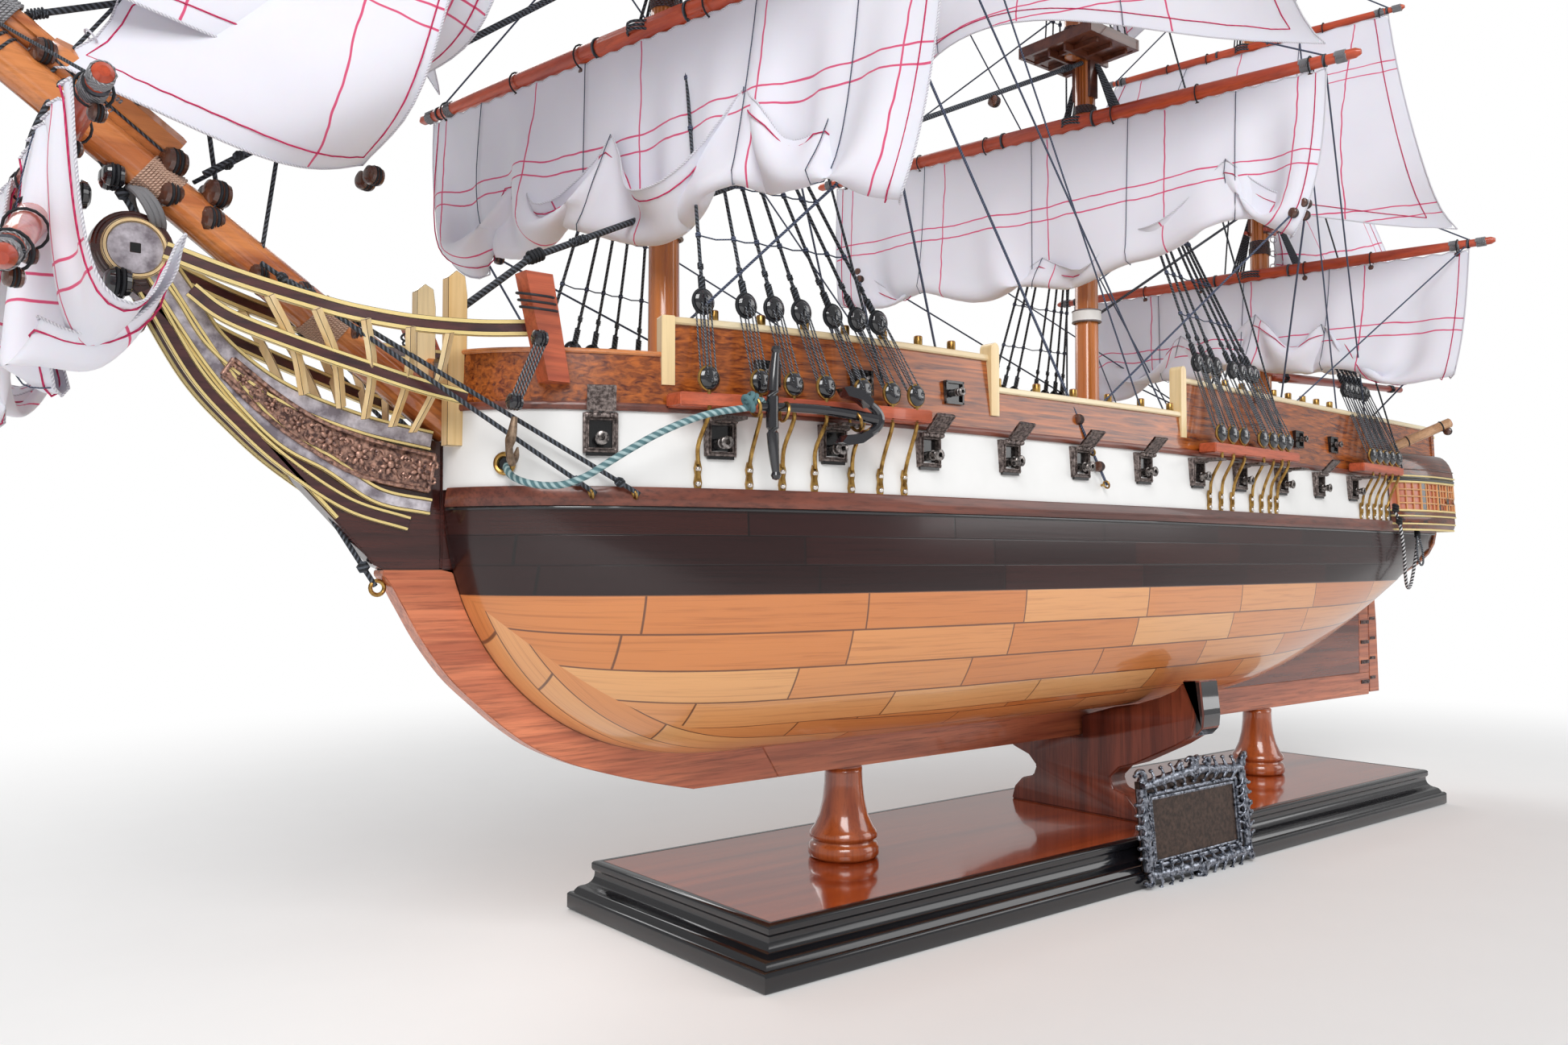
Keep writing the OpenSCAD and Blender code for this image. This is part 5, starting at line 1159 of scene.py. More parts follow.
def anchors():
    """Cast anchors with a curved stock, brass rings and broad flukes, and the catheads with their tackle."""
    shape = Shape()
    t = np.linspace(-1, 1, 25)
    stock = np.stack([-254.8 + 1.6 * t**2, 74.2 + 0 * t, 187 + 20 * t], -1)
    shape.tube(stock, 1.15 + 0.95 * (1 - t**2), 12)
    for z in (207, 167):
        shape.lathe([(0, -1.6), (1.2, -1.2), (1.7, 0), (1.2, 1.2), (0, 1.6)], 12, 0, at(-253.3, 74.2, z))
    place = at(*ANCHOR_RING) @ Matrix.Rotation(
        math.radians(8.9), 4, "Z"
    ) @ Matrix.Rotation(math.radians(1.9), 4, "Y")
    s = np.linspace(0, 1, 20)
    shape.tube(
        np.stack([1.8 + 44.5 * s, 0 * s, 1.2 * np.sin(math.pi * s)], -1), 1.35 + 0.55 * s, 12, 0, place
    )
    for up in (-1, 1):
        a = np.linspace(0, 1, 14)
        arm = np.stack([47.6 - 11.5 * a**1.8, 0 * a, up * 7.6 * a**0.8], -1)
        shape.tube(arm, 1.9 - 0.7 * a, 10, 0, place)
        palm = [(31.6, 9.0), (33.6, 6.4), (39.0, 5.6), (42.6, 3.6), (43.6, 6.0), (39.8, 8.6), (34.2, 9.8)]
        shape.plate([(x, up * z) for x, z in palm], -2.6, 2.6, 0, place)
    shape.ring(ANCHOR_RING, 3.1, 0.55, (1, 0.1, 0.25), 1)
    shape.ring(ANCHOR_RING + (10.5, 1.8, -1.2), 3.0, 0.55, (1, 0.2, -0.2), 1)
    shape.ring(ANCHOR_RING + (38, 5.4, -2.6), 3.1, 0.55, (1, 0.1, 0.3), 1)
    foot = [(-317, 35.5, 195), (-309.5, 35.5, 195), (-309.5, 42.5, 195), (-317, 42.5, 195)]
    end = [(-328.5, 42.5, 226), (-319.5, 42.5, 226), (-319.5, 49.5, 226), (-328.5, 49.5, 226)]
    sides = [(k, (k + 1) % 4, 4 + (k + 1) % 4, 4 + k) for k in range(4)]
    shape.add([*foot, *end], [(3, 2, 1, 0), (4, 5, 6, 7), *sides], None, 2)
    for z in (216, 218, 220):
        shape.ring((-321.6 - 0.3 * (z - 216), 44.6, z), 5.6, 0.4, (0, 0.2, 1), 4)
    # Hawse hole: a brass ring round a near-black disc that is painted shade for the inside of the hole.
    shape.ring(hull_point(-324, 170, 0.8), 2.9, 0.85, (-0.75, 0.65, 0), 1)
    shape.lathe([(0, 0), (2.6, 0), (2.8, 0.5)], 20, 5, on_side(-324, 170, 0.3) @ OUTWARD)
    for centre in ((-324, 50, 206), (-330, 46, 187)):
        block(shape, centre, 4.2, 0)
    for dx in (-1.6, -0.5, 0.6, 1.7):
        shape.tube([(-324 + dx, 51, 205), (-330 + dx, 47, 188)], 0.4, 6, 4)
    hook = smooth_line(
        [
            (-330, 46, 182.5), (-330.5, 45.6, 178), (-331, 44.6, 173.5), (-329.5, 43, 169.6),
            (-327.4, 41.6, 171), (-326.8, 41.8, 174)
        ],
        24
    )
    shape.tube(
        hook, np.interp(np.linspace(0, 1, 24), [0, 0.3, 0.75, 1], [0.9, 1.7, 1.5, 0.3]), 10, 3, flat=0.7
    )
    for x, z in ((-303, 160.5), (-291, 160.5), (-78, 171), (-86, 184)):
        eye = hull_point(x, z, 2.6)
        shape.ring(eye, 1.5, 0.42, (1, 0.2, 0.4), 1, 16)
        shape.tube([hull_point(x, z, 0), hull_point(x, z, 1.4)], 0.5, 8, 1)
    shape.both_sides()
    materials = [
        BLACK_IRON, BRASS, CHANNEL_WOOD,
        cast("hook_bronze", (0.14, 0.09, 0.06), (0.36, 0.26, 0.18), 0.4, 0.8), LANYARD, BLACK_AND_HOLE_SHADE
    ]
    shape.piece("anchors_and_catheads", materials, ["anchors"], "anchor_black", bevel=0.25)


def block(shape, centre, size=3.2, paint=0, rope_paint=None, heading=0.0):
    """Rounded block with grooves for its strap."""
    place = at(*centre) @ Matrix.Rotation(heading, 4, "Z") @ FLAT_X
    r, h = size * 0.62, size * 0.55
    profile = [
        (0, -h), (0.55 * r, -h), (0.9 * r, -0.75 * h), (r, -0.4 * h), (0.84 * r, -0.3 * h),
        (0.84 * r, -0.12 * h), (r, 0), (0.84 * r, 0.12 * h), (0.84 * r, 0.3 * h), (r, 0.4 * h),
        (0.9 * r, 0.75 * h), (0.55 * r, h), (0, h)
    ]
    shape.lathe(profile, 20, paint, place)
    if rope_paint is not None:
        for z in (-0.21 * h, 0.21 * h):
            shape.ring((0, 0, z), 0.9 * r, 0.12 * r, (0, 0, 1), rope_paint, 18, place)


def both_cords(name, route, radius, material, nodes=()):
    """A hanging rope on each side, each a piece of its own along the given route."""
    for side, word in ((1, "starboard"), (-1, "port")):
        path = smooth_line(route, 8 * len(route)) * [1, side, 1]
        shape = Shape()
        shape.tube(path, radius, 12)
        obj = shape.piece(f"{word}_{name}", material, nodes, "dark_rope")


def knots():
    """The cable's knot on the anchor ring, and the stopper knots and lashings of the quarter ropes."""
    cable, pale = Shape(), Shape()
    for k, (dx, dz) in enumerate(((-3.4, 0.4), (-1.8, -0.8), (-0.4, 0.9), (-2.6, 1.6))):
        cable.ring(
            ANCHOR_RING + (dx, 0.5, dz + 0.9), 1.6, 0.85, (1, 0.5 * math.sin(k), 0.7 * math.cos(k)), 0, 18
        )
    cable.tube(
        smooth_line([(-262, 73, 189.5), (-260, 74.5, 190.5), (-257.5, 73, 190.5), (-256, 72, 188)], 12),
        0.8, 8
    )
    for centre, size in (((210, 56.4, 170), 2.1), ((211.5, 57.6, 163), 1.9), ((240, 55, 155.5), 1.8)):
        for k in range(3):
            pale.ring(np.array(centre) + (0, 0, 1.3 * k - 1.3), size * 0.6, 0.8, (0.3 * k, 0.3, 1), 0, 14)
    loop = [
        (240, 55, 156), (236, 56.5, 150), (234, 57.5, 143), (236.5, 58, 138), (241, 57.5, 139),
        (243, 56.5, 145), (242, 55.5, 152), (240.5, 55, 156)
    ]
    pale.tube(smooth_line(loop, 50), 0.55, 8, 1)
    cable.both_sides()
    pale.both_sides()
    cable.piece("cable_knots", CABLE_ROPE, slot="dark_rope")
    pale.piece("quarter_knots", [PALE_ROPE, LANYARD], slot="dark_rope")


# ---------------------------------------------------------------- on deck


CAPSTAN_X = 98
WHEEL = (131.4, 0, 213)


def deck_fittings():
    """Gratings with their coamings, capstan, wheel stand, belaying pins and the steering wheel."""
    shape = Shape()
    gratings = [
        (-312, RAISED_DECK_Z, 26, 24), (-212, RAISED_DECK_Z, 40, 30), (-118, DECK_Z, 46, 44),
        (-62, DECK_Z, 34, 44), (26, RAISED_DECK_Z, 40, 34)
    ]
    for x, z, length, width in gratings:
        z += DECK_THICKNESS
        coaming = [
            ((0, 0), (length, 2)), ((0, width - 2), (length, width)), ((0, 2), (2, width - 2)),
            ((length - 2, 2), (length, width - 2))
        ]
        for low, high in coaming:
            shape.box((x + low[0], low[1] - width / 2, z), (x + high[0], high[1] - width / 2, z + 3))
        for y in np.arange(4, width - 2.5, 2.5):
            shape.box((x + 2, y - width / 2 - 0.5, z + 0.6), (x + length - 2, y - width / 2 + 0.5, z + 2))
        for dx in np.arange(4, length - 2.5, 2.5):
            shape.box((x + dx - 0.5, 2 - width / 2, z + 0.8), (x + dx + 0.5, width / 2 - 2, z + 2.2))
    capstan_foot = RAISED_DECK_Z + DECK_THICKNESS
    drum = [
        (0, 0), (6.5, 0), (6.5, 1.6), (5, 2.2), (4.5, 3), (3.8, 7), (4.2, 10), (5.5, 10.4), (5.5, 13),
        (5, 13.5), (0, 13.5)
    ]
    shape.lathe(drum, 32, 1, at(CAPSTAN_X, 0, capstan_foot))
    for a in np.linspace(0, 2 * math.pi, 9)[:-1]:
        place = at(CAPSTAN_X, 0, capstan_foot + 11.7) @ Matrix.Rotation(a, 4, "Z")
        # Near-black squares on the drumhead: painted shade for the capstan's bar holes.
        shape.box((5.4, -0.7, -0.7), (5.7, 0.7, 0.7), 3, place)
        shape.box((3.6, -0.4, -9), (4.8, 0.4, -2), 1, place)
    for x in (134, 142):
        shape.plate(
            [
                (-2.6, 0), (2.6, 0), (2.0, 3), (1.6, 12), (2.3, 14), (1.6, 16.4), (0, 17), (-1.6, 16.4),
                (-2.3, 14), (-1.6, 12), (-2.0, 3)
            ],
            x - 1, x + 1, 1, at(0, 0, RAISED_DECK_Z + DECK_THICKNESS), axis=0
        )
    pin = [(0, 0), (1.5, 0), (1.6, 0.3), (1.6, 3.6), (1.4, 3.9), (0.9, 4.0), (0.8, 3.7), (0, 3.7)]
    pin_rows = [
        (-262, -160, 7, FORE_RAIL_Z + CAP_RAIL), (16.5, 150, 9, AFTER_RAIL_Z + CAP_RAIL),
        (-136, -20, 6, WAIST_RAIL_Z + CAP_RAIL)
    ]
    for x0, x1, count, z in pin_rows:
        for x in np.linspace(x0, x1, count):
            for side in (-1, 1):
                p = hull_point(x, z, -PLANK / 2 - 0.4) * [1, side, 1]
                shape.lathe(pin, 16, 2, at(*p))
    shape.piece(
        "deck_details", [FITTING_WOOD, TOP_WOOD, BRASS, BLACK_AND_HOLE_SHADE], ["deck_fittings"], "fitting_wood", bevel=0.12
    )
    softened("steering_wheel", "wheel_rim", [MAST_WOOD], 0.2, body="steering_wheel")
    hub = Shape()
    for k in range(8):
        place = at(*WHEEL) @ Matrix.Rotation(k * math.pi / 4, 4, "X")
        hub.lathe([(0, 7.8), (0.7, 8.2), (0.5, 8.8), (0.8, 9.4), (0.5, 9.75), (0, 9.8)], 8, 0, place)
        hub.lathe([(0.3, 2.2), (0.7, 2.8), (0.75, 4.2), (0.4, 5.0), (0.3, 6.4)], 8, 0, place)
    hub.lathe(
        [(0, -0.4), (1.2, -0.2), (1.2, 0.4), (0.6, 0.9), (0, 0.9)], 16, 1,
        at(WHEEL[0] - 1.8, 0, WHEEL[2]) @ FLAT_X
    )
    hub.piece("wheel_spokes", [MAST_WOOD, BRASS], slot="fitting_wood", body="steering_wheel")


# ---------------------------------------------------------------- head of the ship

KNEE_HALF = 3.4
SCROLL = (-424, 226)
KNEE_BAND = [(-421, 229), (-411, 215), (-402, 202), (-385, 190), (-361, 182), (-338, 178)]
UPPER_CHEEK = [(-419, 220), (-402, 195), (-385, 177), (-370, 169), (-355, 160), (-338, 157)]
LOWER_CHEEK = [(-421, 215), (-408, 193), (-395, 179), (-382, 168), (-364, 157), (-345, 151.5)]
BOARD_TOP = [(-398, 198), (-385, 188.4), (-372, 181.4), (-354, 176.2), (-337, 173.4)]
BOARD_FOOT = [(-401, 193), (-390, 183), (-377, 174), (-361, 166), (-339, 162)]
UPPER_RAIL = [
    (-417, 7, 226), (-398, 11.5, 220), (-377, 16, 215), (-365, 20.5, 212.5), (-351, 25, 211),
    (-334, 29.5, 211), (-318, 35.5, 212)
]
LOWER_RAIL = [
    (-410, 7, 216), (-401, 10.4, 209), (-384, 13.8, 203), (-365, 17.2, 197.5), (-349, 20.6, 193),
    (-335, 24, 190)
]
HEAD_TIMBERS = [
    [(-391, 14, 216), (-379, 8, 189)], [(-379, 18, 213), (-368, 8, 186)], [(-366, 22, 211), (-361, 9, 183)],
    [(-354, 26, 209.5), (-353, 10, 181)], [(-343, 29, 208.5), (-347, 11, 179.5)]
]


def moulding(shape, route, sections, out=None):
    """Bars along a route. Each section gives its span up, its span outward and its material number."""
    path = np.array(route, float)
    heading = np.gradient(path, axis=0)
    heading /= np.linalg.norm(heading, axis=1, keepdims=True)
    if out is None:
        out = np.stack([-heading[:, 1], heading[:, 0], 0 * heading[:, 0]], -1)
        out /= np.linalg.norm(out, axis=1, keepdims=True)
    out = np.broadcast_to(np.asarray(out, float), path.shape)
    up = np.cross(heading, out)
    run = np.concatenate([[0], np.cumsum(np.linalg.norm(np.diff(path, axis=0), axis=1))]) * MM
    for (u0, u1), (o0, o1), paint_number in sections:
        corners = [(u0, o0), (u1, o0), (u1, o1), (u0, o1)]
        rows = np.stack([path + u * up + o * out for u, o in corners], 1)
        across = u0 * MM + np.array([[0, 0.001, 0, 0.001]])
        uvs = np.stack(np.broadcast_arrays(run[:, None], across), -1)
        shape.grid(rows, uvs, paint_number, None, wrap=True)
        for end in (0, -1):
            shape.add(rows[end], [(0, 1, 2, 3)], None, paint_number)


def flat(route, y, count=50):
    """Route in the plane of the knee, set out to one side."""
    line = smooth_line(route, count)
    return np.stack([line[:, 0], np.full(count, float(y)), line[:, 1]], -1)


def edged(width, depth, paint_number, edge=1.0, sunk=0.5):
    """Sections of a band with a yellow line at each edge."""
    h = width / 2
    return [
        ((-h, edge - h), (0, depth), 1), ((edge - h, h - edge), (0, depth - sunk), paint_number),
        ((h - edge, h), (0, depth), 1)
    ]


def head():
    """Knee with its round scroll, cheeks, rails, timbers and stem posts."""
    knee = Shape()
    edge = [tuple(p) for p in smooth_line(STEM_EDGE, 120) if p[1] > KNEE_Z]
    top = [tuple(p) for p in smooth_line(KNEE_TOP, 60)]
    knee.plate([(STEM_X - 0.2, KNEE_Z), (KNEE_X + 0.6, KNEE_Z), *edge, *top], -KNEE_HALF, KNEE_HALF)
    knee.box((STEM_X - 0.2, -3.8, KNEE_Z), (STEM_X + 5.8, 3.8, FORE_RAIL_Z - 10))
    round_head = at(SCROLL[0], 0, SCROLL[1]) @ Matrix.Rotation(math.pi / 2, 4, "X")
    knee.lathe([(0, -4.2), (9.8, -4.2), (10.6, -3.4), (10.6, 3.4), (9.8, 4.2), (0, 4.2)], 40, 0, round_head)
    knee.piece("knee_of_the_head", KNEE_WOOD, ["head_knee"], "dark_knee", bevel=0.5)

    trim = Shape()
    out = (0, 1, 0)
    moulding(trim, flat(KNEE_BAND, KNEE_HALF), edged(6.4, 1.7, 2), out)
    moulding(trim, flat(UPPER_CHEEK, KNEE_HALF), edged(5.4, 1.5, 2), out)
    moulding(trim, flat(LOWER_CHEEK, KNEE_HALF), edged(4.6, 1.2, 3), out)
    front = [(x + 1.0, z + 0.4) for x, z in smooth_line(STEM_EDGE, 90) if 150 < z < 214]
    moulding(trim, flat(front, KNEE_HALF), [((-0.6, 0.6), (-0.4, 0.7), 1)], out)
    disc = at(SCROLL[0], KNEE_HALF + 0.8, SCROLL[1]) @ OUTWARD
    trim.lathe([(7.0, 0.6), (7.2, 1.5), (8.2, 1.5), (8.5, 1.0), (8.5, 0)], 40, 4, disc)
    trim.lathe([(0, 1.0), (7.0, 1.0)], 40, 2, disc)
    trim.box(
        (SCROLL[0] - 1.4, KNEE_HALF, SCROLL[1] - 1.4), (SCROLL[0] + 1.4, KNEE_HALF + 1.95, SCROLL[1] + 1.4),
        5
    )
    for rail, half in ((UPPER_RAIL, 2.5), (LOWER_RAIL, 2.3)):
        bars = [((-half, -1.2), (-1.1, 1.1), 1), ((-1.2, 1.2), (-0.9, 0.8), 3), ((1.2, half), (-1.1, 1.1), 1)]
        moulding(trim, smooth_line(rail, 60), bars)
    for a, b in HEAD_TIMBERS:
        a, b = np.array(a, float), np.array(b, float)
        path = smooth_line([a, mix(a, b, 0.5) + (1.5, 1.4, 0), b], 12)
        moulding(trim, path, [((-1.3, 1.3), (-1.0, 1.0), 4)], (0.5, 0.86, 0))
    post = [(-3.2, 176), (3.2, 176), (3.2, 224), (2.4, 230), (-0.5, 231.5), (-3.2, 229)]
    trim.plate([(STEM_X + x, z) for x, z in post], 10, 14.5, 4)
    trim.both_sides()
    trim.piece(
        "head_timbers_and_rails", [KNEE_WOOD, YELLOW, SILVER_BAND, RAIL_DARK, POST_WOOD, BLACK_AND_HOLE_SHADE],
        ["head_rails"], "yellow_rail", bevel=0.12
    )
    trail_board()


def trail_board():
    """Copper relief: rosettes between paired scrolls, in a raised rim."""
    y = KNEE_HALF + 1.2
    top, foot = flat(BOARD_TOP, y, 60), flat(BOARD_FOOT, y, 60)
    shape = Shape()
    shape.grid(
        np.stack([mix(foot, top, t) + (0, 0.3 * math.sin(math.pi * t), 0) for t in np.linspace(0, 1, 5)])
    )
    back = np.stack([foot - (0, 1.2, 0), foot, top, top - (0, 1.2, 0)])
    shape.grid(back)
    for edge in (top, foot):
        shape.tube(edge + (0, 0.3, 0), 0.75, 8)
    for end in (0, -1):
        shape.tube([top[end] + (0, 0.3, 0), foot[end] + (0, 0.3, 0)], 0.75, 8)
    centre = mix(foot, top, 0.5)
    run = np.concatenate([[0], np.cumsum(np.linalg.norm(np.diff(centre, axis=0), axis=1))])
    count = int(run[-1] // 9)
    for k in range(count):
        i = int(np.searchsorted(run, (k + 0.5) * run[-1] / count))
        half = np.linalg.norm(top[i] - foot[i]) / 2 - 1.3
        along = centre[min(i + 1, 59)] - centre[i - 1]
        place = at(*(centre[i] + (0, 0.35, 0))) @ Matrix.Rotation(-math.atan2(along[2], along[0]), 4, "Y")
        size = min(half, 3.6)
        shape.lathe([(0, 1.3), (0.25 * size, 1.1), (0.34 * size, 0.7)], 10, 0, place @ OUTWARD)
        for a in np.linspace(0, 2 * math.pi, 8)[:-1]:
            spread_out = Matrix.Diagonal((0.36 * size, 0.8, 0.22 * size, 1))
            petal = place @ Matrix.Rotation(a, 4, "Y") @ at(0.62 * size, 0.35, 0) @ spread_out
            shape.lathe([(0, 1), (0.7, 0.7), (1, 0)], 8, 0, petal @ OUTWARD)
        for side in (-1, 1):
            a = np.linspace(0, 4.6, 16)
            r = 0.46 * size * (1 - a / 6.4)
            for up in (-1, 1):
                curl = np.stack(
                    [side * (4.5 - r * np.cos(a)), 0.5 + 0 * a, up * (0.5 * half + r * np.sin(a))], -1
                )
                shape.tube(curl, 0.42, 6, 0, place)
    shape.both_sides()
    shape.piece("trail_boards", COPPER, slot="dark_knee", sharp=50)


# ---------------------------------------------------------------- stern

GALLERY_X = (214, 284)


def gallery_line(height, extra, count=41):
    """Outer edge of the quarter gallery at a height above the keel."""
    t = np.linspace(0, 1, count)
    x = mix(GALLERY_X[0], GALLERY_X[1], t)
    reach = 13 * np.sin(np.radians(90 * np.minimum(1, 1.35 * t))) ** 0.6
    z = KEEL_Z + height + 0 * x
    return np.stack([x, half_breadth(x, z) + np.maximum(0.9, 0.6 + extra + reach), z], -1)


def course(shape, rows, paint_number):
    """One course of the gallery through [height, extra] rows, closed at its top, foot and after end."""
    lines = np.stack([gallery_line(h, e) for h, e in rows])
    shape.grid(lines, lines[:, :, [0, 2]] * MM, paint_number)
    inner = lines.copy()
    inner[:, :, 1] = half_breadth(inner[:, :, 0], inner[:, :, 2]) + 0.3
    for k in (0, -1):
        shape.grid(np.stack([lines[k], inner[k]]), None, paint_number)
    shape.grid(np.stack([lines[:, -1], inner[:, -1]]), None, paint_number)


def galleries():
    """Quarter galleries: burl courses, orange panes behind muntins, gold beads and a domed roof."""
    shape = Shape()
    arc = [(133 + 14.5 * math.sin(a), -0.3 - 8.5 * (1 - math.cos(a))) for a in np.linspace(0, math.pi / 2, 8)]
    courses = [
        (0, [(102, -2.4), (104, -1.4), (107, -0.9), (110, -1.1)]),
        (0, [(110, -1.0), (110.6, -0.4), (112.4, -0.4), (113, -1.0)]),
        (2, [(113, -1.7), (130, -1.7)]),
        (1, [(130, -1.0), (130.5, -0.2), (131.5, 0.1), (132.2, -0.4), (133, -0.4)]),
        (0, arc)
    ]
    for paint_number, rows in courses:
        course(shape, rows, paint_number)
    beads = [
        (102.2, -2.0, 0.6), (105.6, -1.0, 0.5), (110.1, -0.5, 0.5), (113.2, -0.8, 0.6), (129.8, -0.6, 0.6),
        (133.2, 0.0, 0.5), (137.2, -0.4, 0.35), (141.4, -2.2, 0.35)
    ]
    for h, e, r in beads:
        line = gallery_line(h, e)
        shape.tube(line, r, 8, 3 if h < 134 else 0)
        _, y, z = line[-1]
        after = GALLERY_X[1] + 0.4
        inboard = float(half_breadth(GALLERY_X[1], z)) + 1
        shape.tube([line[-1], (after, y, z), (after, inboard, z)], r, 8, 3)
    rows = np.stack([gallery_line(h, -1.3) for h in np.linspace(113.6, 129.4, 5)])
    for k in range(5):
        shape.tube(rows[k][3:], 0.5, 6, 4)
    stations = [3, 6.5, 10, 14, 17, 19, 22, 25, 27, 30, 33, 35, 38, 40]
    for s in stations:
        i, f = int(s), s - int(s)
        post = np.stack([mix(row[i], row[min(i + 1, 40)], f) for row in rows])
        wide = s in (3, 14, 17, 25, 27, 33, 35, 40)
        shape.tube(post, 0.75 if wide else 0.42, 6, 4)
    for a, b in ((14, 17), (25, 27), (33, 35)):
        gap = np.stack([row[a:b + 1] + (0, 0.35, 0) for row in rows])
        shape.grid(gap, None, 1)
    shape.both_sides()
    shape.piece(
        "gallery_courses", [BURL, TRIM_BLACK, ORANGE_PANE, YELLOW, MUNTIN_WOOD], ["quarter_galleries"],
        "gallery_burl", sharp=30
    )


def stern_panel():
    """Windows, counter mouldings and rosettes of the transom, and the plain parts inside the hull."""
    def pane(low, high):
        return int(high[1] - low[1] < 12)

    softened("transom", "transom_panel", [TIGER_WOOD, ORANGE_PANE], 0.3, pane)
    place = at(STERNPOST_X + 0.15, 0, TUCK_Z) @ Matrix.Rotation(math.atan(TRANSOM_RAKE), 4, "Y")
    shape = Shape()
    for y in (-26, -13, 0, 13, 26):
        bars = [
            ((-5.2, 41.3), (-4.4, 56.7)), ((4.4, 41.3), (5.2, 56.7)), ((-5.2, 41.3), (5.2, 42.1)),
            ((-5.2, 55.9), (5.2, 56.7)), ((-0.3, 42), (0.3, 56))
        ]
        for low, high in bars:
            shape.box((3, y + low[0], low[1]), (5, y + high[0], high[1]), 0, place)
        for z in (45.5, 49, 52.5):
            shape.box((3, y - 4.5, z - 0.3), (4.8, y + 4.5, z + 0.3), 0, place)
    rails = [
        (36, 1.8, 1.2, 0), (37.4, 1.2, 2.2, 1), (60, 1.8, 1.2, 0), (61.4, 1.2, 2.6, 1), (78, 1.6, 1, 0),
        (93, 2.2, 1.6, 0)
    ]
    for z, depth, height, paint_number in rails:
        half = float(half_breadth(STERNPOST_X, TUCK_Z + z)) - 0.6
        shape.box((3, -half, z), (3 + depth, half, z + height), paint_number, place)
    for k in range(9):
        y = -34 + 8.5 * k
        flower = place @ at(3, y, 69.5) @ FLAT_X
        shape.lathe([(3.4, 0), (3.2, 0.6), (2.2, 0.7), (1.6, 0.4), (0.9, 1.2), (0, 1.4)], 16, 0, flower)
        for a in np.linspace(0, 2 * math.pi, 7)[:-1]:
            shape.lathe(
                [(0.7, 0), (0.5, 1.0), (0, 1.2)], 6, 0, flower @ Matrix.Rotation(a, 4, "Z") @ at(1.9, 0, 0)
            )
    shape.piece("transom_trim", [YELLOW, TRIM_BLACK], slot="yellow_rail", bevel=0.1)
    softened("hull_frames", "inner_frames", [FITTING_WOOD], 0.0)
    softened("keel_screws", "keel_fixings", [NAIL], 0.15)


# ---------------------------------------------------------------- masts and spars

# Yards, as [mast x, distance forward of it, height, half length, middle diameter, slide to starboard]
YARDS = [
    (FORE_MAST_X, 9.1, 334.5, 143, 7.5), (FORE_MAST_X, 16, 474, 108, 6), (FORE_MAST_X, 20.6, 582, 76, 5),
    (FORE_MAST_X, 19.6, 655, 50, 4), (MAIN_MAST_X, 9.1, 357, 148, 7.5, 14), (MAIN_MAST_X, 16, 506, 112, 6),
    (MAIN_MAST_X, 20.6, 630, 80, 5), (MAIN_MAST_X, 19.6, 718, 54, 4), (MIZZEN_MAST_X, 8.6, 305, 124, 6.5),
    (MIZZEN_MAST_X, 15.4, 436, 86, 5), (MIZZEN_MAST_X, 20.3, 524, 60, 4.4),
    (MIZZEN_MAST_X, 19.6, 585, 40, 3.6)
]
MASTS = [("fore_mast", FORE_MAST_X, 374, 405, 530, 552), ("main_mast", MAIN_MAST_X, 393, 426, 570, 594),
         ("mizzen_mast", MIZZEN_MAST_X, 352, 380, 480, 500)]
DOUBLING = 9.5
BOWSPRIT = (np.array([-322.0, 0, 178]), np.array([-470.0, 0, 283.2]))
JIB_BOOM = (np.array([-414.0, 0, 256]), np.array([-612.0, 0, 392]))
SPRIT_YARD = (-446, 245)


def at_yard(y):
    """Frame at a yard's middle: local Y runs along the yard to starboard."""
    slide = y[5] if len(y) > 5 else 0
    return at(y[0] - y[1], 0, y[2]) @ Matrix.Rotation(BRACE_ANGLE, 4, "Z") @ at(0, slide, 0)


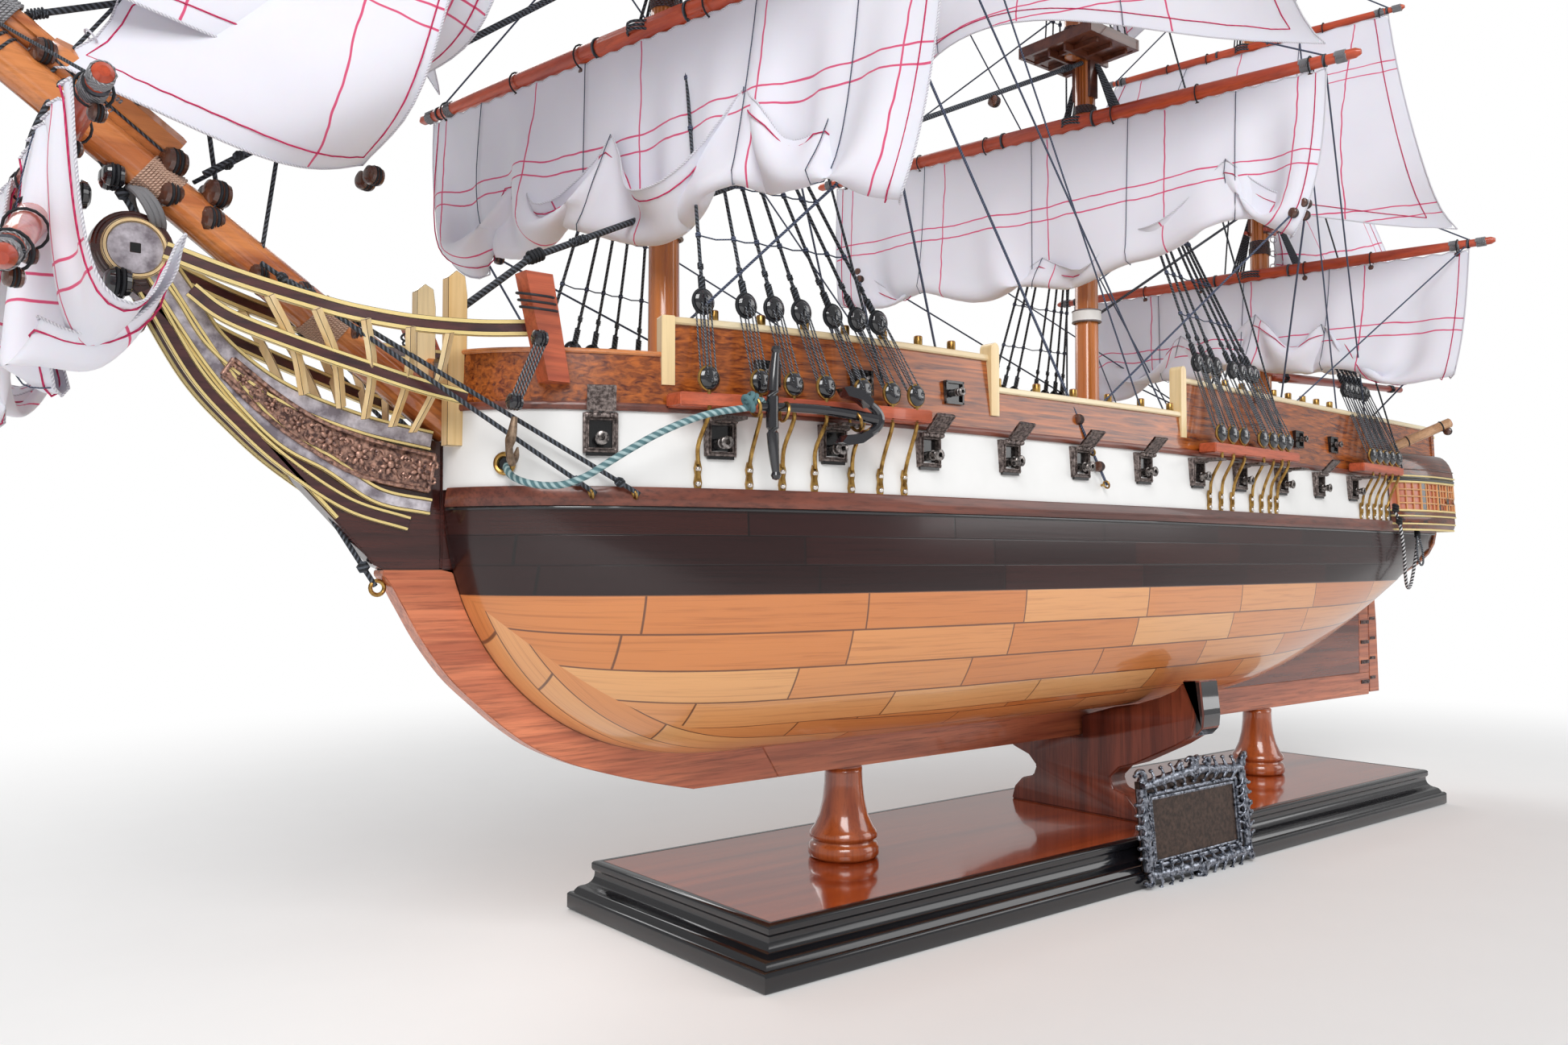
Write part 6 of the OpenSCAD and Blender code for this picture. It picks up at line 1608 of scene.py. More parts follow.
def masts():
    """Masts with planked tops, trestletrees, bands, hoops and the stays' eyes round the mastheads."""
    def paint_number(low, high):
        size = high - low
        if size[2] > 60:
            return 0
        if size[1] > 20:
            return 1
        if size[2] < 2.5:
            return 3
        return 4 if low[2] < KEEL_Z + 220 else 2

    for name, x, top_z, cap_z, upper_z, upper_cap in MASTS:
        softened(
            name, f"{name}_poles", [MAST_WOOD, TOP_WOOD, BLACK_GLOSS, BRASS, WOOLDING], 0.25,
            paint_number
        )
        shape = Shape()
        for k in range(13):
            y = -21 + 3.25 * k
            shape.box((x - 23, y, top_z + 2.9), (x + 13, y + 2.9, top_z + 3.5))
        rims = [
            ((-24.2, -22.2), (14.2, -20.2)), ((-24.2, 20.2), (14.2, 22.2)), ((-24.2, -20.2), (-22.2, 20.2)),
            ((12.2, -20.2), (14.2, 20.2))
        ]
        for low, high in rims:
            shape.box((x + low[0], low[1], top_z - 0.4), (x + high[0], high[1], top_z + 5))
        for y in (-5.6, 4.0):
            shape.box((x - 22, y, top_z - 4), (x + 12, y + 1.6, top_z - 0.05))
            shape.box((x - 3, y, top_z - 22), (x + 3, y + 1.6, top_z - 4))
        for dx in (-15, -4, 8):
            shape.box((x + dx - 1, -19, top_z - 2.4), (x + dx + 1, 19, top_z - 0.05))
        for y in (-12, -6, 6, 12):
            shape.box(
                (x - DOUBLING - 10.5, y - 0.7, upper_z + 1.9), (x - DOUBLING + 3.5, y + 0.7, upper_z + 2.6)
            )
        for z, radius, turns in ((top_z - 30, 5.35, 5), (KEEL_Z + 262, 5.75, 5), (cap_z - 14, 5.0, 6)):
            if z < top_z - 60 or z > top_z - 40:
                seizing(shape, (x, 0, z), (x, 0, z + 4.2), radius, 0.45, turns, 1)
        seizing(shape, (x - DOUBLING, 0, top_z + 9), (x - DOUBLING, 0, top_z + 12), 4.0, 0.4, 4, 1)
        for s in (-1, 1):
            for k in range(5):
                shape.ring((x + 1.2 + 0.5 * k, 0, top_z + 4 + 0.9 * k), 6.2, 0.6, (0, 0.15 * s, 1), 1)
        hoop = [(6.3, 0), (7.1, 0.3), (7.1, 1.9), (6.3, 2.2)]
        shape.lathe(hoop, 28, 2, at(x, 0, RAISED_DECK_Z + DECK_THICKNESS))
        for z in (KEEL_Z + 202.6, KEEL_Z + 208):
            shape.lathe([(6.4, -0.3), (7.3, 0), (7.3, 0.5), (6.4, 0.8)], 28, 3, at(x, 0, z))
        shape.piece(
            f"{name}_fittings", [TOP_WOOD, DARK_ROPE, FITTING_WOOD, GREY_THREAD], slot="mast_wood",
            bevel=0.12
        )


def yard(shape, place, half, d):
    """Tapered yard with an eight-sided sling, hoops, stops, sheaved arms and thread lashings."""
    r = d / 2
    reach = np.array([0, 0.2, 0.45, 0.7, 0.9, 0.905, 0.985, 1.0])
    size = r * np.array([1, 0.985, 0.92, 0.8, 0.68, 0.62, 0.58, 0.3])
    port = [(s, -half * k) for k, s in zip(reach[::-1], size[::-1])]
    starboard = [(s, half * k) for k, s in zip(reach[1:], size[1:])]
    profile = [(0, -half), *port, *starboard, (0, half)]
    turn = place @ OUTWARD
    shape.lathe(profile, 20, 0, turn)
    shape.lathe(
        [
            (0.9 * r, -0.17 * half), (1.06 * r, -0.15 * half), (1.06 * r, 0.15 * half),
            (0.9 * r, 0.17 * half)
        ],
        8, 0, turn
    )
    for side in (-1, 1):
        for k in (0.17, 0.9):
            wide = 1.12 * r if k < 0.5 else 0.76 * r
            shape.lathe(
                [(0.6 * r, 0), (wide, 0.1), (wide, 1.3), (0.6 * r, 1.4)], 20, 1,
                turn @ at(0, 0, side * half * k - 0.7)
            )
        for y0, size_here in ((0.83, 0.75), (0.93, 0.66)):
            a = np.array(place @ Vector((0, side * half * y0, 0)))
            b = np.array(place @ Vector((0, side * (half * y0 + 4.5), 0)))
            seizing(shape, a, b, size_here * r, 0.34, 8, 2)
        cleat = place @ at(-0.6 * r, side * 0.2 * half, -0.7 * r)
        shape.box((-0.6, -3.5, -0.6), (0.6, 3.5, 0.5), 0, cleat)
        for k in (0.24, 0.52, 0.86):
            local = Vector((0.2 * r, side * half * k, -r * (1.1 - 0.4 * k) - 2.6))
            centre = np.array(place @ local)
            block(shape, centre, 3.4, 3, 1, BRACE_ANGLE)
            grip = place @ at(0, side * half * k, 0)
            shape.ring((0, 0, -0.6), r * (1.1 - 0.35 * k) + 0.9, 0.34, (0, 1, 0), 1, 16, grip)


def yards():
    """All yards, each lashed to its mast, and the two at the bowsprit."""
    shape = Shape()
    materials = [YARD_WOOD, DARK_ROPE, GREY_THREAD, BLOCK_WOOD, TOP_WOOD]
    for y in YARDS:
        place = at_yard(y)
        yard(shape, place, y[3], y[4])
        tier = 0 if y[1] < 10 else 1 if y[1] < 18 else 2
        mast_r = (5.6, 3.8, 2.4)[tier]
        mast_x = y[0] - (0, DOUBLING, DOUBLING + 6.5)[tier]
        a = np.linspace(0, 2 * math.pi, 24)
        middle, long_radius = (y[0] - y[1] + mast_x) / 2, (mast_x - y[0] + y[1]) / 2 + mast_r + 0.9
        for dz in (-1.4, 0, 1.4):
            loop = np.stack(
                [middle + long_radius * np.cos(a), (mast_r + 1) * np.sin(a), y[2] + dz + 0 * a], -1
            )
            shape.tube(loop, 0.5, 6, 1)
    sprit = at(SPRIT_YARD[0], 0, SPRIT_YARD[1])
    yard(shape, sprit, 84, 8)
    reach = Vector((22.3, 116, 40.6))
    tilt = Vector((0, 1, 0)).rotation_difference(reach).to_matrix().to_4x4()
    yard(shape, at(-445.3, 0, 235.5) @ tilt, reach.length, 8)
    for s in (-1, 1):
        loop = [
            (-446, s * 3, 241), (-441, s * 4.5, 252), (-438, s * 5.6, 262), (-442, s * 5, 268),
            (-448, s * 3.4, 254), (-449, s * 3, 243)
        ]
        shape.tube(smooth_line(loop, 30), 0.8, 8, 1)
    shape.piece("yard_poles", materials, ["yards"], "yard_red", bevel=0.0)


def bowsprit():
    """Bowsprit and jib boom with their gammoning, lashings, bees and blocks."""
    def cap(low, high):
        return int(high[1] > 4.9 and high[0] - low[0] < 60)

    softened("bowsprit", "bowsprit_poles", [SPAR_WOOD, BLACK_GLOSS], 0.4, cap)
    shape = Shape()
    a, b = BOWSPRIT
    for t, paint_number, turns in ((0.3, 0, 14), (0.62, 0, 12), (0.9, 1, 4)):
        p = mix(a, b, t)
        seizing(shape, p, mix(a, b, t + 0.055), mix(7.25, 5.25, t) + 0.15, 0.45, turns, paint_number)
    c, d = JIB_BOOM
    axis = (d - c) / np.linalg.norm(d - c)
    turn = at(*c) @ Vector((0, 0, 1)).rotation_difference(Vector(axis)).to_matrix().to_4x4()
    shape.lathe(
        [(0, -1), (5.0, -1), (5.3, 0.5), (5.3, 34), (4.1, 38)], 8, 2,
        turn @ Matrix.Rotation(math.pi / 8, 4, "Z")
    )
    for t in (0.07, 0.2):
        seizing(shape, mix(c, d, t), mix(c, d, t + 0.022), 4.7, 0.5, 6, 3)
    for t in (0.55, 0.78, 0.97):
        for k in range(3):
            shape.ring(mix(c, d, t) + axis * k * 1.1, mix(4, 2.25, t) + 0.3, 0.5, axis, 1)
    for k in range(3):
        shape.ring((SCROLL[0] + 2 + k, 0, SCROLL[1] + 12), 6.5, 0.9, (1, 0.1 * k, 0.6), 3)
    for s in (-1, 1):
        block(shape, (-439, 6 * s, 238), 6.6, 4)
    shape.piece(
        "bowsprit_lashings", [PALE_THREAD, DARK_ROPE, SPAR_WOOD, GREY_THREAD, BLACK_GLOSS], slot="mast_wood"
    )


def gaff_and_boom():
    """Gaff and boom with jaws and lashings, and the boomkins with their blocks."""
    def pale(low, high):
        return int(abs(low[1] + high[1]) > 10)

    softened("gaff_and_boom", "gaff_boom_boomkins", [BOOM_WOOD, BOOMKIN_WOOD], 0.3, pale)
    shape = Shape()
    for a, b, d0, d1 in (
        ((175.6, 0, 248.5), (343, 0, 255), 6, 3.8), ((175.6, 0, 332), (292, 0, 392), 5, 3.2)
    ):
        a, b = np.array(a), np.array(b)
        for t in (0.08, 0.5, 0.9):
            seizing(shape, mix(a, b, t), mix(a, b, t + 0.03), mix(d0, d1, t) / 2 + 0.2, 0.4, 5, 0)
        jaw = np.array(
            [(a[0] + 3, 3.4, a[2]), (a[0] - 3, 4.6, a[2]), (a[0] - 8, 6.4, a[2]), (a[0] - 13, 6.0, a[2])]
        )
        for s in (-1, 1):
            shape.tube(smooth_line(jaw * (1, s, 1), 14), 1.1, 8, 1)
    for s in (-1, 1):
        for t in (0.3, 0.85):
            p = mix(np.array([214, 51 * s, 204.0]), np.array([238, 75 * s, 219.0]), t)
            shape.ring(p, 2.7, 0.45, (1, s, 0.6), 0)
        block(shape, (237, 74 * s, 214), 3.6, 2, 0)
    shape.piece("boom_fittings", [DARK_ROPE, BOOM_WOOD, BLOCK_WOOD], slot="yard_red")


# ---------------------------------------------------------------- standing and running rigging


def ratlines(shape, lines, z0, z1, spacing, radius, paint_number=1):
    """Thin lines across a set of shrouds, each with a knot on every shroud."""
    for z in np.arange(z0, z1, spacing):
        row = [mix(a, b, (z - a[2]) / (b[2] - a[2])) for a, b in lines]
        path = []
        for p, q in zip(row, row[1:]):
            sag = 0.9 * min(1, abs(q[0] - p[0]) / 14)
            path += [p, mix(p, q, 0.5) - (0, 0, sag)]
        shape.tube([*path, row[-1]], radius, 5, paint_number)
        for p, (a, b) in zip(row, lines):
            axis = (b - a) / np.linalg.norm(b - a)
            shape.tube([p - 0.75 * axis, p + 0.75 * axis], 0.95, 6, paint_number)


def shrouds():
    """Lower and topmast shrouds with ratlines and the topmast deadeyes."""
    shape = Shape()
    for (chains, mast_x, top_z, eye_z), (_, _, _, _, upper_z, _) in zip(SHROUDS, MASTS):
        lines = [shroud_line(x, mast_x, top_z, k) for k, x in enumerate(chains)]
        for foot, head in lines:
            upper = mix(foot, head, (eye_z + 3 - foot[2]) / (head[2] - foot[2]))
            shape.tube([upper, head], 0.62, 8)
        ratlines(shape, lines, eye_z + 24, top_z - 34, 20.5, 0.28)
        topmast = []
        for dx in (-6, 0, 6):
            a, b = np.array([mast_x + dx, 20.5, top_z + 3]), np.array(
                [mast_x - DOUBLING + dx / 4, 4, upper_z]
            )
            shape.tube([a, b], 0.42, 6)
            for p in (a + (0, 0, 2), a + (0, 0, 9)):
                place = at(*(mix(a, b, (p[2] - a[2]) / (b[2] - a[2])))) @ OUTWARD
                shape.lathe([(r * 0.5, z * 0.5) for r, z in EYE_PROFILE], 14, 2, place)
            topmast.append((a, b))
        ratlines(shape, topmast, top_z + 24, upper_z - 24, 15, 0.22)
    shape.both_sides()
    shape.piece("shrouds_and_ratlines", [DARK_ROPE, THREAD, BLACK_GLOSS], ["shrouds"], "dark_rope")


STAYS = [
    ((-460, 0, 281), (-253, 0, 372), 1.8), ((-530, 0, 341), (-262, 0, 528), 1.2),
    ((-572, 0, 370), (-265, 0, 620), 1), ((-608, 0, 394), (-265, 0, 700), 1),
    ((-332, -6, 219), (-306, -9, 241), 2.2), ((-306, -9, 241), (-0.5, -2, 388), 2.2),
    ((-249, 0, 398), (-10.5, 0, 566), 1.2), ((-259, 0, 556), (-13.5, 0, 690), 1),
    ((10, 0, 262), (162.6, 0, 346), 1.4), ((8.5, 0, 420), (153.6, 0, 476), 1),
    ((-354, 0, 132), (-432, 0, 250), 1.6), ((-447.5, -3, 266), (-260, -3, 546), 1),
    ((-480, 3, 302), (-262, 3, 536), 1)
]
PAIRED = [
    ((-428, 4, 264), (-252, 4, 371), 1.2), ((-407, 5.5, 250), (-251, 5.5, 368), 1.2),
    ((-303, 47.5, 160.5), (-392, 9, 226), 1.4), ((-291, 53.5, 160.5), (-384, 9, 222), 1.4),
    ((-446, 78, 245), (-466, 3, 284), 0.8), ((-200, 71, CHANNEL_Z + 4), (-255, 4, 526), 0.9),
    ((74, 67, CHANNEL_Z + 4), (-3.5, 4, 566), 0.9), ((211, 60, CHANNEL_Z + 4), (159.6, 3, 476), 0.9)
]


def yard_end(y, k):
    """Point on a yard at a part of its half length, starboard positive."""
    return np.array(at_yard(y) @ Vector((0, k * y[3], 0)))


LIFT_Z = [400, 546, 640, 704, 420, 588, 700, 776, 375, 495, 570, 626]
BRACES = [
    (0, -26, WAIST_RAIL_Z + CAP_RAIL), (1, -44, WAIST_RAIL_Z + CAP_RAIL), (4, 196, AFTER_RAIL_Z + CAP_RAIL),
    (5, 158, AFTER_RAIL_Z + CAP_RAIL), (8, 108, AFTER_RAIL_Z + CAP_RAIL)
]
CLEWS = {0: [(-116, -66), (90, -67)], 4: [(-127, -61), (115, -54)], 8: [(-98, -54), (86, -49)]}
SHEETS = [
    (0, -168.5, FORE_RAIL_Z + CAP_RAIL), (0, -270, FORE_RAIL_Z + CAP_RAIL),
    (4, 91, AFTER_RAIL_Z + CAP_RAIL), (4, -70, WAIST_RAIL_Z + CAP_RAIL), (8, 206, AFTER_RAIL_Z + CAP_RAIL)
]


def running_lines():
    """Lifts, braces, sheets and backstays of both sides, as in the CAD part."""
    lines = []
    for side in (-1, 1):
        mirror = np.array([1, side, 1])
        for y, lift in zip(YARDS, LIFT_Z):
            lines.append((yard_end(y, 0.93 * side), (y[0] - y[1] + 5, 1.5 * side, lift), 0.8))
        for k, x, z in BRACES:
            lines.append(
                (
                    yard_end(YARDS[k], 0.9 * side), (x, side * (float(half_breadth(x, z)) - PLANK / 2), z),
                    0.8
                )
            )
        for k, x, z in SHEETS:
            y, z_side = CLEWS[k][side > 0]
            corner = np.array(at_yard(YARDS[k]) @ Vector((-YARDS[k][4] / 2 - 3, y, z_side)))
            lines.append((corner, (x, side * (float(half_breadth(x, z)) - PLANK / 2), z), 0.9))
        lines.append((hull_point(-77.6, 170.7, 2.6) * mirror, (-252.8, 3 * side, 550), 1.1))
    return lines


BOBSTAY = (np.array([-354.0, 0, 132]), np.array([-432.0, 0, 250]))
MAIN_STAY = (np.array([-306.0, -9, 241]), np.array([-0.5, -2, 388]))
# Blocks under the forestays and about the bowsprit, as x, z and size
HEAD_BLOCKS = [
    (-414.3, 252.3, 6.2), (-402.7, 245.4, 6.4), (-404.5, 237.5, 6.2), (-415.2, 242.9, 6),
    (-391.2, 223.7, 5.6), (-378.6, 220.3, 5.4), (-363.2, 209, 5.4), (-424.5, 206.5, 6.4),
    (-446.5, 275.5, 5.4), (-406.7, 300.5, 5), (-408.3, 284.8, 5), (-382.3, 288.8, 5), (-357.2, 259.8, 5)
]


def rigging():
    """Stays, backstays and running lines, with their knots, seizings and blocks."""
    shape = Shape()
    for a, b, d in STAYS:
        shape.tube(
            [mix(np.array(a, float), np.array(b, float), t) for t in np.linspace(0, 1, 9)], d / 2 * 1.05, 8
        )
    for first, last, d in PAIRED:
        for s in (-1, 1):
            a, b = (np.array(p, float) * (1, s, 1) for p in (first, last))
            shape.tube([mix(a, b, t) for t in (0, 0.5, 1)], d / 2 * 1.05, 8)
            if d > 1:
                for t in (0.06, 0.94):
                    knot(shape, mix(a, b, t), b - a, d)
    for a, b, d in running_lines():
        a, b = np.array(a, float), np.array(b, float)
        shape.tube([a, mix(a, b, 0.5), b], d / 2, 6, 1)
        if d > 0.8:
            for t in (0.02, 0.07):
                block(shape, mix(a, b, t), 3.6, 4, 0)
    for a, b, d in STAYS[:8]:
        a, b = np.array(a, float), np.array(b, float)
        for t in (0.05, 0.95):
            seizing(shape, mix(a, b, t), mix(a, b, t + 0.02), d / 2 + 0.3, 0.35, 5, 0)
    for s in (-1, 1):
        block(shape, (-429, 2.4 * s, 246), 5.2, 2, 0)
        block(shape, (-428, 5.5 * s, 216), 6.4, 2, 0)
    for t, size in ((0.93, 1.7), (0.45, 1.5), (0.05, 1.9)):
        p = mix(*BOBSTAY, t)
        shape.lathe([(0, -2), (size, -1), (size, 1), (0, 2)], 10, 0, at(*p) @ Matrix.Rotation(-0.58, 4, "Y"))
    shape.ring((-353.4, 0, 131.4), 2.2, 0.7, (0, 1, 0), 3)
    for x, z, size in HEAD_BLOCKS:
        for side in (-1, 1) if x > -430 else (-1,):
            block(shape, (x, 3.5 * side, z), size, 4, 0, 0.3)
    for j, k in ((0, 3), (1, 2), (4, 5), (8, 0), (10, 1), (11, 4)):
        a, b = (np.array([HEAD_BLOCKS[i][0], -3.5, HEAD_BLOCKS[i][1]]) for i in (j, k))
        for dy in (-0.9, 0.9):
            shape.tube([a + (0, dy, 0), b + (0, dy, 0)], 0.42, 6, 0)
    for k in range(4):
        shape.ring((-306 + 1.2 * k, -9 + 0.02 * k, 241 + 0.6 * k), 1.7, 0.7, (1, 0, 0.5), 0)
    for t in (0.22, 0.5, 0.78):
        p = mix(*MAIN_STAY, t)
        block(shape, p - (0, 0, 3.4), 4.4, 4, 0)
    shape.piece(
        "standing_rigging", [DARK_ROPE, THREAD, BLACK_GLOSS, BRASS, BLOCK_WOOD], ["rigging"], "dark_rope"
    )


def knot(shape, centre, axis, size):
    """Overhand knot: a swelling along the rope with one turn round it."""
    turn = Vector((0, 0, 1)).rotation_difference(Vector(axis)).to_matrix().to_4x4()
    place = at(*centre) @ turn
    shape.lathe([(0, -2.2), (size * 0.9, -1.2), (size * 1.15, 0), (size * 0.9, 1.2), (0, 2.2)], 10, 0, place)
    shape.ring((0, 0, 0), size * 0.8, 0.5, (0.2, 0, 1), 0, 14, place)


# ---------------------------------------------------------------- sails, by cloth simulation


def pull(a, b, wa, wb, rest, stiffness):
    """Moves both ends of each link towards its rest length."""
    d = b - a
    length = np.maximum(np.linalg.norm(d, axis=-1), 1e-6)
    share = stiffness * (length - rest) / (length * np.maximum(wa + wb, 1e-6))
    a += (wa * share)[..., None] * d
    b -= (wb * share)[..., None] * d


def links(shape):
    """Index pairs of a cloth grid: threads both ways, both diagonals, and every second point for bending."""
    n, m = shape
    pairs = []
    for start in (0, 1):
        k = (n - start) // 2
        pairs.append(
            (
                (slice(start, start + 2 * k - 1, 2), slice(None)),
                (slice(start + 1, start + 2 * k, 2), slice(None)), 1.0
            )
        )
        k = (m - start) // 2
        pairs.append(
            (
                (slice(None), slice(start, start + 2 * k - 1, 2)),
                (slice(None), slice(start + 1, start + 2 * k, 2)), 1.0
            )
        )
        k = (n - start) // 2
        rows = slice(start, start + 2 * k - 1, 2), slice(start + 1, start + 2 * k, 2)
        pairs.append(((rows[0], slice(0, -1)), (rows[1], slice(1, None)), 0.25))
        pairs.append(((rows[1], slice(0, -1)), (rows[0], slice(1, None)), 0.25))
    for start in range(4):
        k = (n - start + 1) // 4
        pairs.append(
            (
                (slice(start, start + 4 * k - 3, 4), slice(None)),
                (slice(start + 2, start + 4 * k - 1, 4), slice(None)), 0.12
            )
        )
        k = (m - start + 1) // 4
        pairs.append(
            (
                (slice(None), slice(start, start + 4 * k - 3, 4)),
                (slice(None), slice(start + 2, start + 4 * k - 1, 4)), 0.12
            )
        )
    return pairs


def hang(points, flat, held, wind, limit=None, steps=230):
    """Lets a grid of cloth settle. flat gives the cut, held which points stay, and limit the furthest aft."""
    p = points.copy()
    w = 1.0 - held
    old = p.copy()
    push = np.array(wind, float) * 0.55 + (0, 0, -0.5)
    pairs = []
    for a, b, stiffness in links(p.shape[:2]):
        pairs.append((a, b, np.linalg.norm(flat[b] - flat[a], axis=-1), stiffness))
    for step in range(steps):
        new = p + (p - old) * 0.965 * w[..., None] + push * w[..., None]
        old, p = p, new
        for _ in range(9):
            for a, b, rest, stiffness in pairs:
                pull(p[a], p[b], w[a], w[b], rest, stiffness)
            if limit is not None:
                p[..., 0] = np.where(w > 0, np.minimum(p[..., 0], limit), p[..., 0])
    return p


def cloth_piece(name, p, flat, place, buntlines=(), lashings=()):
    """The settled cloth as one piece, with UVs laid out from the sheet's cut, and its hems, edge cords and
    lines as another.
    """
    shape = Shape()
    shape.grid(p, (flat + (0.5, 0.003)) * MM + (0.513, 0.0), 0, place)
    obj = shape.piece(name, SAILCLOTH, slot="sail_cloth", sharp=180)
    smooth = obj.modifiers.new("smooth", "SUBSURF")
    smooth.levels = smooth.render_levels = 1
    trim = Shape()
    for edge in (p[:, 0], p[:, -1], p[0], p[-1]):
        trim.tube(edge, 0.36, 6, 0, place)
    for hem in (p[1:-1, -2], p[1, :-1], p[-2, :-1]):
        trim.tube(hem, 0.27, 5, 2, place)
    for i in buntlines:
        line = p[i].copy()
        line[:, 0] -= 0.75
        trim.tube(line, 0.2, 5, 1, place)
    for centre, radius, axis in lashings:
        trim.ring(centre, radius, 0.3, axis, 0, 12, place)
    extra = trim.piece(f"{name}_trim", [WHITE_THREAD, THREAD, RED_THREAD], slot="sail_cloth")


# Square sails, as name, half width at the head, the cut's length for each unit of hung depth, and the foot's
# held points from port to starboard, along and below the yard
SQUARE_SAILS = [
    ("fore_course", 132, 1.5, [(-116, -66), (-92, -56), (-56, -37), (10, -38), (64, -40), (90, -67)]),
    ("fore_topsail", 98, 1.04, [(-116, -138), (0, -112), (112, -138)]),
    ("fore_topgallant", 68, 1.04, [(-94, -92), (0, -74), (94, -92)]),
    ("fore_royal", 44, 1.03, [(-62, -60), (0, -48), (62, -60)]),
    ("main_course", 134, 1.35, [(-127, -61), (-92, -36), (-45, -60), (0, -66), (60, -57), (115, -54)]),
    ("main_topsail", 102, 1.04, [(-124, -146), (0, -115), (98, -122)]),
    ("main_topgallant", 72, 1.04, [(-98, -106), (0, -85), (98, -106)]),
    ("main_royal", 48, 1.03, [(-68, -72), (0, -58), (68, -72)]),
    ("mizzen_course", 112, 1.5, [(-98, -54), (-40, -34), (-4, -24), (40, -31), (86, -49)]),
    ("mizzen_topsail", 78, 1.04, [(-110, -125), (0, -103), (104, -120)]),
    ("mizzen_topgallant", 52, 1.04, [(-74, -74), (0, -59), (74, -74)]),
    ("mizzen_royal", 34, 1.03, [(-50, -50), (0, -40), (50, -50)])
]


def square_sails():
    """Courses hang in a bag from their buntlines, and the sails above them fill a little."""
    for k, (y, (name, head, cut, foot)) in enumerate(zip(YARDS, SQUARE_SAILS)):
        bunted = len(foot) > 3
        step = 4.4 if bunted else 7.0
        port, starboard = foot[0][0], foot[-1][0]
        length = cut * max(-z for _, z in foot)
        n, m = 2 * int(head / step) + 3, int(length / step) + 2
        u, t = np.meshgrid(np.linspace(-1, 1, n), np.linspace(0, 1, m), indexing="ij")
        foot_y = mix(port, starboard, (u + 1) / 2)
        if bunted:
            depth = -np.interp(foot_y[:, 0], *np.array(foot).T)
        else:
            low, high, middle = -foot[0][1], -foot[2][1], -foot[1][1]
            depth = mix(
                low, high, (u[:, 0] + 1) / 2
            ) - ((low + high) / 2 - middle) * np.cos(u[:, 0] * math.pi / 2)
        across = mix(head, max(head, (starboard - port) / 2), t)
        flat = np.stack([u * across * 1.02, t * (length if bunted else cut * depth[:, None])], -1)
        x0, z0 = -0.12 * y[4], -0.47 * y[4]
        rng = np.random.default_rng(100 + k)
        bulge = (13 if bunted else 7) * np.sin(math.pi * t**0.8) * (
            0.55 + 0.45 * np.cos(u * 3 * math.pi) if bunted else np.cos(u * 1.4)
        )
        p = np.stack(
            [x0 - bulge, mix(u * head, foot_y, t), z0 - t * depth[:, None]], -1
        ) + rng.normal(0, 0.25, (n, m, 3))
        held = np.zeros((n, m))
        held[::2, 0] = held[-1, 0] = 1
        p[:, 0] = np.stack([np.full(n, x0), u[:, 0] * head, z0 + 0 * u[:, 0]], -1)
        marks = []
        for j, (foot_place, z) in enumerate(foot if bunted else (foot[0], foot[-1])):
            i = int(round((foot_place - port) / (starboard - port) * (n - 1)))
            held[i, -1] = 1
            p[i, -1] = (x0 - (5.5 if 0 < i < n - 1 else 3.5), foot_place, z)
            marks.append(i)
        near_top = np.clip(
            (34 - np.abs(mix(u * head, foot_y, t))) / 14, 0, 1
        ) * np.clip((t - 0.5) / 0.2, 0, 1)
        limit = x0 - (4.5 * t if bunted else 10 * near_top if y[1] < 18 else 0)
        wind = (-0.08, 0, 0) if bunted else (-0.75, 0, 0.1)
        p = hang(p, flat, held, wind, limit, 260 if bunted else 190)
        cloth_piece(
            name, p, flat, at_yard(y),
            marks[1:-1] or [int(0.3 * n), int(0.7 * n)]
        )


def sprit_sails():
    """Two small sails bunched before the spritsail yard, with each outer corner hauled aft under it."""
    for side, word in ((-1, "port"), (1, "starboard")):
        n, m = 27, 23
        u, t = np.meshgrid(np.linspace(0, 1, n), np.linspace(0, 1, m), indexing="ij")
        flat = np.stack([u * 84, t * 72 * (1 - 0.12 * (1 - u))], -1)
        y = mix(mix(12, 44, t**0.8), mix(78, 70, t), u)
        z = -2 - t * mix(46, 34, u**2)
        rng = np.random.default_rng(7)
        p = np.stack(
            [
                -6.2 + t * mix(2, 22, u**3) - 5 * np.sin(math.pi * t) * (1 + 0.6 * np.cos(11 * u)),
                side * y, z
            ],
            -1
        )
        p += rng.normal(0, 0.3, (n, m, 3))
        p[:, 0] = np.stack([np.full(n, -5.4), side * mix(12, 78, u[:, 0]), -1 + 0 * u[:, 0]], -1)
        held = np.zeros((n, m))
        held[::2, 0] = held[-1, 0] = 1
        for i, corner in (
            (0, (-3, side * 44, -44)), (n // 2, (-8, side * 58, -50)), (n - 1, (19, side * 74, -30))
        ):
            held[i, -1] = 1
            p[i, -1] = corner
        p = hang(p, flat, held, (-0.04, 0, 0))
        place = at(SPRIT_YARD[0], 0, SPRIT_YARD[1])
        cloth_piece(f"{word}_spritsail", p, flat, place, (8,))


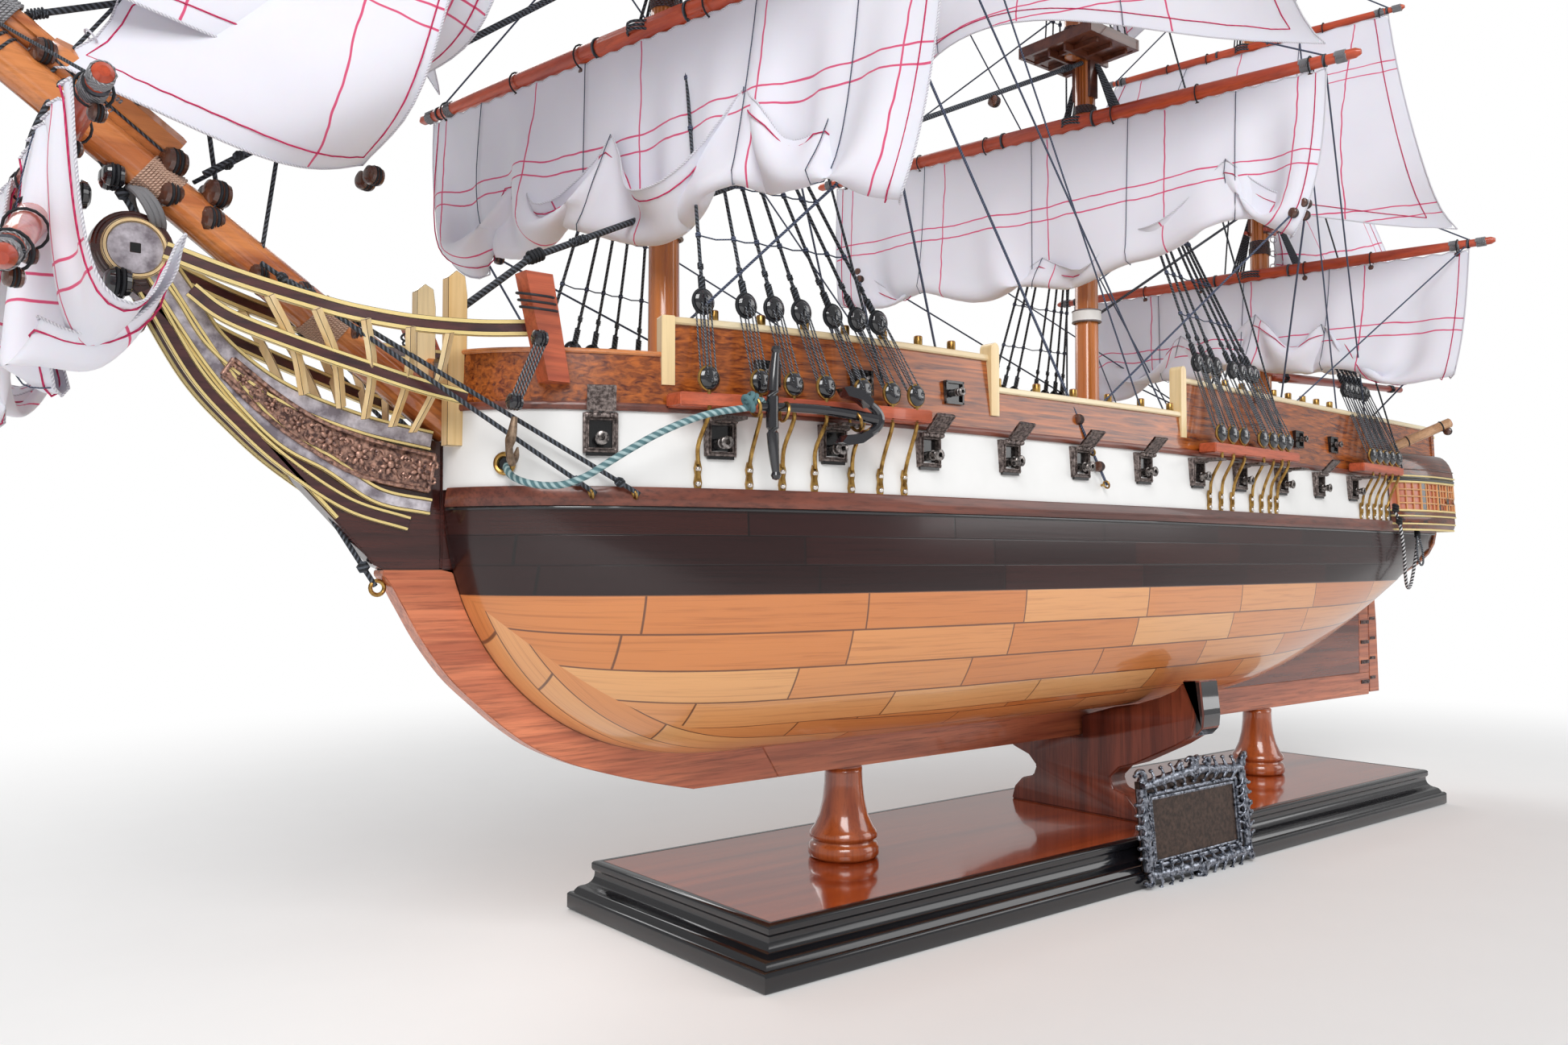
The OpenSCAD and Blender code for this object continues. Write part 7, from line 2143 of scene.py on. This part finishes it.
def fore_and_aft(name, head, tack, clew, y, slack, wind, peak=None):
    """Sail in the ship's middle plane, from [x, z] corners. With a peak its head is an edge, not a point."""
    n, m = 27, 41
    u, t = np.meshgrid(np.linspace(0, 1, n), np.linspace(0, 1, m), indexing="ij")
    top_left, top_right = np.array(head, float), np.array(
        peak if peak is not None else (head[0] + 3, head[1] - 1), float
    )
    left = top_left + (np.array(tack) - top_left) * t[..., None]
    right = top_right + (np.array(clew) - top_right) * t[..., None]
    q = left + (right - left) * u[..., None]
    q[..., 1] += 5 * np.sin(math.pi * u) * t**3
    down = (np.array(clew) - top_right) / np.linalg.norm(np.array(clew) - top_right)
    flat = np.stack([(q - top_right) @ (-down[1], down[0]), (q - top_right) @ down], -1) * slack
    flat -= flat.min((0, 1))
    rng = np.random.default_rng(11)
    p = np.stack(
        [q[..., 0], y + math.copysign(6, wind[1]) * np.sin(math.pi * u) * np.sin(math.pi * t), q[..., 1]],
        -1
    ) + rng.normal(0, 0.2, (n, m, 3))
    held = np.zeros((n, m))
    held[0, ::3] = held[0, -1] = held[-1, -1] = 1
    held[:, 0] = 1
    if peak is not None:
        held[::4, -1] = 1
    p[..., 1] = np.where(held > 0, y, p[..., 1])
    p = hang(p, flat, held, wind, None, 150)
    hanks = [(p[0, j] - (1.2, 0, 0), 2.0, (1, 0, 1)) for j in range(2, m - 1, 4)]
    cloth_piece(name, p, flat, Matrix.Identity(4), (), hanks)


def sails():
    square_sails()
    sprit_sails()
    fore_and_aft("near_jib", (-291, 500), (-444, 272), (-360.5, 262.6), -3, 1.012, (0, -0.5, 0))
    fore_and_aft("far_jib", (-282, 514), (-478, 305), (-340, 297), 3, 1.012, (0, -0.4, 0))
    fore_and_aft(
        "spanker", (184, 334), (184, 253.5), (322, 259), 0, 1.015, (0, -0.4, 0), peak=(284, 385),
    )
    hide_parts("sails")


# ---------------------------------------------------------------- camera, light and floor


def floor_paper():
    """White paper that turns to plain white light away from the model, for the camera alone."""
    g = Graph("floor_white", 0.7)
    g.done(g.blend(g.noise(g.place(), 30, 2), (0.92, 0.92, 0.92), (0.94, 0.94, 0.94)))
    away = g.node("VectorMath", {0: g.place()}, operation="LENGTH").outputs["Value"]
    seen = g.node("LightPath").outputs["Is Camera Ray"]
    glow = g.node("Emission", {"Color": (1, 1, 1, 1)})
    factor = g.math("MULTIPLY", g.step(away, 0.45, 0.85), seen)
    both = g.node("MixShader", {0: factor, 1: g.shader.outputs[0], 2: glow.outputs[0]})
    g.tree.links.new(both.outputs[0], g.tree.nodes["Material Output"].inputs["Surface"])
    return g.material


def stage():
    """A wide pale floor."""
    floor = Shape()
    floor.add([(-9000, -9000, 0), (9000, -9000, 0), (9000, 9000, 0), (-9000, 9000, 0)], [(0, 1, 2, 3)])
    mesh = bpy.data.meshes.new("floor")
    mesh.from_pydata((np.concatenate(floor.points) * MM).tolist(), [], floor.faces)
    mesh.materials.append(floor_paper())
    obj = bpy.data.objects.new("floor", mesh)
    bpy.context.collection.objects.link(obj)


def area_light(name, place, target, size, power, colour=(1, 1, 1)):
    data = bpy.data.lights.new(name, "AREA")
    data.shape, data.size, data.energy, data.color = "SQUARE", size, power, colour
    obj = bpy.data.objects.new(name, data)
    obj.location = place
    obj.rotation_euler = (Vector(target) - Vector(place)).to_track_quat("-Z", "Y").to_euler()
    bpy.context.collection.objects.link(obj)


def studio():
    """White surroundings that the camera sees brighter than the model does, and three soft lights."""
    world = bpy.data.worlds.new("studio")
    world.use_nodes = True
    tree = world.node_tree
    background = tree.nodes["Background"]
    background.inputs["Color"].default_value = (1, 1, 1, 1)
    seen = tree.nodes.new("ShaderNodeLightPath")
    strength = tree.nodes.new("ShaderNodeMapRange")
    strength.inputs["To Min"].default_value = 0.42
    strength.inputs["To Max"].default_value = 1.0
    tree.links.new(seen.outputs["Is Camera Ray"], strength.inputs["Value"])
    tree.links.new(strength.outputs["Result"], background.inputs["Strength"])
    bpy.context.scene.world = world
    area_light("key", (-1.3, -1.5, 1.5), (-0.05, 0, 0.25), 1.2, 34)
    area_light("fill", (1.4, -1.2, 0.8), (0.1, 0, 0.25), 1.0, 7)
    area_light("back", (0.2, 1.8, 1.6), (0, 0, 0.3), 1.4, 16)
    bpy.context.scene.view_settings.view_transform = "Standard"
    bpy.context.scene.view_settings.look = "None"


def camera():
    """The view of the photograph, as fitted to the hull, stand and masts."""
    data = bpy.data.cameras.new("camera")
    data.lens, data.sensor_width = 28.25, 36
    data.clip_start, data.clip_end = 0.01, 50
    obj = bpy.data.objects.new("camera", data)
    obj.location = (-0.4970, -0.3789, 0.1394)
    obj.rotation_euler = (math.radians(91.85), 0, math.radians(-39.03))
    bpy.context.collection.objects.link(obj)
    bpy.context.scene.camera = obj


# ---------------------------------------------------------------- the whole object

base_board()
nameplate()
cradle()
backbone()
rudder()
bottom()
sides()
bulwarks()
decks()
gunports()
guns()
lids()
channels()
deadeyes()
anchors()
both_cords("anchor_cable", ANCHOR_CABLE, 1.1, CABLE_ROPE)
both_cords("quarter_rope", QUARTER_ROPE, 0.9, PALE_ROPE)
knots()
deck_fittings()
head()
galleries()
stern_panel()
masts()
yards()
bowsprit()
gaff_and_boom()
shrouds()
rigging()
sails()
stage()
studio()
camera()
